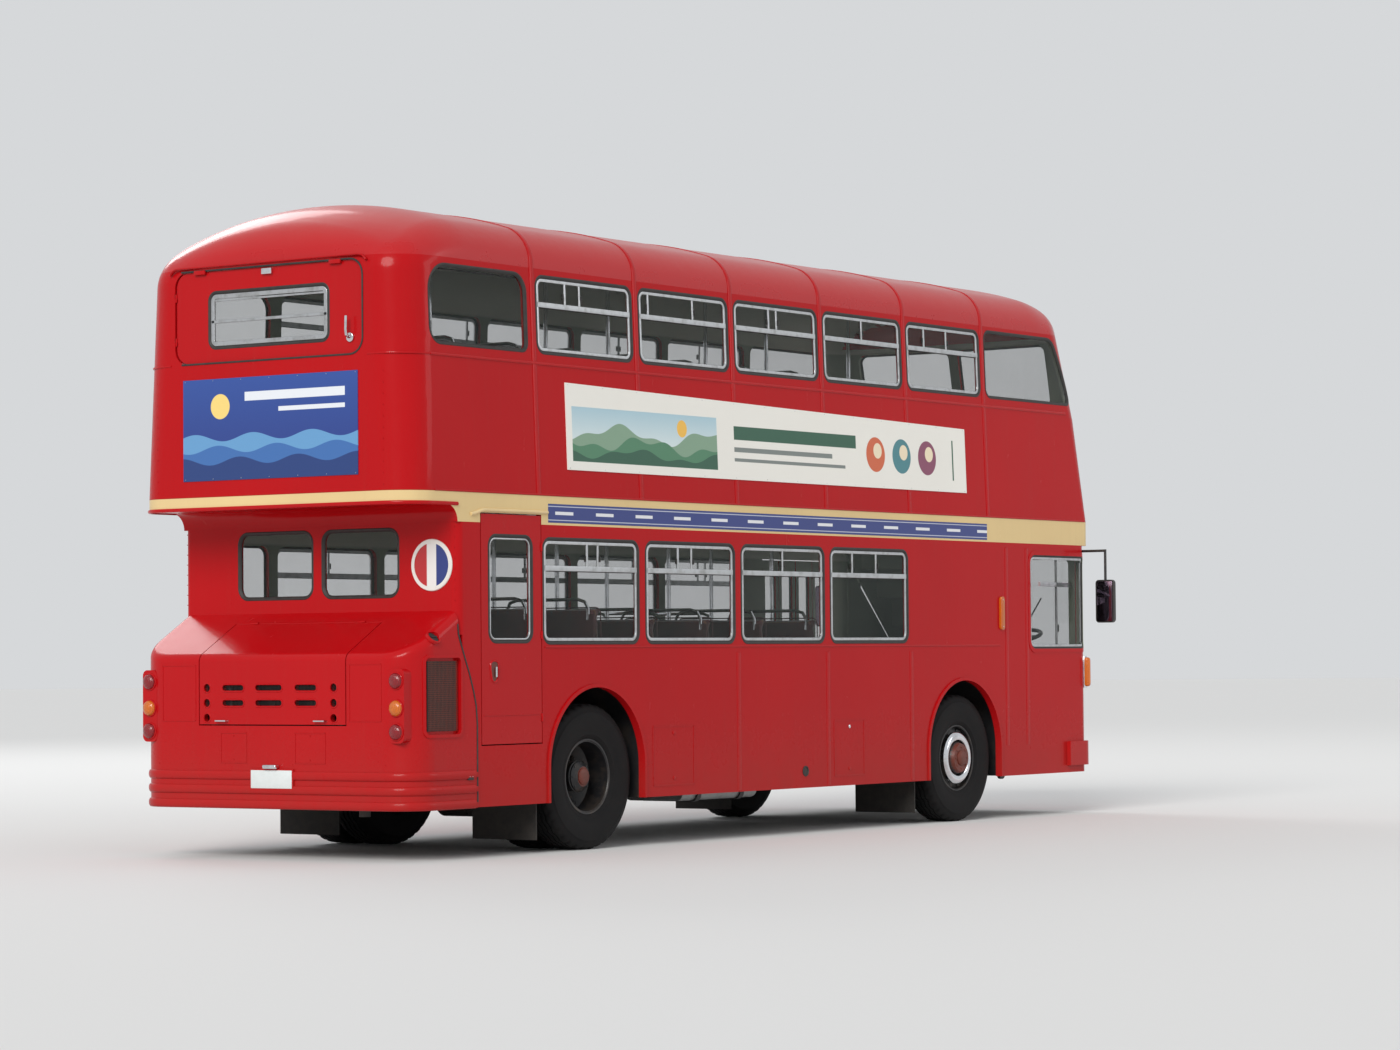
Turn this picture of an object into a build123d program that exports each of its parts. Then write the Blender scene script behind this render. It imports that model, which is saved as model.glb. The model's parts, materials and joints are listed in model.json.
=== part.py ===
from build123d import *
import os

# A double decker bus with its engine across the back and its entrance at the front left.
# Millimetres. +X is forward, +Y is the entrance side and +Z is up.
# The origin lies on the ground below the middle of the bus.

# Driving sizes along the bus
REAR_OVERHANG = 2045.0
WHEELBASE = 4953.0
FRONT_OVERHANG = 2146.0
LENGTH = REAR_OVERHANG + WHEELBASE + FRONT_OVERHANG
REAR_X = -LENGTH / 2
FRONT_X = LENGTH / 2
REAR_AXLE_X = REAR_X + REAR_OVERHANG
FRONT_AXLE_X = REAR_AXLE_X + WHEELBASE

# Driving sizes across and up
WIDTH = 2438.0
HALF_W = WIDTH / 2
HEIGHT = 4440.0
WALL = 45.0
SKIRT_Z = 342.0
BAND_LOW_Z = 2240.0
BAND_TOP_Z = 2440.0
ROOF_SPLIT_Z = HEIGHT - 440.0
ROOF_T = 35.0
FLOOR_T = 50.0
LOWER_FLOOR_Z = 680.0
UNDER_FLOOR_Z = LOWER_FLOOR_Z - FLOOR_T
UPPER_FLOOR_T = 60.0
UPPER_FLOOR_Z = BAND_TOP_Z + UPPER_FLOOR_T
FIT = 0.3
SHUT_GAP = 8.0
BEYOND = 100.0

# Hinge barrels
HINGE_R = 8.0
HINGE_H = 28.0
HINGE_CLEAR = 3.0
HINGE_PROUD = 2.0

# Body outline: the recessed lower rear, the set back lower front and the leaning upper walls
RECESS_X = REAR_X + 504.0
RECESS_CORNER_R = 60.0
LOWER_FRONT_X = FRONT_X - 72.0
LOWER_FRONT_R = 120.0
FRONT_BOW = 60.0
UPPER_REAR_R = 250.0
UPPER_REAR_TOP_R = 330.0
TUMBLE = 75.0
TUMBLE_TOP_Z = HEIGHT + 160.0
WAIST_Z = HEIGHT - 1140.0
# height, set back of the front, front corner radius, lean of the side, rear corner radius
UPPER_SECTIONS = (
    (BAND_TOP_Z, 0.0, 120.0, 0.0, UPPER_REAR_R),
    (WAIST_Z, 94.0, 215.0, 30.0, 282.0),
    (TUMBLE_TOP_Z, 352.0, 480.0, TUMBLE, UPPER_REAR_TOP_R),
)
CROWN_R = 3200.0
CROWN_HALF = 1500.0
REAR_DOME_X = REAR_X + 700.0
REAR_DOME_R = 1100.0
REAR_DOME_TURN = 60.0
FRONT_DOME_X = FRONT_X - 922.0
FRONT_DOME_R = 1500.0
FRONT_DOME_TURN = 50.0
EAVES_R = 280.0
OVERHANG_RISE = 115.0
SOFFIT_T = 30.0
REAR_SPLIT_X = REAR_X + UPPER_REAR_TOP_R
FRONT_UPPER_SPLIT_X = FRONT_X - 1750.0

# Wheels, arches and wheelhouses
TYRE_R = 505.0
TYRE_W = 275.0
RIM_R = 262.0
AXLE_Z = TYRE_R
FRONT_TRACK = 2060.0
HUB_Y = FRONT_TRACK / 2
TWIN_PITCH = 320.0
REAR_TRACK_OUTER = 2050.0
ARCH_HALF = 550.0
ARCH_CENTRE_Z = 575.0
ARCH_LIP = 26.0
ARCH_LIP_OUT = 12.0
HOUSE_T = 18.0
HOUSE_TOP_Z = 1140.0
REAR_HOUSE_HALF = 590.0
FRONT_HOUSE_HALF = 642.0
HOUSE_INNER_Y = 545.0
HOUSE_CORNER_R = 280.0
KINGPIN_Y = 800.0
KINGPIN_R = 22.0
SPINDLE_R = 40.0
RUN_FIT = 0.08
REAR_DROP = 165.0
REAR_CASE_Y = 485.0
RIM_PART = 0.72
EYE_HALF = 50.0
FORK_R = 55.0
FORK_HALF = 90.0
SPRING_HALF = 620.0
SPRING_T = 40.0
# axle, side, half length of the wheelhouse inside
HOUSES = (
    (REAR_AXLE_X, 1, REAR_HOUSE_HALF),
    (REAR_AXLE_X, -1, REAR_HOUSE_HALF),
    (FRONT_AXLE_X, 1, FRONT_HOUSE_HALF),
    (FRONT_AXLE_X, -1, FRONT_HOUSE_HALF),
)

# Chassis
RAIL_Y = 390.0
RAIL_W = 80.0
RAIL_H = 190.0
RAIL_LOW_Z = UNDER_FLOOR_Z - RAIL_H
OUTRIGGER_X = (REAR_AXLE_X + 1027.0, REAR_AXLE_X + 2327.0, REAR_AXLE_X + 3627.0)
OUTRIGGER_H = 90.0
CROSS_X = (REAR_AXLE_X - 1173.0,) + OUTRIGGER_X + (FRONT_AXLE_X + 874.0, FRONT_AXLE_X + 1774.0)
TOW_X = FRONT_X - 250.0
TOW_Z = 315.0
TOW_Y = RAIL_Y + 25.0
TOW_T = 30.0
TOW_R = 20.0
TOW_LUG_R = 45.0

# Engine bustle
BUSTLE_LOW_Z = 338.0
BUSTLE_X = REAR_X + 7.0
BUSTLE_R = 250.0
BUSTLE_SHOULDER_Z = 1360.0
BUSTLE_MEET_Z = 1650.0
BUSTLE_EDGE_R = 70.0
SEAM_X = REAR_X + 700.0
SEAM_STRAIGHT_Z = 960.0
SEAM_BEND_Z = 1150.0
SEAM_BEND_X = SEAM_X - 57.0
SEAM_TOP_Z = 1489.0
BONNET_RIGHT_Y = -669.0
BONNET_LEFT_Y = 635.0
BONNET_LOW_Z = 893.0
BONNET_TOP_X = RECESS_X - 115.0
RIB_OUT = 7.0
RIB_H = 34.0
RIB_Z = (360.0, 465.0, 560.0)
VENT_X = (REAR_X + 172.0, REAR_X + 522.0)
VENT_Z = (833.0, 1337.0)
VENT_R = 30.0
VENT_RIM = 22.0
VENT_PROUD = 8.0
VENT_DEEP = 24.0
FILLER_X = REAR_X + 262.0
FILLER_Z = 1470.0
FILLER_R = 42.0
FILLER_RIM = 12.0
LAMP_PAD_Y = (1025.0, 1155.0)
LAMP_PAD_Z = (780.0, 1270.0)
LAMP_Y = 1090.0
LAMP_R = 57.0
LAMP_Z = (855.0, 1010.0, 1190.0)
# height of a row of round holes, and of a row of slots
HOLE_ROWS = (945.0, 1045.0, 1147.0)
SLOT_ROWS = (1045.0, 1147.0)
HOLE_Y = 560.0
HOLE_R = 32.0
# middle and width of each slot
SLOTS = ((327.0, 200.0), (10.0, 245.0), (-315.0, 200.0))
SLOT_H = 50.0
BONNET_HINGES = (-520.0, 430.0)
ENGINE_Y = (-760.0, 700.0)
ENGINE_TOP_Z = 1290.0
SUMP_Z = 400.0

# Windows
BAY_PITCH = 1200.0
BAYS = 5
LOWER_WIN_Z0 = 1431.0
LOWER_WIN_Z1 = 2148.0
UPPER_WIN_Z1 = HEIGHT - 490.0
UPPER_WIN_Z0 = UPPER_WIN_Z1 - 530.0
WIN_R = 75.0
WIN_W = 1112.0
FIRST_BAY_X = REAR_AXLE_X - 609.0
LAST_BAY_END_X = FIRST_BAY_X + BAYS * BAY_PITCH
GLASS_T = 6.0
GLASS_IN = 14.0
WIN_DEEP = 190.0
REAR_QUARTER = (REAR_AXLE_X - 1433.0, FIRST_BAY_X - 94.0)
UPPER_QUARTER = (REAR_X + 272.0, FIRST_BAY_X - 114.0)
UPPER_QUARTER_RADII = (110.0, 60.0, 130.0, 180.0)
FRONT_QUARTER_LOW = (LAST_BAY_END_X, FRONT_X - 252.0)
FRONT_QUARTER_TOP_X = FRONT_X - 597.0
FRONT_QUARTER_RADII = (75.0, 75.0, 150.0, 75.0)
FRONT_UPPER_WIN_Y = (45.0, 930.0)
WINDSCREEN_Z0 = 1330.0
WINDSCREEN_Z1 = 2150.0
WINDSCREEN_HALF = 1060.0
WINDSCREEN_POST = 30.0
CAB_WIN = (FRONT_X - 1087.0, FRONT_X - 160.0)
CAB_WIN_Z0 = 1375.0
CAB_RIM = 34.0
CAB_RIM_OUT = 5.0
RECESS_WIN_Y = (45.0, 710.0)
RECESS_WIN_Z = (1750.0, 2205.0)
RECESS_WIN_R = 80.0
BLIND_HALF = 640.0
BLIND_Z = (2560.0, 2960.0)
BLIND_DEEP = 16.0

# Doors
SIDE_DOOR_X0 = REAR_AXLE_X - 1292.0
SIDE_DOOR_X1 = REAR_AXLE_X - 634.0
SIDE_DOOR_Z0 = 756.0
SIDE_DOOR_Z1 = 2300.0
SIDE_DOOR_WIN_Z = (1440.0, LOWER_WIN_Z1 + 10.0)
SIDE_DOOR_HINGES = (900.0, 1460.0, 2060.0)
REAR_DOOR_HALF = 825.0
REAR_DOOR_Z1 = HEIGHT - 465.0
REAR_DOOR_Z0 = REAR_DOOR_Z1 - 620.0
REAR_DOOR_R = 104.0
REAR_DOOR_SET = 11.0
REAR_DOOR_HINGES = (REAR_DOOR_Z0 + 125.0, REAR_DOOR_Z0 + 425.0)
REAR_DOOR_WIN_HALF = 530.0
REAR_DOOR_WIN_Z = (REAR_DOOR_Z0 + 95.0, REAR_DOOR_Z0 + 475.0)
REAR_DOOR_WIN_R = 60.0
ENTRANCE_X0 = FRONT_AXLE_X + FRONT_HOUSE_HALF + HOUSE_T + 15.0
LEAF_W = 248.0
LEAF_T = 30.0
LEAF_GAP = 8.0
LEAF_IN = 8.0
LEAF_FRAME = 42.0
LEAF_HINGES = (500.0, 1250.0, 2020.0)
LEAF_WIN_Z = (620.0, 2040.0)
MIDDLE_GAP = 16.0
ENTRANCE_X1 = ENTRANCE_X0 + 4 * LEAF_W + 3 * LEAF_GAP + MIDDLE_GAP
ENTRANCE_Z0 = 395.0
ENTRANCE_Z1 = 2150.0
CAB_X = FRONT_X - 1142.0

# Steps and stairs
STEP_Y = 740.0
STEP_Z = 380.0
MID_STEP_Y = 510.0
MID_STEP_Z = 530.0
STEP_T = 20.0
STAIR_X0 = CAB_X - 20.0
STAIR_RISERS = 8
TREAD = 225.0
STAIR_Y = -500.0
STAIR_T = 25.0
STAIR_WALL_GAP = 5.0
RISER = (UPPER_FLOOR_Z - LOWER_FLOOR_Z) / STAIR_RISERS
STAIR_TOP_X = STAIR_X0 - (STAIR_RISERS - 1) * TREAD

# Seats
CUSHION_D = 420.0
CUSHION_T = 110.0
CUSHION_Z = 330.0
BACK_T = 90.0
BACK_H = 560.0
BACK_RISE = 60.0
PAD_R = 40.0
SEAT_Y0 = 270.0
SEAT_Y1 = 1090.0
SEAT_PITCH = 700.0
LOWER_SEAT_X = [REAR_AXLE_X + 927.0 + SEAT_PITCH * i for i in range(5)]
UPPER_SEAT_X = [REAR_X + 822.0 + SEAT_PITCH * i for i in range(11)]
RIGHT_LOWER_SEATS = 4
RIGHT_UPPER_SEATS = 7
ARCH_SEAT_X = (REAR_AXLE_X - 470.0, REAR_AXLE_X + 250.0)
ARCH_SEAT_Z = 25.0
ARCH_BACK_H = 470.0
BENCH_X = RECESS_X + WALL + BACK_T + 30.0
BENCH_Y = (-540.0, 1100.0)

# Cab
DRIVER_X = FRONT_X - 900.0
DRIVER_Y = -700.0
WHEEL_X = DRIVER_X + 430.0
WHEEL_Z = LOWER_FLOOR_Z + 800.0
WHEEL_R = 230.0
WHEEL_GRIP_R = 15.0
COLUMN_LEAN = -14.0
CAB_WALL_Y = -330.0
DASH_X = FRONT_X - 300.0
DASH_Z = (1150.0, 1270.0)
DASH_LEFT_Y = 300.0

# Small parts
# part of a lamp's radius, how far behind its face
LENS = ((1.0, 5.0), (0.93, 3.0), (0.86, 5.0), (0.8, 3.4), (0.55, 1.4), (0.28, 0.3), (0.0, 0.0))
MIRROR_X = FRONT_X - 152.0
MIRROR_Y = 1410.0
MIRROR_ARM_Z = 2195.0
MIRROR_ARM_R = 11.0
MIRROR_Z = (1590.0, 1950.0)
HEADLAMP_Y = (700.0, 900.0)
HEADLAMP_Z = 800.0
HEADLAMP_R = 85.0
SIDE_LAMP_X = FRONT_AXLE_X + 587.0
SIDE_LAMP_Z = (1530.0, 1800.0)
SIDE_LAMP_W = 62.0
SIDE_LAMP_OUT = 18.0
INDICATOR_Y = 1037.0
INDICATOR_Z = (930.0, 1130.0)
BUMPER_T = 35.0
BUMPER_Z = (400.0, 600.0)
FLAP_Y = (600.0, 1150.0)
FLAP_Z = (90.0, 420.0)
FLAP_T = 12.0
POLE_R = 16.0
POLE_Y = 290.0
RAIL_BELOW = 90.0
TANK_X = (REAR_AXLE_X + 1177.0, REAR_AXLE_X + 2127.0)
TANK_Y = (-1110.0, -590.0)
TANK_Z = (290.0, 530.0)
TANK_R = 60.0
AIR_TANK_X = (REAR_AXLE_X + 2527.0, REAR_AXLE_X + 3427.0)
AIR_TANK_Y = (650.0, 930.0)
AIR_TANK_Z = 400.0
AIR_TANK_R = 110.0
SILENCER_X = (REAR_AXLE_X - 1420.0, REAR_AXLE_X - 820.0)
SILENCER_Y = -640.0
SILENCER_Z = 430.0
SILENCER_R = 90.0
PIPE_R = 38.0
PIPE_OFF = 48.0
FEED_X = REAR_X + 420.0
TAIL_X = REAR_X + 170.0
TAIL_LOW_Z = 290.0
STRAP_W = 50.0


def block(x0, x1, y0, y1, z0, z1):
    """A box between two corners."""
    return Pos((x0 + x1) / 2, (y0 + y1) / 2, (z0 + z1) / 2) * Box(x1 - x0, y1 - y0, z1 - z0)


def side_pane(x0, x1, z0, z1, r, y0, y1):
    """A rounded rectangle seen from the side, carried from y0 to y1."""
    face = Plane.XZ.offset(-y1) * Pos((x0 + x1) / 2, (z0 + z1) / 2) * RectangleRounded(x1 - x0, z1 - z0, r)
    return extrude(face, y1 - y0)


def end_pane(y0, y1, z0, z1, r, x0, x1):
    """A rounded rectangle seen from the front or back, carried from x0 to x1."""
    face = Plane.YZ.offset(x0) * Pos((y0 + y1) / 2, (z0 + z1) / 2) * RectangleRounded(y1 - y0, z1 - z0, r)
    return extrude(face, x1 - x0)


def side_prism(points, y0, y1):
    """A polygon of (x, z) points, carried from y0 to y1."""
    face = Plane.XZ.offset(-y1) * make_face(Polyline(*points, close=True))
    return extrude(face, y1 - y0)


def shaped_pane(points, radii, grow, y0, y1):
    """A polygon of (x, z) points with a radius for each corner, widened by grow, carried from y0 to y1."""
    face = make_face(Polyline(*points, close=True))
    for (x, z), radius in zip(points, radii):
        face = fillet(face.vertices().sort_by_distance((x, z, 0))[0], radius)
    if grow:
        face = offset(face, grow)
    return extrude(Plane.XZ.offset(-y1) * face, y1 - y0)


def rod_y(x, z, r, y0, y1):
    """A round bar along Y."""
    return Pos(x, (y0 + y1) / 2, z) * Rot(90, 0, 0) * Cylinder(r, abs(y1 - y0))


def rod_x(y, z, r, x0, x1):
    """A round bar along X."""
    return Pos((x0 + x1) / 2, y, z) * Rot(0, 90, 0) * Cylinder(r, abs(x1 - x0))


def rod_z(x, y, r, z0, z1):
    """An upright round bar."""
    return Pos(x, y, (z0 + z1) / 2) * Cylinder(r, z1 - z0)


def lathe_y(points, x, z):
    """A profile of (radius, y) points turned about an axle along Y."""
    face = Plane.YZ * make_face(Polyline(*[(y, r) for r, y in points], close=True))
    return Pos(x, 0, z) * revolve(face, Axis.Y)


def lamp(y, z, r, back_x, face_x):
    """A round lamp with a flat rim and a domed lens, from back_x to face_x."""
    turn = 1 if face_x > back_x else -1
    points = [(back_x, 0.0), (back_x, r)]
    for part, behind in LENS:
        points.append((face_x - turn * behind, part * r))
    face = make_face(Polyline(*points, close=True))
    return Pos(0, y, z) * revolve(face, Axis.X)


def hinge(carrier, mover, x, y, heights):
    """Stacked hinge barrels on an upright axis: the lower ones on carrier, the upper ones on mover."""
    wide = HINGE_R + HINGE_CLEAR
    for z in heights:
        middle = z + HINGE_H
        top = middle + HINGE_H
        carrier -= rod_z(x, y, wide, middle, top + HINGE_CLEAR)
        mover -= rod_z(x, y, wide, z - HINGE_CLEAR, middle + FIT)
        carrier += rod_z(x, y, HINGE_R, z, middle)
        mover += rod_z(x, y, HINGE_R, middle + FIT, top)
    return carrier, mover


def level_hinge(carrier, mover, x, z, places):
    """The same barrels on a level axis across the bus."""
    wide = HINGE_R + HINGE_CLEAR
    for y in places:
        middle = y + HINGE_H
        end = middle + HINGE_H
        carrier -= rod_y(x, z, wide, middle, end + HINGE_CLEAR)
        mover -= rod_y(x, z, wide, y - HINGE_CLEAR, middle + FIT)
        carrier += rod_y(x, z, HINGE_R, y, middle)
        mover += rod_y(x, z, HINGE_R, middle + FIT, end)
    return carrier, mover


def other_side(shape):
    """The mirror image across the centre line."""
    return mirror(shape, about=Plane.XZ)


def cut_all(shape, cuts):
    """A shape without all of the cuts."""
    for cut in cuts:
        shape -= cut
    return shape


def join(shapes):
    """Several solids as one."""
    whole = shapes[0]
    for shape in shapes[1:]:
        whole += shape
    return whole


def plan(z, rear_x, front_x, half_w, rear_r, front_r, bow):
    """The body's plan at one height: straight sides, round corners and a bowed front."""
    with BuildSketch(Plane.XY.offset(z)) as sketch:
        with BuildLine():
            Line((rear_x, -half_w), (front_x - bow, -half_w))
            ThreePointArc((front_x - bow, -half_w), (front_x, 0), (front_x - bow, half_w))
            Line((front_x - bow, half_w), (rear_x, half_w))
            Line((rear_x, half_w), (rear_x, -half_w))
        make_face()
        fillet(sketch.vertices().group_by(Axis.X)[0], rear_r)
        fillet(sketch.vertices().group_by(Axis.X)[-1], front_r)
    return sketch.sketch


def lower_form(inset, z0=SKIRT_Z, z1=BAND_LOW_Z):
    """The lower deck as one solid, drawn in by inset."""
    face = plan(z0, RECESS_X + inset, LOWER_FRONT_X - inset, HALF_W - inset,
                max(RECESS_CORNER_R - inset, 15.0), LOWER_FRONT_R - inset, FRONT_BOW)
    return extrude(face, z1 - z0)


def roof_form(inset):
    """What lies under the roof: a crowned barrel that turns down at both ends."""
    top = HEIGHT - inset
    radius = CROWN_R - inset
    edge_z = top - radius + (radius**2 - CROWN_HALF**2) ** 0.5

    def crown(low_z):
        with BuildSketch(Plane.YZ) as sketch:
            with BuildLine():
                ThreePointArc((-CROWN_HALF, edge_z), (0, top), (CROWN_HALF, edge_z))
                Line((CROWN_HALF, edge_z), (CROWN_HALF, low_z))
                Line((CROWN_HALF, low_z), (-CROWN_HALF, low_z))
                Line((-CROWN_HALF, low_z), (-CROWN_HALF, edge_z))
            make_face()
        return sketch.sketch

    under_z = BAND_LOW_Z - 200.0
    form = extrude(Pos(REAR_DOME_X, 0, 0) * crown(under_z), FRONT_DOME_X - REAR_DOME_X)
    # where the dome starts, its radius, how far it turns, which way
    domes = ((REAR_DOME_X, REAR_DOME_R, REAR_DOME_TURN, -1), (FRONT_DOME_X, FRONT_DOME_R, FRONT_DOME_TURN, 1))
    for x, dome_r, angle, way in domes:
        centre_z = top - dome_r + inset
        form += revolve(Pos(x, 0, 0) * crown(centre_z + 20.0), Axis((x, 0, centre_z), (0, way, 0)), angle)
    return form + block(REAR_X - 400, FRONT_X + 400, -CROWN_HALF, CROWN_HALF, under_z, ROOF_SPLIT_Z - 150)


def upper_form(inset):
    """The upper deck and the cream band as one solid with a round roof edge, drawn in by inset."""
    faces = []
    for z, back, front_r, lean, rear_r in UPPER_SECTIONS:
        faces.append(plan(z, REAR_X + inset, FRONT_X - back - inset, HALF_W - lean - inset,
                          rear_r - inset, front_r - inset, FRONT_BOW))
    form = loft(faces[:2], ruled=True) + loft(faces[1:], ruled=True)
    form += extrude(faces[0], BAND_LOW_Z - BAND_TOP_Z)
    form = form & roof_form(inset)
    rim = [e for e in form.edges() if e.center().Z > ROOF_SPLIT_Z + 20 and e.geom_type != GeomType.CIRCLE]
    return fillet(rim, EAVES_R - inset)


def overhang_air(grow):
    """The open space below the rear overhang, with a round corner up from the recess wall."""
    form = block(REAR_X - 30, RECESS_X + grow, -HALF_W - 20, HALF_W + 20, BAND_LOW_Z - 60,
                 BAND_LOW_Z + OVERHANG_RISE + grow)
    corner = form.edges().filter_by(Axis.Y).sort_by(lambda e: e.center().X + e.center().Z)[-1]
    return fillet(corner, OVERHANG_RISE + grow)


def seam_region():
    """What belongs to the engine bustle, seen from the side."""
    top = BUSTLE_MEET_Z + 90
    behind = REAR_X - 100
    with BuildSketch(Plane.XZ.offset(-HALF_W - 50)) as sketch:
        with BuildLine():
            Line((SEAM_X, 200), (SEAM_X, SEAM_STRAIGHT_Z))
            RadiusArc((SEAM_X, SEAM_STRAIGHT_Z), (SEAM_BEND_X, SEAM_BEND_Z), 520)
            Line((SEAM_BEND_X, SEAM_BEND_Z), (RECESS_X, SEAM_TOP_Z))
            Line((RECESS_X, SEAM_TOP_Z), (RECESS_X, top))
            Line((RECESS_X, top), (behind, top))
            Line((behind, top), (behind, 200))
            Line((behind, 200), (SEAM_X, 200))
        make_face()
    return extrude(sketch.sketch, 2 * HALF_W + 100)


def bustle_form(inset, edge_r=0.0):
    """The engine bustle as one solid: an upright back under a slope up to the recess wall."""
    run = RECESS_X - BUSTLE_X
    rise = BUSTLE_MEET_Z - BUSTLE_SHOULDER_Z
    drop = inset * ((run**2 + rise**2) ** 0.5) / run
    back_x = BUSTLE_X + inset
    shoulder_z = BUSTLE_SHOULDER_Z - drop + inset * rise / run
    far_x = SEAM_X + 200.0
    far_z = shoulder_z + (far_x - back_x) * rise / run
    low_z = BUSTLE_LOW_Z if inset <= 0 else BUSTLE_LOW_Z - 50
    profile = side_prism([(back_x, low_z), (back_x, shoulder_z), (far_x, far_z), (far_x, low_z)],
                         -HALF_W - 100, HALF_W + 100)
    face = plan(low_z, back_x, FRONT_X, HALF_W - inset, BUSTLE_R - inset, 50.0, FRONT_BOW)
    form = extrude(face, 2000.0) & profile
    if edge_r > 0:
        top = form.faces().filter_by(lambda f: f.normal_at().Z > 0.5).sort_by(Axis.Z)[-1]
        rim = [e for e in top.edges() if e.center().X < far_x - 20]
        form = fillet(rim, edge_r)
    return form


def arch_cut(x, side, half, y0, y1, low_z=200.0):
    """A wheel arch: a half round over straight sides."""
    top = rod_y(x, ARCH_CENTRE_Z, half, side * y0, side * y1)
    a, b = sorted((side * y0, side * y1))
    return top + block(x - half, x + half, a, b, low_z, ARCH_CENTRE_Z)


def arch_lip(x, side):
    """The raised pressing round a wheel arch."""
    ring = arch_cut(x, side, ARCH_HALF + ARCH_LIP, HALF_W - 1, HALF_W + ARCH_LIP_OUT, SKIRT_Z)
    ring -= arch_cut(x, side, ARCH_HALF, HALF_W - 20, HALF_W + 30)
    return ring - block(x - 700, x + 700, -2 * HALF_W, 2 * HALF_W, -200, SKIRT_Z)


def house(x, side, half, grow):
    """A wheelhouse as one solid: its inside at no growth and its outside at its wall's thickness."""
    wide = half + grow
    top = HOUSE_TOP_Z + grow - HOUSE_T
    a, b = sorted((side * (HOUSE_INNER_Y - grow), side * (HALF_W - WALL)))
    low = SKIRT_Z if grow else SKIRT_Z - 50
    form = side_pane(x - wide, x + wide, low - 600, top, HOUSE_CORNER_R + grow, a, b)
    return form & block(x - wide - 1, x + wide + 1, a - 1, b + 1, low, top + 1)


def bays(count):
    """The left and right edges of the windows in the first bays."""
    starts = [FIRST_BAY_X + i * BAY_PITCH for i in range(count)]
    return [(x, x + WIN_W) for x in starts]


def side_windows(spans, side, z0, z1, grow=0.0, deep=90.0):
    """A row of rounded window openings through one side wall."""
    y0, y1 = sorted((side * (HALF_W - deep), side * (HALF_W + 40)))
    return [side_pane(x0 - grow, x1 + grow, z0 - grow, z1 + grow, WIN_R + grow, y0, y1) for x0, x1 in spans]


def lower_windows(side, grow=0.0):
    """The side windows of the lower saloon: four on the right, and six on the left."""
    spans = bays(BAYS - 1) if side < 0 else bays(BAYS) + [REAR_QUARTER]
    return side_windows(spans, side, LOWER_WIN_Z0, LOWER_WIN_Z1, grow)


def upper_windows(side, grow=0.0):
    """The windows of the upper deck's bays."""
    return side_windows(bays(BAYS), side, UPPER_WIN_Z0, UPPER_WIN_Z1, grow, WIN_DEEP)


def rear_quarter_window(side, grow=0.0):
    """The rearmost side window of the upper deck, rounder towards the back."""
    y0, y1 = sorted((side * (HALF_W - WIN_DEEP), side * (HALF_W + 40)))
    x0, x1 = UPPER_QUARTER
    points = [(x0, UPPER_WIN_Z0), (x1, UPPER_WIN_Z0), (x1, UPPER_WIN_Z1), (x0, UPPER_WIN_Z1)]
    return [shaped_pane(points, UPPER_QUARTER_RADII, grow, y0, y1)]


def front_quarter_window(side, grow=0.0):
    """The foremost side window of the upper deck, cut off along the leaning front."""
    y0, y1 = sorted((side * (HALF_W - WIN_DEEP), side * (HALF_W + 40)))
    x0, x1 = FRONT_QUARTER_LOW
    top = UPPER_WIN_Z1 + 10
    points = [(x0, UPPER_WIN_Z0), (x1, UPPER_WIN_Z0), (FRONT_QUARTER_TOP_X, top), (x0, top)]
    return [shaped_pane(points, FRONT_QUARTER_RADII, grow, y0, y1)]


def paired_windows(inner_y, outer_y, z0, z1, r, x0, x1, grow):
    """Two window openings beside the centre line, through an end wall."""
    cuts = []
    for y0, y1 in ((-outer_y, -inner_y), (inner_y, outer_y)):
        cuts.append(end_pane(y0 - grow, y1 + grow, z0 - grow, z1 + grow, r + grow, x0, x1))
    return cuts


def front_upper_windows(grow=0.0):
    """The two front windows of the upper deck."""
    return paired_windows(*FRONT_UPPER_WIN_Y, UPPER_WIN_Z0, UPPER_WIN_Z1, WIN_R, FRONT_X - 700, FRONT_X, grow)


def windscreens(grow=0.0):
    """The two halves of the windscreen."""
    return paired_windows(WINDSCREEN_POST, WINDSCREEN_HALF, WINDSCREEN_Z0, WINDSCREEN_Z1, WIN_R,
                          FRONT_X - 350, FRONT_X + 50, grow)


def recess_windows(grow=0.0):
    """The two rear windows of the lower deck."""
    return paired_windows(*RECESS_WIN_Y, *RECESS_WIN_Z, RECESS_WIN_R, RECESS_X - 60, RECESS_X + 100, grow)


def cab_window(grow=0.0):
    """The cab's side window."""
    return side_windows([CAB_WIN], -1, CAB_WIN_Z0, LOWER_WIN_Z1, grow)


LOWER_SHELL = lower_form(0) - lower_form(WALL, SKIRT_Z - 10, BAND_LOW_Z + 10)
UPPER_OUT = upper_form(0)
UPPER_IN = upper_form(WALL)
ROOF_IN = upper_form(ROOF_T)
SEAM = seam_region()
FAR_Y = HALF_W + BEYOND


def side_door_hole():
    """The opening for the emergency door in the right side."""
    return block(SIDE_DOOR_X0 - SHUT_GAP, SIDE_DOOR_X1 + SHUT_GAP, -FAR_Y, -HALF_W + 90,
                 SIDE_DOOR_Z0 - SHUT_GAP, SIDE_DOOR_Z1 + SHUT_GAP)


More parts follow.
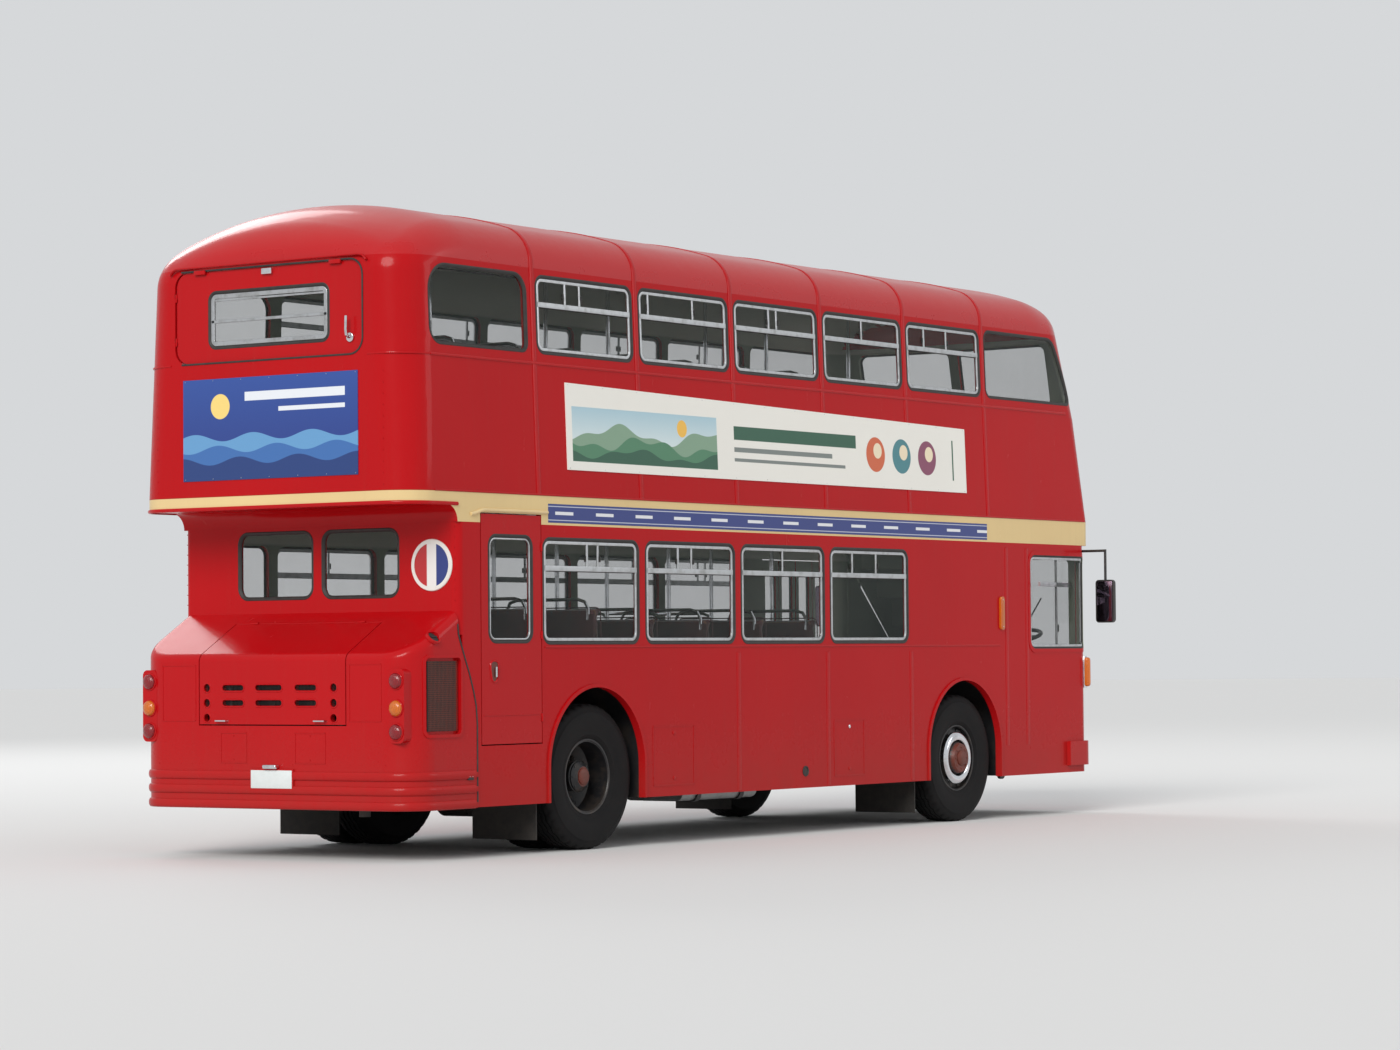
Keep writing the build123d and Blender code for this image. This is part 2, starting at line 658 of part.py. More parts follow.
def lower_sides():
    """The two side walls of the lower deck with their arches, windows and door openings."""
    right = LOWER_SHELL & block(RECESS_X + WALL, CAB_X, -FAR_Y, -HALF_W + WALL, 0, BAND_LOW_Z)
    right = cut_all(right - SEAM, lower_windows(-1)) - side_door_hole()
    left = LOWER_SHELL & block(RECESS_X + WALL, ENTRANCE_X1, HALF_W - WALL, FAR_Y, 0, BAND_LOW_Z)
    left = cut_all(left - SEAM, lower_windows(1))
    left -= block(ENTRANCE_X0 - LEAF_GAP, ENTRANCE_X1 + 10, HALF_W - 90, FAR_Y, 0, ENTRANCE_Z1 + SHUT_GAP)
    for x in (REAR_AXLE_X, FRONT_AXLE_X):
        right -= arch_cut(x, -1, ARCH_HALF, HALF_W - 90, HALF_W + 30)
        right += arch_lip(x, -1)
        left -= arch_cut(x, 1, ARCH_HALF, HALF_W - 90, HALF_W + 30)
        left += arch_lip(x, 1)
    return right, left


def lower_front():
    """The lower front with the windscreen frame and the cab's side with its raised window frame."""
    right = LOWER_SHELL & block(CAB_X, FRONT_X, -FAR_Y, 0, 0, BAND_LOW_Z)
    left = LOWER_SHELL & block(ENTRANCE_X1, FRONT_X, 0, FAR_Y, 0, BAND_LOW_Z)
    form = right + left
    rim = lower_form(-CAB_RIM_OUT) - lower_form(0, SKIRT_Z - 10, BAND_LOW_Z + 10)
    form += rim & cab_window(CAB_RIM)[0]
    return cut_all(form, windscreens() + cab_window())


def lower_rear():
    """The upright wall between the lower saloon and the engine, with two windows."""
    wall = lower_form(0, UNDER_FLOOR_Z) & block(RECESS_X - 1, RECESS_X + WALL, -HALF_W, HALF_W, 0, BAND_LOW_Z)
    low = block(RECESS_X - 5, RECESS_X + WALL + 5, -HALF_W - 5, -HALF_W + WALL, 0, SEAM_TOP_Z)
    return cut_all(wall - low - other_side(low), recess_windows())


def upper_walls():
    """The four walls of the upper deck, cut from one leaning shell."""
    shell = UPPER_OUT - UPPER_IN
    shell = shell & block(REAR_X - 10, FRONT_X + 10, -FAR_Y, FAR_Y, BAND_LOW_Z, ROOF_SPLIT_Z)
    shell = shell - overhang_air(0)
    top = ROOF_SPLIT_Z + 100
    soffit_end = RECESS_X + SOFFIT_T
    soffit = (overhang_air(SOFFIT_T) - overhang_air(0)) & UPPER_IN
    soffit = soffit & block(REAR_X - 10, soffit_end, -FAR_Y, FAR_Y, BAND_LOW_Z, top)
    rear = shell & block(REAR_X - 10, REAR_SPLIT_X, -FAR_Y, FAR_Y, 0, top)
    rear += soffit & block(REAR_X - 10, REAR_SPLIT_X, -FAR_Y, FAR_Y, 0, top)
    rear = cut_all(rear, rear_quarter_window(-1) + rear_quarter_window(1))
    rear -= end_pane(-REAR_DOOR_HALF - SHUT_GAP, REAR_DOOR_HALF + SHUT_GAP, REAR_DOOR_Z0 - SHUT_GAP,
                     REAR_DOOR_Z1 + SHUT_GAP, REAR_DOOR_R + 6, REAR_X - 10, REAR_X + 200)
    sides = []
    for side in (-1, 1):
        y0, y1 = sorted((0.0, side * FAR_Y))
        wall = shell & block(REAR_SPLIT_X, FRONT_UPPER_SPLIT_X, y0, y1, 0, top)
        wall += soffit & block(REAR_SPLIT_X, soffit_end, y0, y1, 0, top)
        sides.append(cut_all(wall, upper_windows(side) + rear_quarter_window(side)))
    right, left = sides
    right -= side_door_hole()
    front = shell & block(FRONT_UPPER_SPLIT_X, FRONT_X + 10, -FAR_Y, FAR_Y, 0, top)
    lip = UPPER_IN & block(LOWER_FRONT_X - 400, FRONT_X, -FAR_Y, FAR_Y, BAND_LOW_Z, BAND_LOW_Z + SOFFIT_T)
    front += lip - lower_form(WALL, BAND_LOW_Z - 10, BAND_LOW_Z + 100)
    front = cut_all(front, front_quarter_window(-1) + front_quarter_window(1) + front_upper_windows())
    blind = end_pane(-BLIND_HALF, BLIND_HALF, BLIND_Z[0], BLIND_Z[1], 30, FRONT_X - 200, FRONT_X + 50)
    front -= blind - upper_form(BLIND_DEEP)
    return right, left, rear, front


def roof():
    """The one piece roof with its front and rear domes."""
    return (UPPER_OUT - ROOF_IN) & block(REAR_X - 10, FRONT_X + 10, -HALF_W, HALF_W, ROOF_SPLIT_Z, HEIGHT + 10)


def wheelhouses():
    """Four wheelhouses, open below, to the side and towards the axle."""
    shells = []
    for x, side, half in HOUSES:
        shell = house(x, side, half, HOUSE_T) - house(x, side, half, 0)
        y0, y1 = sorted((side * (HOUSE_INNER_Y - HOUSE_T - 1), side * (HOUSE_INNER_Y + 1)))
        shells.append(shell - block(x - half, x + half, y0, y1, 0, UNDER_FLOOR_Z))
    return shells


def without_houses(form, grow=HOUSE_T):
    """A form cut away where the wheelhouses are."""
    for x, side, half in HOUSES:
        form -= house(x, side, half, grow)
    return form


def lower_floor():
    """The lower saloon floor with the entrance steps let into it."""
    inner = lower_form(WALL)
    floor = inner & block(RECESS_X, FRONT_X, -HALF_W, HALF_W, UNDER_FLOOR_Z, LOWER_FLOOR_Z)
    floor = without_houses(floor)
    well_x0 = ENTRANCE_X0 - LEAF_GAP
    floor -= block(well_x0, FRONT_X, MID_STEP_Y, HALF_W, 0, LOWER_FLOOR_Z + 10)
    tread_low = MID_STEP_Z - 30
    step = block(well_x0, FRONT_X, STEP_Y - STEP_T, HALF_W, SKIRT_Z, STEP_Z)
    step += block(well_x0, FRONT_X, STEP_Y - STEP_T, STEP_Y, SKIRT_Z, MID_STEP_Z)
    step += block(well_x0, FRONT_X, MID_STEP_Y, STEP_Y, tread_low, MID_STEP_Z)
    step += block(well_x0, FRONT_X, MID_STEP_Y - STEP_T, MID_STEP_Y, tread_low, LOWER_FLOOR_Z)
    return floor + (step & inner)


def staircase():
    """Treads and risers between a wall string and an open string."""
    wall_y = -HALF_W + WALL + STAIR_WALL_GAP
    pieces = []
    for i in range(STAIR_RISERS):
        x = STAIR_X0 - i * TREAD
        z = LOWER_FLOOR_Z + i * RISER
        pieces.append(block(x - STAIR_T, x, wall_y, STAIR_Y, z, z + RISER))
        if i < STAIR_RISERS - 1:
            pieces.append(block(x - TREAD - STAIR_T, x, wall_y, STAIR_Y, z + RISER - STAIR_T, z + RISER))
    top_z = BAND_TOP_Z
    behind = STAIR_TOP_X - STAIR_T
    string = side_prism([(STAIR_X0, LOWER_FLOOR_Z), (STAIR_X0, LOWER_FLOOR_Z + RISER + 60),
                         (STAIR_TOP_X, top_z), (behind, top_z), (behind, UPPER_FLOOR_Z - RISER - 130),
                         (STAIR_X0 - 160, LOWER_FLOOR_Z)], STAIR_Y, STAIR_Y + 20)
    return without_houses(join(pieces) + string)


def upper_floor():
    """The upper saloon floor with its stairwell."""
    floor = UPPER_IN & block(REAR_X, FRONT_X, -HALF_W, HALF_W, BAND_TOP_Z, UPPER_FLOOR_Z)
    return floor - block(STAIR_TOP_X - STAIR_T, STAIR_X0 - 200, -HALF_W - 10, STAIR_Y + 20,
                         BAND_TOP_Z - 10, UPPER_FLOOR_Z + 10)


def vent_panes(side):
    """The air vent's opening in one side of the bustle, and the same with its raised frame."""
    y0, y1 = sorted((side * (HALF_W - 200), side * (HALF_W + 40)))
    x0, x1 = VENT_X
    z0, z1 = VENT_Z
    opening = side_pane(x0, x1, z0, z1, VENT_R, y0, y1)
    around = side_pane(x0 - VENT_RIM, x1 + VENT_RIM, z0 - VENT_RIM, z1 + VENT_RIM, VENT_R + VENT_RIM, y0, y1)
    return opening, around


def bustle_and_bonnet():
    """The engine bustle with its ribs, vents, filler and lamp housings, and the bonnet cut from it."""
    solid = bustle_form(0, BUSTLE_EDGE_R)
    hollow = bustle_form(WALL)
    shell = (solid - hollow) & SEAM
    for z in RIB_Z:
        band = extrude(plan(z - RIB_H / 2, BUSTLE_X - RIB_OUT, FRONT_X, HALF_W + RIB_OUT, BUSTLE_R + RIB_OUT, 50.0,
                            FRONT_BOW), RIB_H)
        shell += (band - hollow) & SEAM & block(REAR_X - 50, SEAM_X, -2000, 2000, BUSTLE_LOW_Z, 2000)
    hole = block(REAR_X - 50, BONNET_TOP_X, BONNET_RIGHT_Y, BONNET_LEFT_Y, BONNET_LOW_Z, 2000)
    lid = block(REAR_X - 50, BONNET_TOP_X - SHUT_GAP, BONNET_RIGHT_Y + SHUT_GAP, BONNET_LEFT_Y - SHUT_GAP,
                BONNET_LOW_Z + SHUT_GAP, 2000)
    bonnet = shell & lid
    for y in (-HOLE_Y, HOLE_Y):
        for z in HOLE_ROWS:
            bonnet -= rod_x(y, z, HOLE_R, REAR_X - 50, REAR_X + 120)
    for z in SLOT_ROWS:
        for y, w in SLOTS:
            bonnet -= end_pane(y - w / 2, y + w / 2, z - SLOT_H / 2, z + SLOT_H / 2, 24, REAR_X - 50, REAR_X + 120)
    shell -= hole
    proud = bustle_form(-VENT_PROUD) - bustle_form(0)
    sunk = bustle_form(VENT_DEEP)
    for side in (-1, 1):
        y0, y1 = sorted((side * LAMP_PAD_Y[0], side * LAMP_PAD_Y[1]))
        shell += end_pane(y0, y1, *LAMP_PAD_Z, 40, REAR_X + 12, REAR_X + 130) - bustle_form(0)
        opening, around = vent_panes(side)
        shell += proud & around
        shell -= opening - sunk
    filler = Pos(FILLER_X, -HALF_W + 20, FILLER_Z) * Rot(45, 0, 0)
    shell += filler * Cylinder(FILLER_R + FILLER_RIM, 20) - hollow
    shell -= filler * Cylinder(FILLER_R, 50)
    return shell, bonnet


def chassis_frame():
    """Two long rails joined by cross members, with a towing lug near each rail's front end."""
    x0 = REAR_X + 160
    x1 = LOWER_FRONT_X - WALL - 60
    pieces = []
    for side in (-1, 1):
        y0, y1 = sorted((side * RAIL_Y, side * (RAIL_Y + RAIL_W)))
        pieces.append(block(x0, x1, y0, y1, RAIL_LOW_Z, UNDER_FLOOR_Z))
        y0, y1 = sorted((side * TOW_Y, side * (TOW_Y + TOW_T)))
        lug = block(TOW_X - TOW_LUG_R, TOW_X + TOW_LUG_R, y0, y1, TOW_Z, RAIL_LOW_Z)
        lug += rod_y(TOW_X, TOW_Z, TOW_LUG_R, y0, y1)
        pieces.append(lug - rod_y(TOW_X, TOW_Z, TOW_R, y0 - 5, y1 + 5))
    for x in CROSS_X:
        pieces.append(block(x - 40, x + 40, -RAIL_Y - 10, RAIL_Y + 10, RAIL_LOW_Z + 30, UNDER_FLOOR_Z - 30))
    return join(pieces)


def outriggers():
    """Arms from the rails out to the body sides."""
    arms = []
    for x in OUTRIGGER_X:
        for side in (-1, 1):
            y0, y1 = sorted((side * (RAIL_Y + RAIL_W), side * (HALF_W - WALL)))
            arms.append(block(x - 30, x + 30, y0, y1, UNDER_FLOOR_Z - OUTRIGGER_H, UNDER_FLOOR_Z))
    return arms


def fuel_tank():
    """A rounded tank hung from the floor by two straps."""
    x0, x1 = TANK_X
    y0, y1 = TANK_Y
    tank = end_pane(y0, y1, TANK_Z[0], TANK_Z[1], TANK_R, x0, x1)
    for x in (x0 + 150, x1 - 150):
        tank += block(x - STRAP_W / 2, x + STRAP_W / 2, y0 + 100, y1 - 100, TANK_Z[1] - 10, UNDER_FLOOR_Z)
    return tank


def air_tanks():
    """Two round air tanks hung from the floor."""
    tanks = []
    x0, x1 = AIR_TANK_X
    for y in AIR_TANK_Y:
        tank = rod_x(y, AIR_TANK_Z, AIR_TANK_R, x0, x1)
        for x in (x0 + 150, x1 - 150):
            tank += block(x - STRAP_W / 2, x + STRAP_W / 2, y - 30, y + 30, AIR_TANK_Z + 60, UNDER_FLOOR_Z)
        tanks.append(tank)
    return tanks


def exhaust():
    """A silencer behind the rear axle, fed from the engine above it, and its tail pipe."""
    x0, x1 = SILENCER_X
    form = rod_x(SILENCER_Y, SILENCER_Z, SILENCER_R, x0, x1)
    form += block((x0 + x1) / 2 - STRAP_W / 2, (x0 + x1) / 2 + STRAP_W / 2, SILENCER_Y - 30, SILENCER_Y + 30,
                  SILENCER_Z + 60, UNDER_FLOOR_Z)
    feed_y = SILENCER_Y + PIPE_OFF
    tail_y = SILENCER_Y - PIPE_OFF
    form += rod_x(feed_y, SILENCER_Z, PIPE_R, FEED_X, x0 + 10) + rod_z(FEED_X, feed_y, PIPE_R, SILENCER_Z, UNDER_FLOOR_Z)
    form += Pos(FEED_X, feed_y, SILENCER_Z) * Sphere(PIPE_R)
    form += rod_x(tail_y, SILENCER_Z, PIPE_R, TAIL_X, x0 + 10) + rod_z(TAIL_X, tail_y, PIPE_R, TAIL_LOW_Z, SILENCER_Z)
    form += Pos(TAIL_X, tail_y, SILENCER_Z) * Sphere(PIPE_R)
    return form - rod_z(TAIL_X, tail_y, PIPE_R - 4, TAIL_LOW_Z - 1, TAIL_LOW_Z + 60)


def engine():
    """The engine and gearbox across the back, as one plain block on the rails."""
    body = block(REAR_X + 90, RECESS_X - 40, *ENGINE_Y, UNDER_FLOOR_Z, ENGINE_TOP_Z)
    sump = block(REAR_X + 130, RECESS_X - 60, -RAIL_Y + 30, RAIL_Y - 30, SUMP_Z, UNDER_FLOOR_Z)
    return body + sump


def leaf_spring(x, side, seat_z):
    """A bowed leaf pack that rests on the axle and reaches up to the rail at both ends."""
    y0, y1 = sorted((side * RAIL_Y, side * (RAIL_Y + RAIL_W)))
    pack = block(x - 80, x + 80, y0, y1, seat_z, seat_z + SPRING_T)
    for end in (-1, 1):
        a = x + end * 60
        b = x + end * SPRING_HALF
        pack += side_prism([(a, seat_z), (b, RAIL_LOW_Z - SPRING_T), (b, RAIL_LOW_Z), (a, seat_z + SPRING_T)], y0, y1)
    return pack


def front_axle():
    """A dropped beam with an upright eye at each end and its leaf springs."""
    low_z = AXLE_Z - 215
    seat_z = AXLE_Z - 105
    beam = block(FRONT_AXLE_X - 45, FRONT_AXLE_X + 45, -700, 700, low_z, seat_z)
    for side in (-1, 1):
        y0, y1 = sorted((side * 640.0, side * 740.0))
        beam += block(FRONT_AXLE_X - 45, FRONT_AXLE_X + 45, y0, y1, low_z, AXLE_Z + EYE_HALF)
        y0, y1 = sorted((side * 640.0, side * KINGPIN_Y))
        beam += block(FRONT_AXLE_X - 40, FRONT_AXLE_X + 40, y0, y1, AXLE_Z - EYE_HALF, AXLE_Z + EYE_HALF)
        beam += rod_z(FRONT_AXLE_X, side * KINGPIN_Y, EYE_HALF, AXLE_Z - EYE_HALF, AXLE_Z + EYE_HALF)
    for side in (-1, 1):
        beam -= rod_z(FRONT_AXLE_X, side * KINGPIN_Y, KINGPIN_R + RUN_FIT, AXLE_Z - 100, AXLE_Z + 100)
        beam += leaf_spring(FRONT_AXLE_X, side, seat_z)
    return beam


def knuckle(side):
    """A fork over the axle's eye, its kingpin and the wheel's spindle."""
    y = side * KINGPIN_Y
    gap_z = EYE_HALF + 0.5
    fork = rod_z(FRONT_AXLE_X, y, FORK_R, AXLE_Z + gap_z, AXLE_Z + FORK_HALF)
    fork += rod_z(FRONT_AXLE_X, y, FORK_R, AXLE_Z - FORK_HALF, AXLE_Z - gap_z)
    fork += rod_z(FRONT_AXLE_X, y, KINGPIN_R, AXLE_Z - FORK_HALF, AXLE_Z + FORK_HALF)
    y0, y1 = sorted((y + side * (FORK_R + 1), y + side * 96.0))
    web = block(FRONT_AXLE_X - 55, FRONT_AXLE_X + 55, y0, y1, AXLE_Z - FORK_HALF, AXLE_Z + FORK_HALF)
    a, b = sorted((y, y + side * 60.0))
    for low in (-FORK_HALF, gap_z):
        web += block(FRONT_AXLE_X - 40, FRONT_AXLE_X + 40, a, b, AXLE_Z + low, AXLE_Z + low + FORK_HALF - gap_z)
    spindle = rod_y(FRONT_AXLE_X, AXLE_Z, SPINDLE_R, y + side * 90.0, side * (HUB_Y + 120))
    return fork + web + spindle


def tyre(x, y):
    """A tyre: tread, round shoulders and sides down to the rim."""
    h = TYRE_W / 2
    points = [(RIM_R, y - h * RIM_PART), (RIM_R + 70, y - h), (TYRE_R - 80, y - h), (TYRE_R, y - h * 0.68),
              (TYRE_R, y + h * 0.68), (TYRE_R - 80, y + h), (RIM_R + 70, y + h), (RIM_R, y + h * RIM_PART)]
    return lathe_y(points, x, AXLE_Z)


def front_wheel(side):
    """Rim, dished disc and hub of a front wheel."""
    y = side * HUB_Y
    h = TYRE_W / 2 * RIM_PART
    s = side
    bore = SPINDLE_R + RUN_FIT
    points = [(bore, y - s * 60), (120, y - s * 60), (120, y + s * 60), (RIM_R - 22, y + s * 40),
              (RIM_R - 22, y - s * h), (RIM_R, y - s * h), (RIM_R, y + s * h), (RIM_R - 14, y + s * h),
              (RIM_R - 14, y + s * 60), (140, y + s * 84), (110, y + s * 150), (bore, y + s * 150)]
    return lathe_y(points, x=FRONT_AXLE_X, z=AXLE_Z)


def rear_wheels(side):
    """Twin rims and discs of one end of the rear axle, bolted to one hub."""
    s = side
    y_out = s * REAR_TRACK_OUTER / 2
    y_in = y_out - s * TWIN_PITCH
    mid = (y_out + y_in) / 2
    h = TYRE_W / 2 * RIM_PART
    pieces = []
    for y in (y_out, y_in):
        pieces.append(lathe_y([(RIM_R - 20, y - h), (RIM_R, y - h), (RIM_R, y + h), (RIM_R - 20, y + h)],
                              REAR_AXLE_X, AXLE_Z))
        toward = 1 if (mid - y) > 0 else -1
        pieces.append(lathe_y([(100, mid), (100, mid - toward * 14), (150, mid - toward * 14),
                               (RIM_R - 18, y + toward * 60), (RIM_R - 18, y + toward * 78), (150, mid)],
                              REAR_AXLE_X, AXLE_Z))
    pieces.append(lathe_y([(SPINDLE_R + RUN_FIT, mid - s * 60), (135, mid - s * 60), (135, mid + s * 40),
                           (105, mid + s * 60), (105, y_out + s * 40), (70, y_out + s * 70), (0, y_out + s * 70),
                           (0, y_out + s * 50), (SPINDLE_R + RUN_FIT, y_out + s * 50)], REAR_AXLE_X, AXLE_Z))
    return join(pieces)


def rear_axle():
    """A low beam with a gear case in the middle and a drop case and spindle at each end."""
    low_z = AXLE_Z - REAR_DROP
    beam = rod_y(REAR_AXLE_X, low_z, 70, -REAR_CASE_Y - 10, REAR_CASE_Y + 10)
    beam += rod_y(REAR_AXLE_X, low_z, 130, -130, 130)
    for side in (-1, 1):
        y0, y1 = sorted((side * REAR_CASE_Y, side * (REAR_CASE_Y + 75)))
        case = rod_y(REAR_AXLE_X, low_z, 75, y0, y1) + rod_y(REAR_AXLE_X, AXLE_Z, 75, y0, y1)
        case += block(REAR_AXLE_X - 75, REAR_AXLE_X + 75, y0, y1, low_z, AXLE_Z)
        spindle = rod_y(REAR_AXLE_X, AXLE_Z, SPINDLE_R, side * (REAR_CASE_Y + 10),
                        side * (REAR_TRACK_OUTER / 2 + 40))
        beam += case + spindle + leaf_spring(REAR_AXLE_X, side, low_z + 40)
    return beam


def side_door():
    """The emergency door behind the rear wheel, and its window."""
    door = block(SIDE_DOOR_X0, SIDE_DOOR_X1, -HALF_W, -HALF_W + WALL, SIDE_DOOR_Z0, SIDE_DOOR_Z1)
    x0, x1 = SIDE_DOOR_X0 + 82, SIDE_DOOR_X1 - 100
    z0, z1 = SIDE_DOOR_WIN_Z
    door -= side_pane(x0, x1, z0, z1, WIN_R, -HALF_W - 10, -HALF_W + 90)
    glass = side_pane(x0 + FIT, x1 - FIT, z0 + FIT, z1 - FIT, WIN_R - FIT,
                      -HALF_W + GLASS_IN, -HALF_W + GLASS_IN + GLASS_T)
    return door, glass


def rear_door():
    """The emergency door at the back of the upper deck, and its window."""
    face_x = REAR_X + REAR_DOOR_SET
    half, r = REAR_DOOR_WIN_HALF, REAR_DOOR_WIN_R
    z0, z1 = REAR_DOOR_WIN_Z
    form = end_pane(-REAR_DOOR_HALF, REAR_DOOR_HALF, REAR_DOOR_Z0, REAR_DOOR_Z1, REAR_DOOR_R, face_x, face_x + WALL)
    form -= end_pane(-half, half, z0, z1, r, REAR_X - 10, REAR_X + 90)
    glass_x = face_x + GLASS_IN
    glass = end_pane(-half + FIT, half - FIT, z0 + FIT, z1 - FIT, r - FIT, glass_x, glass_x + GLASS_T)
    return form, glass


def entrance_leaves():
    """Four narrow door leaves, each with one tall window, and the windows."""
    y1 = HALF_W - LEAF_IN
    y0 = y1 - LEAF_T
    z0, z1 = LEAF_WIN_Z
    leaves = []
    x = ENTRANCE_X0
    for i in range(4):
        leaf = block(x, x + LEAF_W, y0, y1, ENTRANCE_Z0, ENTRANCE_Z1)
        a, b = x + LEAF_FRAME, x + LEAF_W - LEAF_FRAME
        leaf -= side_pane(a, b, z0, z1, 45, y0 - 10, y1 + 10)
        glass = side_pane(a + FIT, b - FIT, z0 + FIT, z1 - FIT, 45 - FIT, y0 + 12, y0 + 18)
        leaves.append((leaf, glass))
        x += LEAF_W + (MIDDLE_GAP if i == 1 else LEAF_GAP)
    return leaves


def body_glass():
    """All fixed windows: thin panes that follow the walls."""
    lower_film = lower_form(GLASS_IN) - lower_form(GLASS_IN + GLASS_T, SKIRT_Z - 10, BAND_LOW_Z + 10)
    lower_cuts = lower_windows(-1, -FIT) + lower_windows(1, -FIT) + cab_window(-FIT)
    lower_cuts += windscreens(-FIT) + recess_windows(-FIT)
    upper_film = upper_form(GLASS_IN) - upper_form(GLASS_IN + GLASS_T)
    upper_cuts = front_upper_windows(-FIT)
    for side in (-1, 1):
        upper_cuts += upper_windows(side, -FIT) + rear_quarter_window(side, -FIT) + front_quarter_window(side, -FIT)
    return [cut & lower_film for cut in lower_cuts] + [cut & upper_film for cut in upper_cuts]


def pads(x, y0, y1, z, back_h):
    """A cushion with its low face at z, and the back behind it."""
    cushion = block(x, x + CUSHION_D, y0, y1, z, z + CUSHION_T)
    cushion = fillet(cushion.edges().filter_by(Axis.Y).group_by(Axis.Z)[-1], PAD_R)
    back = block(x - BACK_T, x - FIT, y0, y1, z + BACK_RISE, z + BACK_RISE + back_h)
    back = fillet(back.edges().filter_by(Axis.Y).group_by(Axis.Z)[-1], PAD_R)
    return [cushion, back]


def seat(x, side, floor_z):
    """A double seat facing forward: the pads and the frame under and behind them."""
    y0, y1 = sorted((side * SEAT_Y0, side * SEAT_Y1))
    z = floor_z + CUSHION_Z
    leg_y = side * (SEAT_Y0 + 120)
    frame = block(x - BACK_T - 20, x + CUSHION_D, y0, y1, z - 25, z - FIT)
    frame += block(x - BACK_T - 20, x - BACK_T - FIT, y0, y1, z - 25, z + BACK_H)
    frame += block(x + 60, x + 320, leg_y - 20, leg_y + 20, floor_z, z - 20)
    return pads(x, y0, y1, z, BACK_H), frame


def arch_seat(x, side):
    """A double seat on a plinth over a rear wheelhouse."""
    y0, y1 = sorted((side * SEAT_Y0, side * SEAT_Y1))
    z = HOUSE_TOP_Z + ARCH_SEAT_Z
    plinth = block(x - BACK_T - 20, x + CUSHION_D, y0, y1, LOWER_FLOOR_Z, z - FIT)
    plinth = without_houses(plinth, HOUSE_T + 2)
    plinth += block(x - BACK_T - 20, x - BACK_T - FIT, y0, y1, z - 25, z + ARCH_BACK_H)
    return pads(x, y0, y1, z, ARCH_BACK_H), plinth


def bench():
    """The seat across the back of the lower saloon, beside the emergency door."""
    y0, y1 = BENCH_Y
    z = LOWER_FLOOR_Z + CUSHION_Z
    x = BENCH_X
    base = block(x - BACK_T - 20, x + CUSHION_D - 60, y0, y1, LOWER_FLOOR_Z, z - FIT)
    base += block(x - BACK_T - 20, x - BACK_T - FIT, y0, y1, z - 25, z + BACK_H)
    return pads(x, y0, y1, z, BACK_H), base


def seats():
    """All passenger seats of both decks: their pads and their frames."""
    made = [bench()]
    for side in (-1, 1):
        made += [arch_seat(x, side) for x in ARCH_SEAT_X]
    # seat places, side, floor height
    rows = (
        (LOWER_SEAT_X[:RIGHT_LOWER_SEATS], -1, LOWER_FLOOR_Z),
        (LOWER_SEAT_X, 1, LOWER_FLOOR_Z),
        (UPPER_SEAT_X, 1, UPPER_FLOOR_Z),
        (UPPER_SEAT_X[:RIGHT_UPPER_SEATS], -1, UPPER_FLOOR_Z),
    )
    for places, side, floor_z in rows:
        made += [seat(x, side, floor_z) for x in places]
    soft = [pad for pair, frame in made for pad in pair]
    return soft, [frame for pair, frame in made]


def driver_seat():
    """The driver's seat on its pedestal."""
    z = LOWER_FLOOR_Z
    x, y = DRIVER_X, DRIVER_Y
    form = block(x - 40, x + 220, y - 120, y + 120, z, z + 360)
    form += block(x - 110, x + 330, y - 230, y + 230, z + 360, z + 470)
    form += block(x - 190, x - 90, y - 220, y + 220, z + 400, z + 1060)
    return form


def steering_wheel():
    """Rim, hub, spokes and column in front of the driver."""
    place = Pos(WHEEL_X, DRIVER_Y, WHEEL_Z) * Rot(0, COLUMN_LEAN, 0)
    g = WHEEL_GRIP_R
    grip = [(WHEEL_R - g, -g / 2), (WHEEL_R - g / 2, -g), (WHEEL_R + g / 2, -g), (WHEEL_R + g, -g / 2),
            (WHEEL_R + g, g / 2), (WHEEL_R + g / 2, g), (WHEEL_R - g / 2, g), (WHEEL_R - g, g / 2)]
    rim = revolve(Plane.XZ * make_face(Polyline(*grip, close=True)), Axis.Z)
    form = place * rim
    form += place * Cylinder(45, 40)
    form += place * Box(2 * WHEEL_R, 30, 14)
    form += place * Box(30, 2 * WHEEL_R, 14)
    column = place * Pos(0, 0, -480) * Cylinder(32, 960)
    return form + (column & block(0, FRONT_X, -HALF_W, 0, LOWER_FLOOR_Z, LOWER_FLOOR_Z + 2000))


def cab_wall():
    """The partition behind the driver and the low wall beside the seat."""
    z = LOWER_FLOOR_Z
    form = block(CAB_X, CAB_X + 30, -HALF_W + WALL, CAB_WALL_Y, z, BAND_TOP_Z)
    form -= block(CAB_X - 5, CAB_X + 40, -1080, -430, z + 800, z + 1450)
    return form + block(CAB_X, CAB_X + 760, CAB_WALL_Y, CAB_WALL_Y + 30, z, z + 1000)


def dashboard():
    """The shelf below the windscreen, across the cab."""
    inner = lower_form(WALL, DASH_Z[0], DASH_Z[1])
    return inner & block(DASH_X, FRONT_X, -HALF_W, DASH_LEFT_Y, 0, HEIGHT)


def mirrors():
    """A tall mirror on a bent arm at each front corner."""
    pieces = []
    front = lower_form(0)
    low_z, high_z = MIRROR_Z
    for side in (-1, 1):
        y = side * MIRROR_Y
        head = block(MIRROR_X - 20, MIRROR_X + 20, y - 85, y + 85, low_z, high_z)
        head = fillet(head.edges().filter_by(Axis.X), 30)
        arm = rod_z(MIRROR_X, y, MIRROR_ARM_R, high_z - 10, MIRROR_ARM_Z + MIRROR_ARM_R)
        a, b = sorted((side * (HALF_W - 100), y))
        arm += rod_y(MIRROR_X, MIRROR_ARM_Z, MIRROR_ARM_R, a, b)
        pieces.append(head + (arm - front))
    return pieces


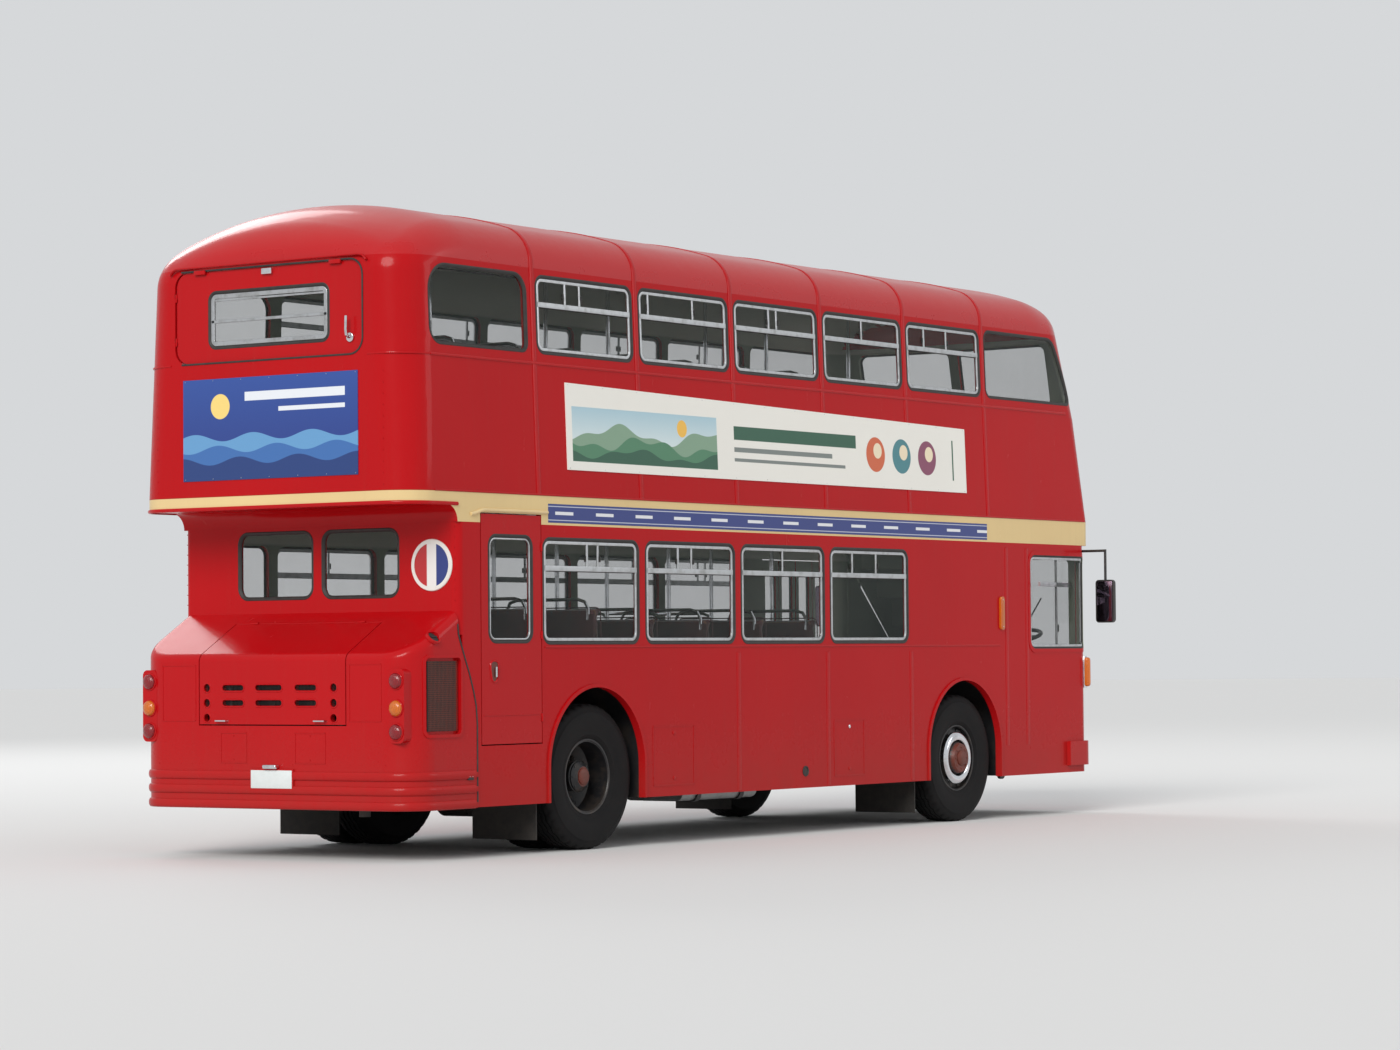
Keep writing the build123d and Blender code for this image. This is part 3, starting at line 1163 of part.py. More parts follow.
def rear_lamps():
    """Three round lamps on each rear housing."""
    return [lamp(side * LAMP_Y, z, LAMP_R, REAR_X + 12, REAR_X) for side in (-1, 1) for z in LAMP_Z]


def front_lamps():
    """Twin round headlamps each side."""
    front = lower_form(0)
    places = [side * y for side in (-1, 1) for y in HEADLAMP_Y]
    return [lamp(y, HEADLAMP_Z, HEADLAMP_R, LOWER_FRONT_X - 80, LOWER_FRONT_X + 10) - front for y in places]


def side_lamps():
    """The amber lamps: an upright one high on each side and one each side of the front."""
    pieces = []
    front = lower_form(0)
    x = SIDE_LAMP_X
    half = SIDE_LAMP_W / 2
    for side in (-1, 1):
        y0, y1 = sorted((side * HALF_W, side * (HALF_W + SIDE_LAMP_OUT)))
        pieces.append(side_pane(x - half, x + half, *SIDE_LAMP_Z, 28, y0, y1))
        y = side * INDICATOR_Y
        flasher = end_pane(y - 30, y + 30, *INDICATOR_Z, 28, LOWER_FRONT_X - 90, LOWER_FRONT_X - 24)
        pieces.append(flasher - front)
    return pieces


def bumper():
    """The bumper across the lower front."""
    low_z, high_z = BUMPER_Z
    bar = lower_form(-BUMPER_T, low_z, high_z) - lower_form(0, low_z - 10, high_z + 10)
    return bar & block(FRONT_X - 500, FRONT_X, -FAR_Y, FAR_Y, 0, 1000)


def mudflaps():
    """Rubber flaps behind the wheels, hung from the floor."""
    pieces = []
    for x, side, half in HOUSES:
        y0, y1 = sorted((side * FLAP_Y[0], side * FLAP_Y[1]))
        back = x - half - HOUSE_T
        pieces.append(block(back - FLAP_T, back, y0, y1, *FLAP_Z))
    return pieces


def handrails():
    """Upright poles beside the gangway on both decks."""
    pieces = []
    for x in LOWER_SEAT_X[::2]:
        for side in (-1, 1):
            pieces.append(rod_z(x - BACK_T - 60, side * POLE_Y, POLE_R, LOWER_FLOOR_Z, BAND_TOP_Z))
    for x in UPPER_SEAT_X[1::3]:
        for side in (-1, 1):
            pole = rod_z(x - BACK_T - 60, side * POLE_Y, POLE_R, UPPER_FLOOR_Z, HEIGHT)
            pieces.append(pole & ROOF_IN)
    return pieces


def write(name, shapes):
    """Write one node, from one shape or a list of shapes that don't touch."""
    many = shapes if isinstance(shapes, list) else [shapes]
    solids = []
    for shape in many:
        solids += shape.solids()
    node = solids[0] if len(solids) == 1 else Compound(children=solids)
    node.label = name
    export_step(node, "parts/" + name + ".step")


def write_entrance(side_left, front_low):
    """Hang the four door leaves from the door posts, write them, and return the posts' walls."""
    leaves = entrance_leaves()
    doors = [leaf for leaf, pane in leaves]
    inner_y = HALF_W - LEAF_IN - LEAF_T - HINGE_PROUD
    outer_y = HALF_W - LEAF_IN + HINGE_PROUD
    rear_crease_x = ENTRANCE_X0 + LEAF_W + LEAF_GAP / 2
    front_crease_x = ENTRANCE_X1 - LEAF_W - 1.5 * LEAF_GAP
    rear_post_x = ENTRANCE_X0 - LEAF_GAP / 2
    front_post_x = ENTRANCE_X1 - LEAF_GAP / 2
    side_left, doors[0] = hinge(side_left, doors[0], rear_post_x, inner_y, LEAF_HINGES)
    front_low, doors[3] = hinge(front_low, doors[3], front_post_x, inner_y, LEAF_HINGES)
    doors[0], doors[1] = hinge(doors[0], doors[1], rear_crease_x, outer_y, LEAF_HINGES)
    doors[3], doors[2] = hinge(doors[3], doors[2], front_crease_x, outer_y, LEAF_HINGES)
    for i in range(4):
        write("entrance_leaf_" + str(i + 1), doors[i])
        write("leaf_glass_" + str(i + 1), leaves[i][1])
    return side_left, front_low


def write_body():
    """Write the body's walls, roof, floors and outer doors."""
    side_right, side_left = lower_sides()
    front_low = lower_front()
    door, pane = side_door()
    side_right, door = hinge(side_right, door, SIDE_DOOR_X1 + SHUT_GAP / 2, -HALF_W - HINGE_PROUD, SIDE_DOOR_HINGES)
    write("side_emergency_door", door)
    write("side_door_glass", pane)
    side_left, front_low = write_entrance(side_left, front_low)
    write("side_lower_right", side_right)
    write("side_lower_left", side_left)
    write("front_lower", front_low)
    write("rear_lower", lower_rear())
    upper_right, upper_left, rear_upper, front_upper = upper_walls()
    door, pane = rear_door()
    rear_upper, door = hinge(rear_upper, door, REAR_X + REAR_DOOR_SET - HINGE_PROUD,
                             REAR_DOOR_HALF + SHUT_GAP / 2, REAR_DOOR_HINGES)
    write("rear_emergency_door", door)
    write("rear_door_glass", pane)
    write("side_upper_right", upper_right)
    write("side_upper_left", upper_left)
    write("rear_upper", rear_upper)
    write("front_upper", front_upper)
    write("roof", roof())
    write("body_glass", body_glass())


def write_engine():
    """Write the engine bustle, its bonnet and the engine."""
    bustle, bonnet = bustle_and_bonnet()
    hinge_x = BONNET_TOP_X - SHUT_GAP / 2
    slope = (BUSTLE_MEET_Z - BUSTLE_SHOULDER_Z) / (RECESS_X - BUSTLE_X)
    hinge_z = BUSTLE_SHOULDER_Z + (hinge_x - BUSTLE_X) * slope + HINGE_PROUD
    bustle, bonnet = level_hinge(bustle, bonnet, hinge_x, hinge_z, BONNET_HINGES)
    write("engine_bustle", bustle)
    write("bonnet", bonnet)
    write("engine_block", engine())


def write_wheels():
    """Write the axles, knuckles, wheels and tyres."""
    write("front_axle", front_axle())
    write("rear_axle", rear_axle())
    y_out = REAR_TRACK_OUTER / 2
    for side, name in ((1, "left"), (-1, "right")):
        write("knuckle_" + name, knuckle(side))
        write("front_wheel_" + name, front_wheel(side))
        write("front_tyre_" + name, tyre(FRONT_AXLE_X, side * HUB_Y))
        write("rear_wheels_" + name, rear_wheels(side))
        write("rear_tyres_" + name, [tyre(REAR_AXLE_X, side * y) for y in (y_out, y_out - TWIN_PITCH)])


def main():
    """Make every piece and write it."""
    os.makedirs("parts", exist_ok=True)
    write_body()
    write_engine()
    write_wheels()
    soft, frames = seats()
    write("seat_pads", soft)
    write("seat_frames", frames)
    # name of the node, what makes it
    plain = (
        ("wheelhouses", wheelhouses),
        ("lower_floor", lower_floor),
        ("upper_floor", upper_floor),
        ("staircase", staircase),
        ("chassis_frame", chassis_frame),
        ("outriggers", outriggers),
        ("fuel_tank", fuel_tank),
        ("air_tanks", air_tanks),
        ("exhaust", exhaust),
        ("driver_seat", driver_seat),
        ("steering_wheel", steering_wheel),
        ("cab_wall", cab_wall),
        ("dashboard", dashboard),
        ("mirrors", mirrors),
        ("rear_lamps", rear_lamps),
        ("front_lamps", front_lamps),
        ("side_lamps", side_lamps),
        ("front_bumper", bumper),
        ("mudflaps", mudflaps),
        ("handrails", handrails),
    )
    for name, make in plain:
        write(name, make())


main()
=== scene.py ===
"""Finishes and fittings of a double decker bus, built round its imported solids.

Everything is in metres in the frame of the solids: +X forward, +Y the entrance side, +Z up.
"""

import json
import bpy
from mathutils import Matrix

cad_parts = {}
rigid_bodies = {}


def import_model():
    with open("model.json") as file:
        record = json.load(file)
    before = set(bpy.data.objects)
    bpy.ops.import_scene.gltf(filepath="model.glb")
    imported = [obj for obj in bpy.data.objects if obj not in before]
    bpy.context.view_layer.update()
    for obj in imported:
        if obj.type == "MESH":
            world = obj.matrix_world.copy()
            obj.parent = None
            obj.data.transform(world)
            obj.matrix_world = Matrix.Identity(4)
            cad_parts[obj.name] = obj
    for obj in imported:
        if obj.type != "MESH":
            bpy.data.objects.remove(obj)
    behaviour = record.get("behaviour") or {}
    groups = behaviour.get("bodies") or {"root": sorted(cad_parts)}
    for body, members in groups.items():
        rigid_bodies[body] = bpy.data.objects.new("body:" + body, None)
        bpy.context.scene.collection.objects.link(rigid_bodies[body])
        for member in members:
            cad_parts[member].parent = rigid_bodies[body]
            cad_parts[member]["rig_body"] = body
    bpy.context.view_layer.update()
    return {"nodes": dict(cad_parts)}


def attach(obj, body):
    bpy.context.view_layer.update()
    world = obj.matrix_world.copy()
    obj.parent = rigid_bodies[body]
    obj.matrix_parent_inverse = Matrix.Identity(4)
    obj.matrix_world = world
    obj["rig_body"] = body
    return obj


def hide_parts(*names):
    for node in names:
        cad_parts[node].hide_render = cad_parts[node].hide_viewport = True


bl_info = {
    "name": "Double Decker Bus Looks",
    "version": (1, 0, 0),
    "blender": (4, 5, 0),
    "location": "3D View > Sidebar > Bus",
    "description": "Paint, glass, trim, seats and wheels of a double decker bus",
    "category": "Object",
}

import bmesh
import bpy
import numpy as np
from mathutils import Matrix, Vector

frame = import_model()
NODES = frame["nodes"]

# Sizes that the solids share with the fittings
HALF_W = 1.219
REAR_X = -4.572
FRONT_X = 4.572
HEIGHT = 4.44
RECESS_X = REAR_X + 0.504
LOWER_FRONT_X = FRONT_X - 0.072
SKIRT_Z = 0.342
BAND_LOW = 2.24
BAND_TOP = 2.44
WAIST_Z = 3.30
LOWER_FLOOR = 0.68
UPPER_FLOOR = 2.50
OVERHANG_Z = 2.355
BUSTLE_X = REAR_X + 0.007
FRONT_AXLE_X = 2.426
REAR_AXLE_X = -2.527
AXLE_Z = 0.505
FRONT_HUB_Y = 1.030
REAR_HUB_Y = 1.025
TWIN_PITCH = 0.320
FIRST_BAY = -3.136
BAY_PITCH = 1.2
WIN_W = 1.112
PILLARS = FIRST_BAY - 0.044 + BAY_PITCH * np.arange(6)
CROWN_R = 3.2
EAVES_R = 0.28
WALL_POINT = np.array([HALF_W - 0.030, WAIST_Z])
WALL_LEAN = np.arctan(0.045 / 1.3)
# The middle of the roof's circle
CROWN_MIDDLE = np.array([0.0, HEIGHT - CROWN_R])


def shade(red, green, blue):
    """A screen colour of 0 to 255 as the linear colour that Blender takes."""
    parts = np.array([red, green, blue]) / 255.0
    linear = np.where(parts <= 0.04045, parts / 12.92, ((parts + 0.055) / 1.055) ** 2.4)
    return (float(linear[0]), float(linear[1]), float(linear[2]), 1.0)


def unit(v):
    """Vectors along the last axis at length one."""
    v = np.asarray(v, float)
    return v / np.maximum(np.linalg.norm(v, axis=-1, keepdims=True), 1e-12)


def cross_frame(axis):
    """Two unit vectors square to an axis and to each other."""
    axis = unit(axis)
    helper = np.array([0.0, 0.0, 1.0]) if abs(axis[2]) < 0.9 else np.array([1.0, 0.0, 0.0])
    first = unit(np.cross(helper, axis))
    return first, np.cross(axis, first)


def smooth(value, low, high):
    """0 below low, 1 above high and a cubic ease between."""
    t = np.clip((value - low) / (high - low), 0.0, 1.0)
    return t * t * (3.0 - 2.0 * t)


class Form:
    """Surfaces gathered into one mesh, with the finish number of each face."""

    def __init__(self):
        self.points = []
        self.faces = []
        self.marks = []
        self.count = 0

    def add(self, points, faces, mark=0):
        """Adds points and the faces that count from the first of them."""
        points = np.asarray(points, float).reshape(-1, 3)
        self.points.append(points)
        for face in faces:
            self.faces.append([int(i) + self.count for i in face])
        self.marks += [mark] * len(faces)
        self.count += len(points)

    def grid(self, p, wrap_u=False, wrap_v=False, caps=False, mark=0):
        """A grid of points as quads, joined round where it wraps and closed by a flat face at each end."""
        rows, columns = p.shape[:2]
        index = np.arange(rows * columns).reshape(rows, columns)
        ends = [index[0].tolist(), index[-1, ::-1].tolist()]
        if wrap_u:
            index = np.vstack([index, index[:1]])
        if wrap_v:
            index = np.hstack([index, index[:, :1]])
        corners = (index[:-1, :-1], index[1:, :-1], index[1:, 1:], index[:-1, 1:])
        faces = np.stack(corners, axis=-1).reshape(-1, 4).tolist()
        self.add(p, faces + ends if caps else faces, mark)

    def block(self, low, high, r=0.003, mark=0, steps=2):
        """A box with round edges: each point is a corner of a smaller box plus r times a direction."""
        low, high = np.minimum(low, high), np.maximum(low, high)
        centre, half = (low + high) / 2, (high - low) / 2
        r = min(r, half.min() * 0.98)
        arc = np.radians(np.linspace(0, 90, steps + 1))
        turn = np.concatenate([q * np.pi / 2 + arc for q in range(4)])
        rise = np.concatenate([arc - np.pi / 2, arc])
        quarter = np.repeat(np.arange(4), steps + 1)
        side = np.stack([np.array([1, -1, -1, 1])[quarter], np.array([1, 1, -1, -1])[quarter]])
        up = np.repeat([-1, 1], steps + 1)
        p = np.zeros((len(rise), len(turn), 3))
        p[..., 0] = side[0] * (half[0] - r) + r * np.cos(rise)[:, None] * np.cos(turn)
        p[..., 1] = side[1] * (half[1] - r) + r * np.cos(rise)[:, None] * np.sin(turn)
        p[..., 2] = (up * (half[2] - r) + r * np.sin(rise))[:, None]
        self.grid(p + centre, wrap_v=True, caps=True, mark=mark)

    def lathe(self, profile, centre, axis, segments=32, mark=0, closed=False):
        """A profile of (radius, height) pairs turned about an axis through centre."""
        profile = np.asarray(profile, float)
        u, w = cross_frame(axis)
        angle = np.linspace(0, 2 * np.pi, segments, endpoint=False)
        ring = np.cos(angle)[:, None] * u + np.sin(angle)[:, None] * w
        r, travel = profile.T[:, :, None, None]
        p = np.asarray(centre, float) + r * ring + travel * unit(axis)
        self.grid(p, wrap_u=closed, wrap_v=True, caps=not closed, mark=mark)

    def sweep(self, path, out, profile, closed=False, mark=0):
        """A profile of (across, proud) pairs carried along a path: across is tangent times out."""
        path = np.asarray(path, float)
        out = np.broadcast_to(np.asarray(out, float), path.shape)
        profile = np.asarray(profile, float)
        if closed:
            ahead = np.roll(path, -1, axis=0) - np.roll(path, 1, axis=0)
        else:
            ahead = np.gradient(path, axis=0)
        across = unit(np.cross(unit(ahead), out))
        p = path[:, None] + profile[:, 0, None] * across[:, None] + profile[:, 1, None] * out[:, None]
        self.grid(p, wrap_u=closed, wrap_v=True, caps=not closed, mark=mark)

    def strip(self, path, out, width, base, top, r=0.003, closed=False, mark=0):
        """A strip with its two upper corners rounded, across a width or from one across value to another."""
        low, high = width if isinstance(width, tuple) else (-width / 2, width / 2)
        r = min(r, (high - low) * 0.45, (top - base) * 0.45)
        arc = np.radians([180, 150, 120, 90])
        left = [(low + r + r * np.cos(a), top - r + r * np.sin(a)) for a in arc]
        right = [(high - r + r * np.cos(a), top - r + r * np.sin(a)) for a in arc - np.pi / 2]
        self.sweep(path, out, [(low, base)] + left + right + [(high, base)], closed, mark)

    def tube(self, path, r, normal, sides=10, closed=False, mark=0):
        """A round bar along a path that lies flat in the plane with that normal."""
        angle = np.linspace(0, 2 * np.pi, sides, endpoint=False)
        self.sweep(path, unit(normal), np.stack([r * np.cos(angle), r * np.sin(angle)], axis=1), closed, mark)

    def bar(self, start, end, r, sides=10, mark=0):
        """A straight round bar with flat ends."""
        start, end = np.asarray(start, float), np.asarray(end, float)
        length = np.linalg.norm(end - start)
        c = min(r * 0.3, length * 0.2)
        self.lathe([(r - c, 0), (r, c), (r, length - c), (r - c, length)], start, end - start, sides, mark)

    def shell(self, p, out, proud, deep, mark=0):
        """A sheet on a wall, closed at its edges: the grid p moved out by proud and in by deep."""
        outer = p + out * proud
        inner = p - out * deep
        self.grid(np.concatenate([outer, inner[::-1]]), wrap_u=True, mark=mark)
        for side in (0, -1):
            self.grid(np.stack([outer[:, side], inner[:, side]], axis=1), mark=mark)

    def domes(self, places, out, r, rise=0.4, sides=6, mark=0):
        """Rivet heads: two rings and a top over each place, all worked out as one array."""
        places = np.asarray(places, float).reshape(-1, 3)
        out = unit(np.broadcast_to(out, places.shape))
        u, w = cross_frame(out[0])
        angle = np.linspace(0, 2 * np.pi, sides, endpoint=False)
        ring = r * (np.cos(angle)[:, None] * u + np.sin(angle)[:, None] * w)
        rim = places[:, None] + ring[None] - 0.001 * out[:, None]
        mid = places[:, None] + 0.7 * ring[None] + rise * 0.75 * r * out[:, None]
        top = (places + rise * r * out)[:, None]
        points = np.concatenate([rim, mid, top], axis=1)
        i = np.arange(sides)
        j = (i + 1) % sides
        quads = np.stack([i, j, j + sides, i + sides], axis=1).tolist()
        tops = [[int(a) + sides, int(b) + sides, 2 * sides] for a, b in zip(i, j)]
        template = quads + tops + [i[::-1].tolist()]
        size = 2 * sides + 1
        faces = [[k + n * size for k in face] for n in range(len(places)) for face in template]
        self.add(points, faces, mark)

    def build(self, name, slot, *finishes, body="root", crease=35.0):
        """The gathered mesh as one piece that rides on a body."""
        mesh = bpy.data.meshes.new(name)
        mesh.from_pydata(np.concatenate(self.points).tolist(), [], self.faces)
        set_finishes(mesh, finishes)
        mesh.polygons.foreach_set("material_index", np.array(self.marks, dtype=np.int32))
        tidy_mesh(mesh, True, crease)
        return piece(name, mesh, body)


def set_finishes(mesh, names):
    """The named finishes as a mesh's only materials."""
    mesh.materials.clear()
    for name in names:
        mesh.materials.append(FINISH[name].material)


def tidy_mesh(mesh, turn_out, crease):
    """Merges doubled points, points closed shells outwards and shades all but the sharp edges smooth."""
    bm = bmesh.new()
    bm.from_mesh(mesh)
    bmesh.ops.remove_doubles(bm, verts=bm.verts, dist=0.00001)
    if turn_out:
        bmesh.ops.recalc_face_normals(bm, faces=bm.faces)
    bm.to_mesh(mesh)
    bm.free()
    mesh.polygons.foreach_set("use_smooth", np.ones(len(mesh.polygons), dtype=bool))
    mesh.set_sharp_from_angle(angle=np.radians(crease))
    mesh.update()


def piece(name, mesh, body):
    """A new object for a mesh, riding on a body."""
    obj = bpy.data.objects.new(name, mesh)
    bpy.context.scene.collection.objects.link(obj)
    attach(obj, body)
    return obj


def vectors_of(items, key):
    """One vector of each of a mesh's vertices or faces, as an array."""
    found = np.empty(len(items) * 3)
    items.foreach_get(key, found)
    return found.reshape(-1, 3)


def dress(node, slot, *finishes, pick=None):
    """A merged copy of a CAD node in its place. pick(middles, normals) marks the second finish's faces."""
    mesh = NODES[node].data.copy()
    set_finishes(mesh, finishes)
    loose = mesh.attributes.get("custom_normal")
    if loose is not None:
        mesh.attributes.remove(loose)
    tidy_mesh(mesh, False, 30.0)
    marks = np.zeros(len(mesh.polygons), dtype=np.int32)
    if pick is not None:
        marks[pick(vectors_of(mesh.polygons, "center"), vectors_of(mesh.polygons, "normal"))] = 1
    mesh.polygons.foreach_set("material_index", marks)
    obj = piece(node + "_finished", mesh, NODES[node]["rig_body"])
    obj.modifiers.new("even_shading", "WEIGHTED_NORMAL").keep_sharp = True
    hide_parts(node)


def side_y(z):
    """Half the width of the body at a height: upright, then two slopes inwards."""
    return HALF_W - np.interp(z, [BAND_TOP, WAIST_Z, 4.60], [0.0, 0.030, 0.075])


def side_out(z, side):
    """The outward normal of a side wall at each height."""
    z = np.asarray(z, float)
    slope = (side_y(z - 0.01) - side_y(z + 0.01)) / 0.02
    return unit(np.stack([np.zeros_like(z), side * np.ones_like(z), slope], axis=-1))


def wall_points(x, z, side):
    """Points on a side wall, and the wall's normals there."""
    x, z = np.broadcast_arrays(np.asarray(x, float), np.asarray(z, float))
    return np.stack([x, side * side_y(z), z], axis=-1), side_out(z, side)


def front_x(y, z):
    """The front of the body: a slope back with height, less the sagitta of its bow across."""
    back = np.interp(z, [BAND_TOP, WAIST_Z, 4.60], [0.0, 0.094, 0.352])
    foremost = np.where(np.asarray(z) < BAND_LOW, LOWER_FRONT_X, FRONT_X - back)
    half = side_y(z)
    bow_r = (half**2 + 0.06**2) / 0.12
    return foremost - (bow_r - np.sqrt(bow_r**2 - np.asarray(y, float) ** 2))


def front_points(y, z):
    """Points on the front of the body, and the front's normals there from its slopes."""
    y, z = np.broadcast_arrays(np.asarray(y, float), np.asarray(z, float))
    x = front_x(y, z)
    step = 0.004
    by_y = (front_x(y + step, z) - front_x(y - step, z)) / (2 * step)
    by_z = (front_x(y, z + step) - front_x(y, z - step)) / (2 * step)
    return np.stack([x, y, z], axis=-1), unit(np.stack([np.ones_like(x), -by_y, -by_z], axis=-1))


def roof_half(low_z):
    """The outline from low_z on a side wall over the round edge to the roof's middle: (y, z) and normals.

    The edge is an arc whose centre stands its radius inside the wall and inside the roof's circle.
    """
    along = np.array([-np.sin(WALL_LEAN), np.cos(WALL_LEAN)])
    out = np.array([np.cos(WALL_LEAN), np.sin(WALL_LEAN)])
    start = WALL_POINT - EAVES_R * out - CROWN_MIDDLE
    reach = CROWN_R - EAVES_R
    b = start @ along
    travel = -b + np.sqrt(b * b - start @ start + reach * reach)
    toward = start + travel * along
    meet = np.arctan2(toward[1], toward[0])
    arc = np.linspace(WALL_LEAN, meet, 14)
    crown = np.linspace(meet, np.pi / 2, 14)[1:]
    edge = CROWN_MIDDLE + toward + EAVES_R * np.stack([np.cos(arc), np.sin(arc)], axis=1)
    top = CROWN_MIDDLE + CROWN_R * np.stack([np.cos(crown), np.sin(crown)], axis=1)
    z = np.array([low_z, WAIST_Z])
    wall = np.stack([side_y(z), z], axis=1)
    low_out = side_out(np.array([low_z, WAIST_Z - 0.02]), 1)[:, 1:]
    angle = np.concatenate([arc, crown])
    normals = np.concatenate([low_out, np.stack([np.cos(angle), np.sin(angle)], axis=1)])
    return np.concatenate([wall, edge, top]), normals


def roof_arch(low_z):
    """The whole outline from one side wall over the roof to the other, as (y, z) and normals."""
    points, normals = roof_half(low_z)
    flip = np.array([-1.0, 1.0])
    return (np.concatenate([points, (points * flip)[-2::-1]]),
            np.concatenate([normals, (normals * flip)[-2::-1]]))


def arithmetic(operation, swapped=False):
    """A method that joins a signal and another value, with the two swapped where Python asks for it."""
    def method(self, other):
        return self.maths(operation, *((other, self) if swapped else (self, other)))
    return method


class Signal:
    """A node's output socket that takes Python's arithmetic."""

    __add__ = arithmetic("ADD")
    __radd__ = arithmetic("ADD", True)
    __sub__ = arithmetic("SUBTRACT")
    __rsub__ = arithmetic("SUBTRACT", True)
    __mul__ = arithmetic("MULTIPLY")
    __rmul__ = arithmetic("MULTIPLY", True)
    at_least = arithmetic("MAXIMUM")

    def __init__(self, finish, socket):
        self.finish = finish
        self.socket = socket

    def maths(self, operation, *values, clamp=False):
        settings = {"operation": operation, "use_clamp": clamp}
        return self.finish.node("ShaderNodeMath", settings, dict(enumerate(values)))

    def limited(self):
        """The value held between 0 and 1."""
        return self.maths("ADD", self, 0.0, clamp=True)

    def over(self, edge, soft):
        """0 below edge and 1 above it, over a soft width."""
        return ((self - edge) * (1.0 / soft) + 0.5).limited()

    def within(self, low, high, soft):
        """1 between low and high and 0 outside."""
        return self.over(low, soft) * (1.0 - self.over(high, soft))

    def absolute(self):
        return self.maths("ABSOLUTE", self)

    def repeat(self, period):
        """How far through the present one of equal periods the value is, from 0 to 1."""
        return self.maths("FRACT", self * (1.0 / period))

    def wave(self, period, start=0.0):
        """A sine wave from -1 to 1 that repeats over a period."""
        return self.maths("SINE", (self + start) * (2.0 * np.pi / period))

    def near(self, x, other, y, r):
        """1 inside a circle of radius r about (x, y), where this value runs across and the other runs up."""
        gap = self.maths("SQRT", (self - x) * (self - x) + (other - y) * (other - y))
        return 1.0 - gap.over(r, 0.003)


FINISH = {}
# Added to a coordinate before it repeats, so that it counts from outside the bus
OUTSIDE = 20.0
COLOURS = ("red", "cream", "blue", "cloth", "vinyl")


class Finish:
    """A material kept by name: one Principled shader whose sockets are fed by node()."""

    def __init__(self, name, title=None, **constants):
        FINISH[name] = self
        self.material = bpy.data.materials.new(title or name)
        self.material.use_nodes = True
        self.tree = self.material.node_tree
        self.shader = self.tree.nodes["Principled BSDF"]
        for key, value in constants.items():
            self.shader.inputs[key.replace("_", " ").title().replace("Ior", "IOR")].default_value = value
        self.spot, self.x, self.y, self.z = self.coordinate(3)

    def coordinate(self, output):
        """One of the piece's own coordinates, 1 for its normal and 3 for its place, and its x, y and z."""
        whole = self.node("ShaderNodeTexCoord", output=output)
        parts = self.tree.nodes.new("ShaderNodeSeparateXYZ")
        self.tree.links.new(whole.socket, parts.inputs[0])
        return [whole] + [Signal(self, socket) for socket in parts.outputs]

    def node(self, kind, settings=None, values=None, output=0):
        """A node with its settings made first and then its sockets' values or links."""
        made = self.tree.nodes.new(kind)
        for key, value in (settings or {}).items():
            setattr(made, key, value)
        for key, value in (values or {}).items():
            self.feed(made.inputs[key], value)
        return Signal(self, made.outputs[output])

    def feed(self, socket, value):
        """A link or a plain value for one socket."""
        if isinstance(value, Signal):
            self.tree.links.new(value.socket, socket)
        else:
            socket.default_value = value

    def noise(self, scale, detail=3.0, roughness=0.55, stretch=None):
        """Soft noise from 0 to 1 over the piece's own place, stretched along chosen axes."""
        spot = self.spot
        if stretch is not None:
            spot = self.node("ShaderNodeVectorMath", {"operation": "MULTIPLY"}, {0: spot, 1: stretch})
        values = {"Vector": spot, "Scale": scale, "Detail": detail, "Roughness": roughness}
        return self.node("ShaderNodeTexNoise", {"noise_dimensions": "3D"}, values)

    def cells(self, scale):
        """The distance to the nearest of scattered points."""
        return self.node("ShaderNodeTexVoronoi", {"feature": "F1"}, {"Vector": self.spot, "Scale": scale})

    def blend(self, factor, first, second):
        """One colour turning into another as factor goes from 0 to 1. Three numbers are a screen colour."""
        colours = [shade(*c) if isinstance(c, tuple) and len(c) == 3 else c for c in (first, second)]
        return self.node("ShaderNodeMix", {"data_type": "RGBA"}, {0: factor, 6: colours[0], 7: colours[1]}, 2)

    def surface(self, colour, roughness, height=None, depth=0.0):
        """The shader's colour and roughness, and a height times depth in metres that only the light feels."""
        self.feed(self.shader.inputs["Base Color"], colour)
        self.feed(self.shader.inputs["Roughness"], roughness)
        if height is not None:
            bump = self.node("ShaderNodeBump", None, {"Strength": 1.0, "Distance": depth, "Height": height})
            self.feed(self.shader.inputs["Normal"], bump)


def weathered(made, base, height, depth):
    """Road dirt that fades out with height and a slow change of tone over a base, under thin varnish."""
    broad = made.noise(0.9, 2.0)
    fine = made.noise(7.0, 5.0, 0.65)
    streak = made.noise(3.0, 4.0, 0.6, (6.0, 6.0, 0.35))
    low = 1.0 - ((made.z - 0.45) * (1.0 / 0.7)).limited()
    mask = (low * low * (fine * 0.9 + 0.1) * 0.22 + streak.over(0.66, 0.3) * 0.04).limited()
    toned = made.blend((broad * 1.4 - 0.4).limited() * 0.35, base, made.blend(0.5, base, (120, 12, 16)))
    made.surface(made.blend(mask, toned, (96, 84, 72)), (mask * 0.5 + fine * 0.10 + 0.20).limited(),
                 height + made.noise(60.0, 2.0) * 0.02, depth)
    made.feed(made.shader.inputs["Coat Weight"], (0.15 - mask * 0.5).limited())


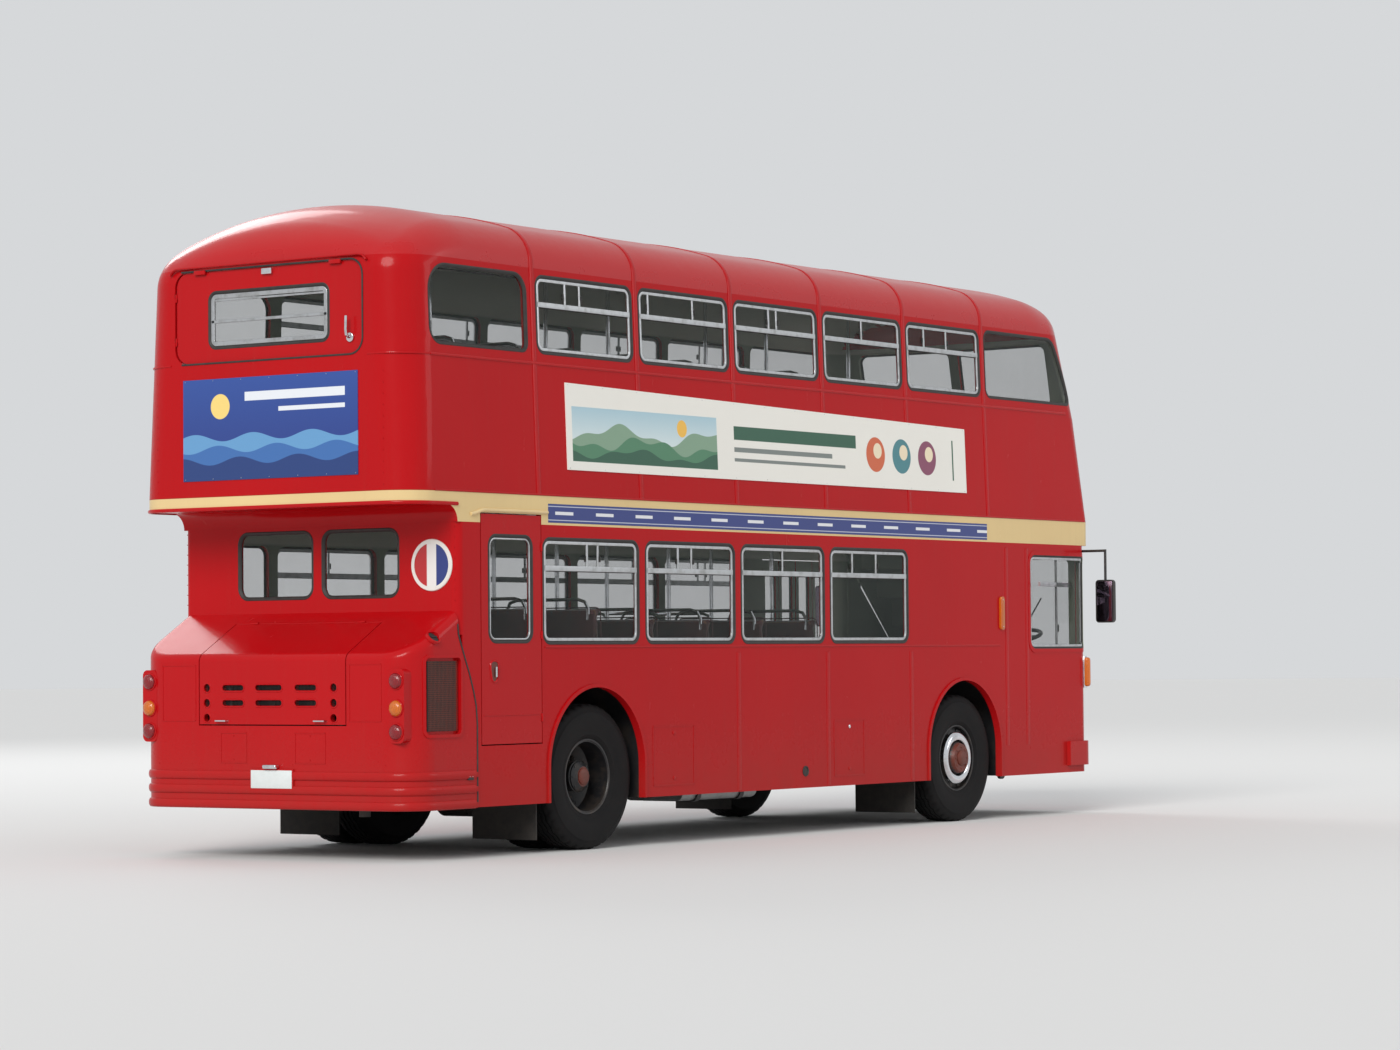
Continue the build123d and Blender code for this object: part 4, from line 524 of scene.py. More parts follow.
def make_paints(red, cream):
    """The body's paints: red with a cream band, plain red, the roof's red with a painted reflection
    of the sky on its top, and the inner panels.

    The band lies between two heights, on the sides, past x = 3 and over the overhang's edge.
    A dark seam runs above it.
    """
    made = Finish("red_and_cream", "red_and_cream_paint", coat_roughness=0.05, specular_ior_level=0.08)
    x, z = made.x, made.z
    across = made.coordinate(1)[2].absolute().over(0.55, 0.01)
    band = z.within(BAND_LOW + 0.001, BAND_TOP - 0.001, 0.0015)
    band = band * across.at_least(x.over(3.0, 0.01)).at_least(z.over(OVERHANG_Z + 0.016, 0.0015))
    seam = (z - BAND_TOP).absolute().over(0.0022, 0.001)
    base = made.blend(seam * 0.35 + 0.65, (70, 24, 20), made.blend(band, red, cream))
    weathered(made, base, made.noise(1.6, 2.0, 0.5, (1.0, 1.0, 0.7)), 0.006)

    made = Finish("red", "red_paint", coat_roughness=0.05, specular_ior_level=0.12)
    weathered(made, red, made.noise(2.2, 2.0), 0.004)

    made = Finish("roof", "roof_paint", coat_roughness=0.12, coat_weight=0.3, specular_ior_level=0.3)
    # The roof's top is painted paler toward pale pink: a painted reflection of the sky, patchy with noise
    top = made.z.over(4.25, 0.35)
    grime_and_sheen = made.noise(2.5, 5.0, 0.6)
    made.surface(made.blend(top * (grime_and_sheen * 0.5 + 0.1), red, (176, 92, 84)),
                 (top * 0.2 + grime_and_sheen * 0.12 + 0.22).limited(), made.noise(1.8, 2.0), 0.006)

    made = Finish("inner_panel", "inner_laminate")
    fleck = made.noise(140.0, 2.0)
    ceiling = made.z.over(3.96, 0.02).at_least(made.z.within(2.16, 2.43, 0.02))
    base = made.blend(ceiling, (146, 152, 134), (198, 196, 182))
    flecked = made.blend(fleck * 0.25, base, (112, 120, 104))
    made.surface(flecked, made.noise(12.0) * 0.15 + 0.42, fleck, 0.0004)


def make_plain(cream):
    """Finishes of one soft noise between two colours: cream paint, mirror glass, plate, enamel and blind."""
    # name, two colours, noise scale, detail and share, gloss scale and share, least roughness, constants
    table = (
        ("cream_paint", cream, (196, 168, 116), 5.0, 4.0, 0.35, 9.0, 0.15, 0.26,
         {"coat_weight": 0.4, "coat_roughness": 0.1}),
        ("mirror_glass", (112, 96, 112), (84, 70, 84), 30.0, 3.0, 0.2, 18.0, 0.04, 0.03, {"metallic": 1.0}),
        ("blank_plate", (222, 228, 228), (190, 196, 192), 20.0, 4.0, 0.5, 30.0, 0.1, 0.34,
         {"coat_weight": 0.3}),
        ("white_enamel", (230, 230, 224), (196, 192, 180), 16.0, 4.0, 0.3, 18.0, 0.1, 0.25,
         {"coat_weight": 0.5, "coat_roughness": 0.08}),
        ("blank_blind", (24, 24, 26), (48, 48, 50), 12.0, 4.0, 0.5, 40.0, 0.1, 0.5, {}),
    )
    for name, first, second, scale, detail, share, gloss, spread, least, constants in table:
        made = Finish(name, **constants)
        slats = (made.z + OUTSIDE).repeat(0.012) if name == "blank_blind" else None
        made.surface(made.blend(made.noise(scale, detail) * share, first, second),
                     made.noise(gloss) * spread + least, slats, 0.0006)


def make_metals():
    """Bright trim, chrome, black steel, iron, wheel paint and the axle's brown primer."""
    # name, colour, metallic, least roughness, grain scale, grain stretch, stain colour
    table = (
        ("aluminium", (196, 198, 200), 1.0, 0.28, 40.0, (0.2, 1.0, 1.0), (120, 118, 112)),
        ("chrome", (222, 224, 228), 1.0, 0.07, 22.0, None, (150, 146, 140)),
        ("black_steel", (34, 34, 36), 0.0, 0.42, 18.0, None, (74, 62, 50)),
        ("iron", (62, 60, 58), 0.3, 0.55, 24.0, None, (88, 62, 42)),
        ("wheel_black", (30, 30, 32), 0.0, 0.34, 26.0, None, (84, 72, 60)),
        ("hub_brown", (104, 44, 30), 0.0, 0.40, 30.0, None, (66, 52, 42)),
        ("galvanised", (148, 150, 150), 0.8, 0.40, 30.0, None, (110, 104, 96)),
    )
    for name, colour, metallic, rough, scale, stretch, stain in table:
        made = Finish(name, metallic=metallic)
        grain = made.noise(scale, 4.0, 0.6, stretch)
        wear = made.noise(scale * 0.3, 5.0, 0.7)
        made.surface(made.blend(wear.over(0.62, 0.3) * 0.6, colour, stain),
                     (grain * 0.16 + wear * 0.12 + rough - 0.08).limited(), grain, 0.0006)


def make_rubbers():
    """Window rubber, flaps, tyres and black plastic."""
    for name, colour, rough in (("seal", (26, 26, 28), 0.48), ("flap", (30, 29, 28), 0.7),
                                ("plastic", (28, 29, 32), 0.36)):
        made = Finish(name)
        dust = made.noise(16.0, 5.0, 0.65)
        made.surface(made.blend(dust.over(0.5, 0.5) * 0.30, colour, (92, 84, 76)), dust * 0.2 + rough,
                     made.noise(220.0, 2.0), 0.0003)
    made = Finish("tyre", "tyre_rubber", specular_ior_level=0.2)
    dust = made.noise(9.0, 5.0, 0.65)
    colour = made.blend((dust * 1.3 - 0.35).limited() * 0.25, (14, 14, 16), (64, 60, 56))
    made.surface(colour, dust * 0.2 + 0.62, made.noise(180.0), 0.0006)


def make_glass():
    """Window glass, lenses and pale lamp covers."""
    made = Finish("glass", "window_glass", specular_ior_level=0.6, ior=1.5)
    film = made.noise(2.4, 4.0, 0.6)
    rim = made.node("ShaderNodeLayerWeight", None, {"Blend": 0.5}, 1)
    tint = made.blend(film, (40, 50, 48), (66, 76, 72))
    made.surface(tint, film * 0.05 + 0.015, made.noise(1.1, 1.0), 0.002)
    made.feed(made.shader.inputs["Alpha"], (rim * rim * rim * 0.6 + film * 0.05 + 0.10).limited())

    # name, colour, deeper colour
    for name, colour, deep in (("red_lens", (150, 8, 20), (84, 2, 12)),
                               ("amber_lens", (226, 120, 14), (150, 60, 6)),
                               ("clear_lens", (226, 228, 226), (150, 154, 156)),
                               ("light_cover", (236, 234, 222), (206, 202, 186))):
        made = Finish(name, coat_weight=0.7, coat_roughness=0.03, specular_ior_level=0.3)
        ridge = ((made.y + 10.0).repeat(0.009) - 0.5).absolute() * 2.0
        cell = made.cells(160.0)
        shown = made.blend((ridge * 0.5 + cell * 0.6).limited(), deep, colour)
        made.surface(shown, made.noise(20.0) * 0.1 + 0.16, ridge + cell, 0.001)


def make_cloths(ground, edge):
    """Seat cloth, seat vinyl, floor lino and wood."""
    made = Finish("moquette", "seat_moquette", sheen_weight=0.4)
    x, y, z = made.x, made.y, made.z
    weave = ((x + OUTSIDE).repeat(0.004) - 0.5).absolute() + ((y + OUTSIDE).repeat(0.004) - 0.5).absolute()
    stripe = (y + OUTSIDE).repeat(0.082).within(0.30, 0.44, 0.03)
    check = (x + z * 0.7 + OUTSIDE).repeat(0.082).within(0.55, 0.67, 0.03)
    cloth = made.blend(check * 0.6, made.blend(stripe * 0.75, ground, (40, 46, 74)), (150, 112, 62))
    made.surface(made.blend(made.noise(90.0) * 0.5, cloth, (40, 18, 22)), made.noise(60.0) * 0.12 + 0.82,
                 weave + made.noise(320.0, 2.0), 0.0012)

    made = Finish("vinyl", "seat_vinyl")
    wear = made.noise(14.0, 4.0)
    made.surface(made.blend(wear.over(0.55, 0.4) * 0.4, edge, (104, 52, 50)), wear * 0.2 + 0.42,
                 made.cells(420.0), 0.0008)

    made = Finish("floor", "ribbed_floor")
    rib = ((made.y + OUTSIDE).repeat(0.036) - 0.5).absolute().over(0.18, 0.1)
    scuff = made.noise(6.0, 5.0, 0.7)
    made.surface(made.blend(scuff, (88, 84, 76), (122, 116, 104)), scuff * 0.2 + 0.55, rib, 0.003)

    made = Finish("wood", "floor_edging")
    grain = made.noise(14.0, 5.0, 0.6, (0.15, 3.0, 3.0))
    made.surface(made.blend(grain, (112, 74, 44), (160, 116, 72)), grain * 0.2 + 0.45, grain, 0.001)


def printed(made, base, wavy=True):
    """A print's colour with its slight gloss, and the slow bulge of the large panels."""
    made.surface(base, made.noise(8.0) * 0.12 + 0.28, made.noise(3.0) if wavy else None, 0.003)


def make_prints(blue, red):
    """The panels on the body: blocks and lines of plain colour with nothing written on them."""
    made = Finish("side_panel", "side_panel_print", coat_weight=0.2, coat_roughness=0.12)
    x, z = made.x, made.z
    base = made.blend(made.noise(2.0, 4.0) * 0.25, (238, 236, 228), (214, 210, 198))
    left = x.within(-2.78, 2.426, 0.003) * z.within(2.690, 3.07, 0.003) * (1.0 - x.over(-1.02, 0.003))
    base = made.blend(left, base, made.blend(z.over(2.95, 0.4), (222, 232, 230), (150, 190, 206)))
    base = made.blend(left * x.near(-1.46, z, 2.97, 0.062), base, (238, 186, 72))
    # far, middle and near hills: height, size of two waves, their starts, colour
    hills = ((2.90, 0.050, 0.022, 0.3, (126, 158, 132)), (2.83, 0.040, 0.026, 1.1, (70, 126, 92)),
             (2.76, 0.030, 0.016, 2.3, (30, 86, 62)))
    for height, big, small, begin, colour in hills:
        line = x.wave(1.1, begin) * big + x.wave(0.43, begin * 2) * small + height
        base = made.blend(left * (1.0 - (z - line).over(0.0, 0.003)), base, colour)
    # low and high x, low and high z, colour
    bars = ((-0.80, 0.86, 2.92, 3.02, (30, 86, 62)), (-0.80, 0.52, 2.83, 2.865, (120, 128, 124)),
            (-0.80, 0.70, 2.76, 2.785, (120, 128, 124)), (2.28, 2.30, 2.72, 3.04, (30, 86, 62)))
    for x0, x1, z0, z1, colour in bars:
        base = made.blend(x.within(x0, x1, 0.002) * z.within(z0, z1, 0.002), base, colour)
    for at, colour in ((1.14, (206, 96, 52)), (1.52, (64, 128, 136)), (1.90, (132, 62, 92))):
        base = made.blend(x.near(at, z, 2.885, 0.135), base, colour)
        base = made.blend(x.near(at + 0.03, z, 2.915, 0.060), base, (238, 222, 190))
    printed(made, base)

    made = Finish("blue_strip", "blue_strip_print", coat_weight=0.3, coat_roughness=0.12)
    z = made.z
    dash = (made.x + OUTSIDE).repeat(0.47).within(0.18, 0.62, 0.01) * z.within(2.312, 2.334, 0.002)
    line = z.within(2.366, 2.372, 0.001).at_least(z.within(2.272, 2.278, 0.001))
    printed(made, made.blend(dash, made.blend(line * 0.8, blue, (210, 214, 224)), (226, 228, 232)), False)

    made = Finish("rear_panel", "rear_panel_print", coat_weight=0.2, coat_roughness=0.12)
    y, z = made.y, made.z
    base = made.blend(z.over(2.90, 0.7), blue, (40, 74, 150))
    base = made.blend(y.near(0.42, z, 3.05, 0.085), base, (236, 206, 120))
    # three rows of waves: height, start, colour
    for height, begin, colour in ((2.84, 0.0, (96, 150, 196)), (2.76, 0.21, (56, 104, 168)),
                                  (2.68, 0.40, (26, 56, 116))):
        line = y.wave(0.52, begin) * 0.026 + height
        base = made.blend(1.0 - (z - line).over(0.0, 0.003), base, colour)
    for y0, y1, z0, z1 in ((-0.68, 0.20, 3.08, 3.14), (-0.68, -0.10, 3.00, 3.03)):
        base = made.blend(y.within(y0, y1, 0.002) * z.within(z0, z1, 0.002), base, (222, 226, 232))
    printed(made, base)

    made = Finish("round_sign", "round_sign_enamel", coat_weight=0.6, coat_roughness=0.06)
    base = made.blend(made.y.over(-1.04, 0.002), blue, (228, 228, 224))
    made.surface(made.blend(made.y.over(-0.96, 0.002), base, red), made.noise(18.0) * 0.1 + 0.2)


def make_all_finishes(look):
    """Every finish, by name, for the operators that follow."""
    FINISH.clear()
    red, cream, blue, cloth, vinyl = [tuple(getattr(look, name)) for name in COLOURS]
    make_paints(red, cream)
    make_plain(cream)
    make_metals()
    make_rubbers()
    make_glass()
    make_cloths(cloth, vinyl)
    make_prints(blue, red)


def pick_wall(middles, normals):
    """The lining: faces of the side walls and of the end walls that look to the middle of the bus."""
    inward = np.sign(middles) * normals < -0.4
    return (inward[:, 1] & (np.abs(middles[:, 1]) > 0.9)) | (inward[:, 0] & (np.abs(middles[:, 0]) > 3.9))


def pick_roof(middles, normals):
    """The ceiling: faces of the roof whose normal points to the middle of the upper deck."""
    toward = np.stack([np.zeros(len(middles)), -middles[:, 1], 3.45 - middles[:, 2]], axis=1)
    return ((unit(toward) * normals).sum(axis=1) > 0.35) & (np.abs(normals[:, 0]) <= 0.7)


def paint_body():
    """The body's own solids with their paint and lining."""
    for node in ("side_lower_right", "side_lower_left", "rear_lower", "side_upper_right", "side_upper_left",
                 "rear_upper", "front_upper", "front_lower"):
        dress(node, "red_paint", "red_and_cream", "inner_panel", pick=pick_wall)
    dress("roof", "roof_paint", "roof", "inner_panel", pick=pick_roof)
    dress("engine_bustle", "red_paint", "red")
    dress("bonnet", "red_paint", "red")
    dress("wheelhouses", "steel_black", "black_steel")


def joint_strips():
    """Strips over the joints of the upper panels, up over the roof and down between the windows."""
    form = Form()
    points, normals = roof_arch(BAND_TOP + 0.004)
    section = [(-0.022, -0.002), (-0.022, 0.00315), (-0.018, 0.0045)]
    section += [(-across, height) for across, height in section[::-1]]
    for x in PILLARS:
        form.sweep(np.insert(points, 0, x, axis=1), np.insert(normals, 0, 0.0, axis=1), section)
    form.build("joint_strips", "red_paint", "red")


def wall_line(x0, z0, x1, z1, side, count):
    """Points in a straight line on a side wall, and the wall's normals there."""
    return wall_points(np.linspace(x0, x1, count), np.linspace(z0, z1, count), side)


def rivet_rows(form, lines, side, spacing, proud=0.0, r=0.0045):
    """Rivets as low domes along straight lines on a side wall: each line is x0, z0, x1, z1."""
    for x0, z0, x1, z1 in lines:
        count = max(2, int(round(np.hypot(x1 - x0, z1 - z0) / spacing)) + 1)
        points = wall_line(x0, z0, x1, z1, side, count)[0]
        form.domes(points + np.array([0, side * proud, 0]), (0, side, 0), r)


def side_rivets():
    """The joints' strips of the lower panels, and the rivets of all the side panels."""
    form = Form()
    last = 2.98
    joints = [x for x in PILLARS[1:]
              if x < last and abs(x - FRONT_AXLE_X) > 0.62 and abs(x - REAR_AXLE_X) > 0.60]
    for side in (-1, 1):
        high = [(x + dx, BAND_TOP + 0.03, x + dx, 3.36) for x in PILLARS for dx in (-0.014, 0.014)]
        rivet_rows(form, high, side, 0.075, 0.0045)
        low = [(x + dx, SKIRT_Z + 0.04, x + dx, 1.36) for x in joints for dx in (-0.012, 0.012)]
        cover = [(x, SKIRT_Z + 0.01, 1.36) for x in joints]
        if side < 0:
            low += [(x, 0.62, x, 2.20) for x in (3.10, 3.43)]
            cover += [(x, 0.59, 2.20) for x in (3.10, 3.43)]
        for x, z0, z1 in cover:
            form.strip(*wall_line(x, z0, x, z1, side, 12), 0.048, -0.001, 0.0022, 0.001)
        rivet_rows(form, low, side, 0.07, 0.0022)
        belt = [(-3.10, BAND_LOW - 0.012, last, BAND_LOW - 0.012), (-3.10, 1.392, last, 1.392)]
        rail = [(-3.95, 3.37, 3.95, 3.37), (-3.95, BAND_TOP + 0.02, 4.40, BAND_TOP + 0.02)]
        rivet_rows(form, belt + rail, side, 0.10, 0.0, 0.004)
    form.build("side_rivets", "red_paint", "red")


def bead(half, foot, edge, crown, top):
    """A bead's section: half its width, its foot's and edges' heights, half its crown's width, its top."""
    flat = [(-crown, top), (crown, top)] if crown else [(0.0, top)]
    return [(-half, foot), (-half, edge)] + flat + [(half, edge), (half, foot)]


def side_mouldings():
    """Thin beads along the sides: over the cream band, under the roof's rain gutter and at the waist."""
    form = Form()
    thin = bead(0.006, -0.002, 0.004, 0.0, 0.006)
    for side in (-1, 1):
        for z, x0, x1, section in ((BAND_TOP + 0.006, -4.31, 4.40, thin),
                                   (3.345, -4.31, 4.16, bead(0.009, -0.002, 0.004, 0.004, 0.008)),
                                   (1.406, -3.12 if side < 0 else -3.95, 2.98, thin)):
            form.sweep(*wall_line(x0, z, x1, z, side, 60), section)
    form.build("side_mouldings", "red_paint", "red", "cream_paint")


def door_gutter():
    """The cream rain beads: over the side door, drooping at its rear end, and over the entrance."""
    form = Form()
    x = np.linspace(-3.93, -3.087, 40)
    points, out = wall_points(x, 2.325 - 0.03 * (1.0 - smooth(x, -3.93, -3.78)), -1)
    form.sweep(points, out, bead(0.012, -0.002, 0.008, 0.004, 0.016))
    form.sweep(*wall_line(3.06, 2.195, 4.17, 2.195, 1, 40),
               [(-0.010, -0.002), (-0.010, 0.010), (0.010, 0.014), (0.010, -0.002)])
    form.build("door_gutters", "red_paint", "cream_paint")


def sheet_on_wall(form, x0, x1, z0, z1, side, proud, rear_rise=0.0):
    """A thin sheet on a side wall between two x and two z values, with its rear end taller by rear_rise."""
    x, share = np.meshgrid(np.linspace(x0, x1, 40), np.linspace(0, 1, 6))
    z = z0 + share * (z1 - z0 + rear_rise * (x1 - x) / (x1 - x0))
    form.shell(*wall_points(x, z, side), proud, 0.001)


def side_sheets():
    """The white printed panel on each upper side, with its screws."""
    form = Form()
    x0, x1, z0, z1, rise = -2.844, 2.49, 2.627, 3.14, 0.09
    x = np.linspace(x0 + 0.03, x1 - 0.03, 14)
    for side in (-1, 1):
        sheet_on_wall(form, x0, x1, z0, z1, side, 0.0062, rise)
        for z in (np.full(14, z0 + 0.012), z1 - 0.012 + rise * (x1 - x) / (x1 - x0)):
            places, out = wall_points(x, z, side)
            form.domes(places + out * 0.0062, (0, side, 0), 0.0045, mark=1)
    form.build("side_panels", "red_paint", "side_panel", "aluminium")


def band_strip():
    """The blue strip on the cream band of the right side."""
    form = Form()
    sheet_on_wall(form, -3.075, 2.799, 2.257, 2.386, -1, 0.0012)
    form.build("band_strip", "red_paint", "blue_strip")


def side_small_parts():
    """Small fittings of the sides: the raised edges and catches of two flaps, and the drain hole, a flat
    black disc of painted shade in a black rim.
    """
    form = Form()
    edge = [(-0.005, -0.001), (-0.005, 0.003), (0.005, 0.003), (0.005, -0.001)]
    z0, z1 = 0.42, 0.84
    for side in (-1, 1):
        for x0, x1 in ((-1.86, -1.36), (0.50, 0.92)):
            corners = [(x0, z0), (x1, z0), (x1, z1), (x0, z1)]
            for a, b in zip(corners, corners[1:] + corners[:1]):
                form.sweep(*wall_line(*a, *b, side, 6), edge)
            for z in (z0 + 0.05, z1 - 0.05):
                point, out = wall_points((x0 + x1) / 2, z, side)
                form.lathe([(0.014, -0.001), (0.014, 0.004), (0.010, 0.006), (0.0, 0.006)], point, out, 14,
                           1 if x0 > 0 and z > 0.6 else 0)
        # The drain hole's flat black middle is painted shade for the dark inside of the hole
        point, out = wall_points(0.097, 0.467, side)
        form.lathe([(0.040, -0.001), (0.040, 0.005), (0.034, 0.006), (0.032, 0.001), (0.0, 0.001)],
                   point, out, 20, 2)
    form.build("side_small_parts", "red_paint", "red", "chrome", "seal")


def panes_of(node):
    """Each pane of a glass node: its outer face's edge in order, its outward direction and its own axes.

    Points joined by a face take the lowest number among them until nothing changes, which labels the panes.
    """
    bm = bmesh.new()
    bm.from_mesh(NODES[node].data)
    bmesh.ops.remove_doubles(bm, verts=bm.verts, dist=0.0001)
    points = np.array([v.co[:] for v in bm.verts])
    faces = [[v.index for v in f.verts] for f in bm.faces]
    normals = np.array([f.normal[:] for f in bm.faces])
    bm.free()
    edges = np.array([(f[i], f[(i + 1) % len(f)]) for f in faces for i in range(len(f))])
    label = np.arange(len(points))
    while True:
        low = np.minimum(label[edges[:, 0]], label[edges[:, 1]])
        new = label.copy()
        np.minimum.at(new, edges[:, 0], low)
        np.minimum.at(new, edges[:, 1], low)
        new = new[new]
        if np.array_equal(new, label):
            break
        label = new
    first = np.array([f[0] for f in faces])
    panes = []
    for key in np.unique(label):
        own = points[label == key]
        centre = (own.min(axis=0) + own.max(axis=0)) / 2
        size = own.max(axis=0) - own.min(axis=0)
        at_end = node == "rear_door_glass" or (abs(centre[0]) > 4.0 and size[1] > 0.3)
        axis = 0 if at_end or size[0] < size[1] else 1
        outward = np.zeros(3)
        outward[axis] = np.sign(centre[axis])
        mine = np.nonzero((label[first] == key) & (normals @ outward > 0.7))[0]
        used = {}
        for i in mine:
            face = faces[i]
            for a, b in zip(face, face[1:] + face[:1]):
                pair = (min(a, b), max(a, b))
                used[pair] = used.get(pair, 0) + 1
        rim = sorted({i for pair, n in used.items() if n == 1 for i in pair})
        ring = points[rim]
        out = unit(normals[mine].mean(axis=0))
        middle = (ring.min(axis=0) + ring.max(axis=0)) / 2
        up = unit(np.array([0.0, 0.0, 1.0]) - out[2] * out)
        right = np.cross(up, out)
        flat = np.stack([(ring - middle) @ right, (ring - middle) @ up], axis=1)
        order = np.argsort(np.arctan2(flat[:, 1], flat[:, 0]))
        ring, flat = ring[order], flat[order]
        apart = np.linalg.norm(ring - np.roll(ring, 1, axis=0), axis=1) > 0.001
        panes.append({"ring": ring[apart], "flat": flat[apart], "out": out, "centre": middle, "right": right,
                      "up": up})
    return panes


def even_ring(ring, spacing=0.03):
    """A closed ring with long runs split, so that a section swept along it keeps its width at corners."""
    found = []
    for a, b in zip(ring, np.roll(ring, -1, axis=0)):
        length = np.linalg.norm(b - a)
        found.append(a[None])
        if length > 3 * spacing:
            t = np.array([spacing / 2, length - spacing / 2])[:, None] / length
            found.append(a + t * (b - a))
    return np.concatenate(found)


def rim_normals(pane, ring):
    """The wall's outward direction at each point of a ring: bowed at the front and the pane's elsewhere."""
    if pane["out"][0] > 0.8 and ring[:, 0].min() > 3.0:
        return front_points(ring[:, 1], ring[:, 2])[1]
    return np.broadcast_to(pane["out"], ring.shape)


def outer_loop(pane):
    """The ring of a pane, turned so that across points away from its middle."""
    ring = even_ring(pane["ring"])
    out = rim_normals(pane, ring)
    ahead = np.roll(ring, -1, axis=0) - np.roll(ring, 1, axis=0)
    away = np.cross(unit(ahead), out)
    if (away * (ring - pane["centre"])).sum() < 0:
        ring, out = ring[::-1], out[::-1]
    return ring, out


def seal(form, pane, inner=0.016, cover=0.010):
    """The black rubber round a pane: over the glass's edge, up beside the wall and over the wall's edge."""
    ring, out = outer_loop(pane)
    section = [(-inner, -0.001), (-inner, 0.004), (-inner + 0.004, 0.008), (-0.003, 0.0165), (0.002, 0.0180),
               (cover - 0.003, 0.0172), (cover, 0.0145), (cover, 0.012), (0.0, 0.002)]
    form.sweep(ring, out, section, True)


def bright_ring(form, pane, mark=0, start=0.015, width=0.022, top=0.010):
    """The bright frame of a sliding window, inside its rubber."""
    ring, out = outer_loop(pane)
    form.strip(ring, out, (-start - width, -start), -0.001, top, closed=True, mark=mark)


def pane_bar(form, pane, a, b, width, proud, mark=0):
    """A straight bar over a pane between two points in its own right and up distances."""
    flat = np.linspace(a, b, 4)
    path = pane["centre"] + flat[:, :1] * pane["right"] + flat[:, 1:] * pane["up"]
    form.strip(path, pane["out"], width, -0.001, proud, 0.002, mark=mark)


def is_slider(pane):
    """Whether a pane is one of the wide side windows with sliding upper parts."""
    flat = pane["flat"]
    wide = flat[:, 0].max() - flat[:, 0].min() > 1.0
    return abs(pane["out"][1]) > 0.8 and wide and FIRST_BAY < pane["centre"][0] < FIRST_BAY + 5 * BAY_PITCH


# How far open the two sliding parts of each bay stand, by bay from the rear, upper deck and lower deck
UPPER_SLIDES = ((0.30, 0.46), (0.10, 0.62), (0.42, 0.52), (0.50, 0.50), (0.24, 0.56))
LOWER_SLIDES = ((0.46, 0.58), (0.36, 0.52), (0.50, 0.50), (0.28, 0.60), (0.44, 0.54))


def inside_of(pane, dx):
    """A pane's low and high distances to the right and up, set in by dx and by the rubber's cover."""
    dz = 0.020
    low, high = pane["flat"].min(axis=0), pane["flat"].max(axis=0)
    return low[0] + dx, high[0] - dx, low[1] + dz, high[1] - dz


def slider_bars(form, rubber, pane):
    """A sliding window's cross bar, its two sliding frames above the bar and their finger grips."""
    x0, x1, z0, z1 = inside_of(pane, 0.020)
    upper = pane["centre"][2] > 3
    bar = z0 + (z1 - z0) * (0.64 if upper else 0.73)
    pane_bar(form, pane, (x0, bar), (x1, bar), 0.036, 0.014)
    pane_bar(rubber, pane, (x0, bar - 0.021), (x1, bar - 0.021), 0.005, 0.009)
    bay = int(np.clip(round((pane["centre"][0] - FIRST_BAY - WIN_W / 2) / BAY_PITCH), 0, 4))
    for i, share in enumerate((UPPER_SLIDES if upper else LOWER_SLIDES)[bay]):
        at = x0 + (x1 - x0) * share
        pane_bar(form, pane, (at, bar + 0.012), (at, z1 - 0.012), 0.020, 0.009 - 0.003 * i)
        grip = at + 0.022 * (2 * i - 1)
        pane_bar(rubber, pane, (grip, bar + 0.05), (grip, bar + 0.09), 0.008, 0.012)


def cab_bars(metal, rubber, pane):
    """The driver's signalling window: one upright bar and one cross bar in front of it."""
    x0, x1, z0, z1 = inside_of(pane, 0.050)
    cross = z0 + (z1 - z0) * 0.70
    pane_bar(metal, pane, (0.02, z0), (0.02, z1), 0.026, 0.012)
    pane_bar(metal, pane, (x0, cross), (x1, cross), 0.036, 0.015)
    pane_bar(rubber, pane, (0.06, z0 + 0.12), (0.06, z0 + 0.18), 0.010, 0.014)


def window_frames():
    """Rubbers and bright frames of every fixed pane of the body, as one rubber piece and one metal piece."""
    rubber, metal = Form(), Form()
    for pane in panes_of("body_glass"):
        seal(rubber, pane)
        if is_slider(pane):
            bright_ring(metal, pane)
            slider_bars(metal, rubber, pane)
        elif pane["out"][1] < -0.8 and pane["centre"][0] > 3.3 and pane["centre"][2] < 3:
            bright_ring(metal, pane, width=0.020)
            cab_bars(metal, rubber, pane)
    rubber.build("window_rubbers", "flap_rubber", "seal")
    metal.build("window_frames", "bright_metal", "aluminium")


def door_frames():
    """The rubbers and bars of the doors' own panes, each riding on its door."""
    form = Form()
    for pane in panes_of("side_door_glass"):
        seal(form, pane)
        bright_ring(form, pane, mark=1, width=0.012)
    form.build("side_door_rubber", "flap_rubber", "seal", "aluminium", body="side_door")
    form = Form()
    for pane in panes_of("rear_door_glass"):
        seal(form, pane)
        bright_ring(form, pane, mark=1, start=0.014, width=0.030, top=0.012)
        x0, x1, z0, z1 = inside_of(pane, 0.020)
        pane_bar(form, pane, (x0, z0 + 0.16), (x1, z0 + 0.16), 0.020, 0.012, mark=1)
        pane_bar(form, pane, (x0, z1 - 0.035), (x1, z1 - 0.035), 0.014, 0.009, mark=1)
    form.build("rear_door_window", "flap_rubber", "seal", "aluminium", body="rear_door")
    for i in range(1, 5):
        form = Form()
        for pane in panes_of("leaf_glass_%d" % i):
            seal(form, pane, inner=0.010, cover=0.006)
        form.build("leaf_rubber_%d" % i, "flap_rubber", "seal", body="leaf_%d" % i)


def glaze():
    """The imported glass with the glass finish."""
    leaves = ["leaf_glass_%d" % i for i in range(1, 5)]
    for node in ["body_glass", "side_door_glass", "rear_door_glass"] + leaves:
        dress(node, "window_glass", "glass")


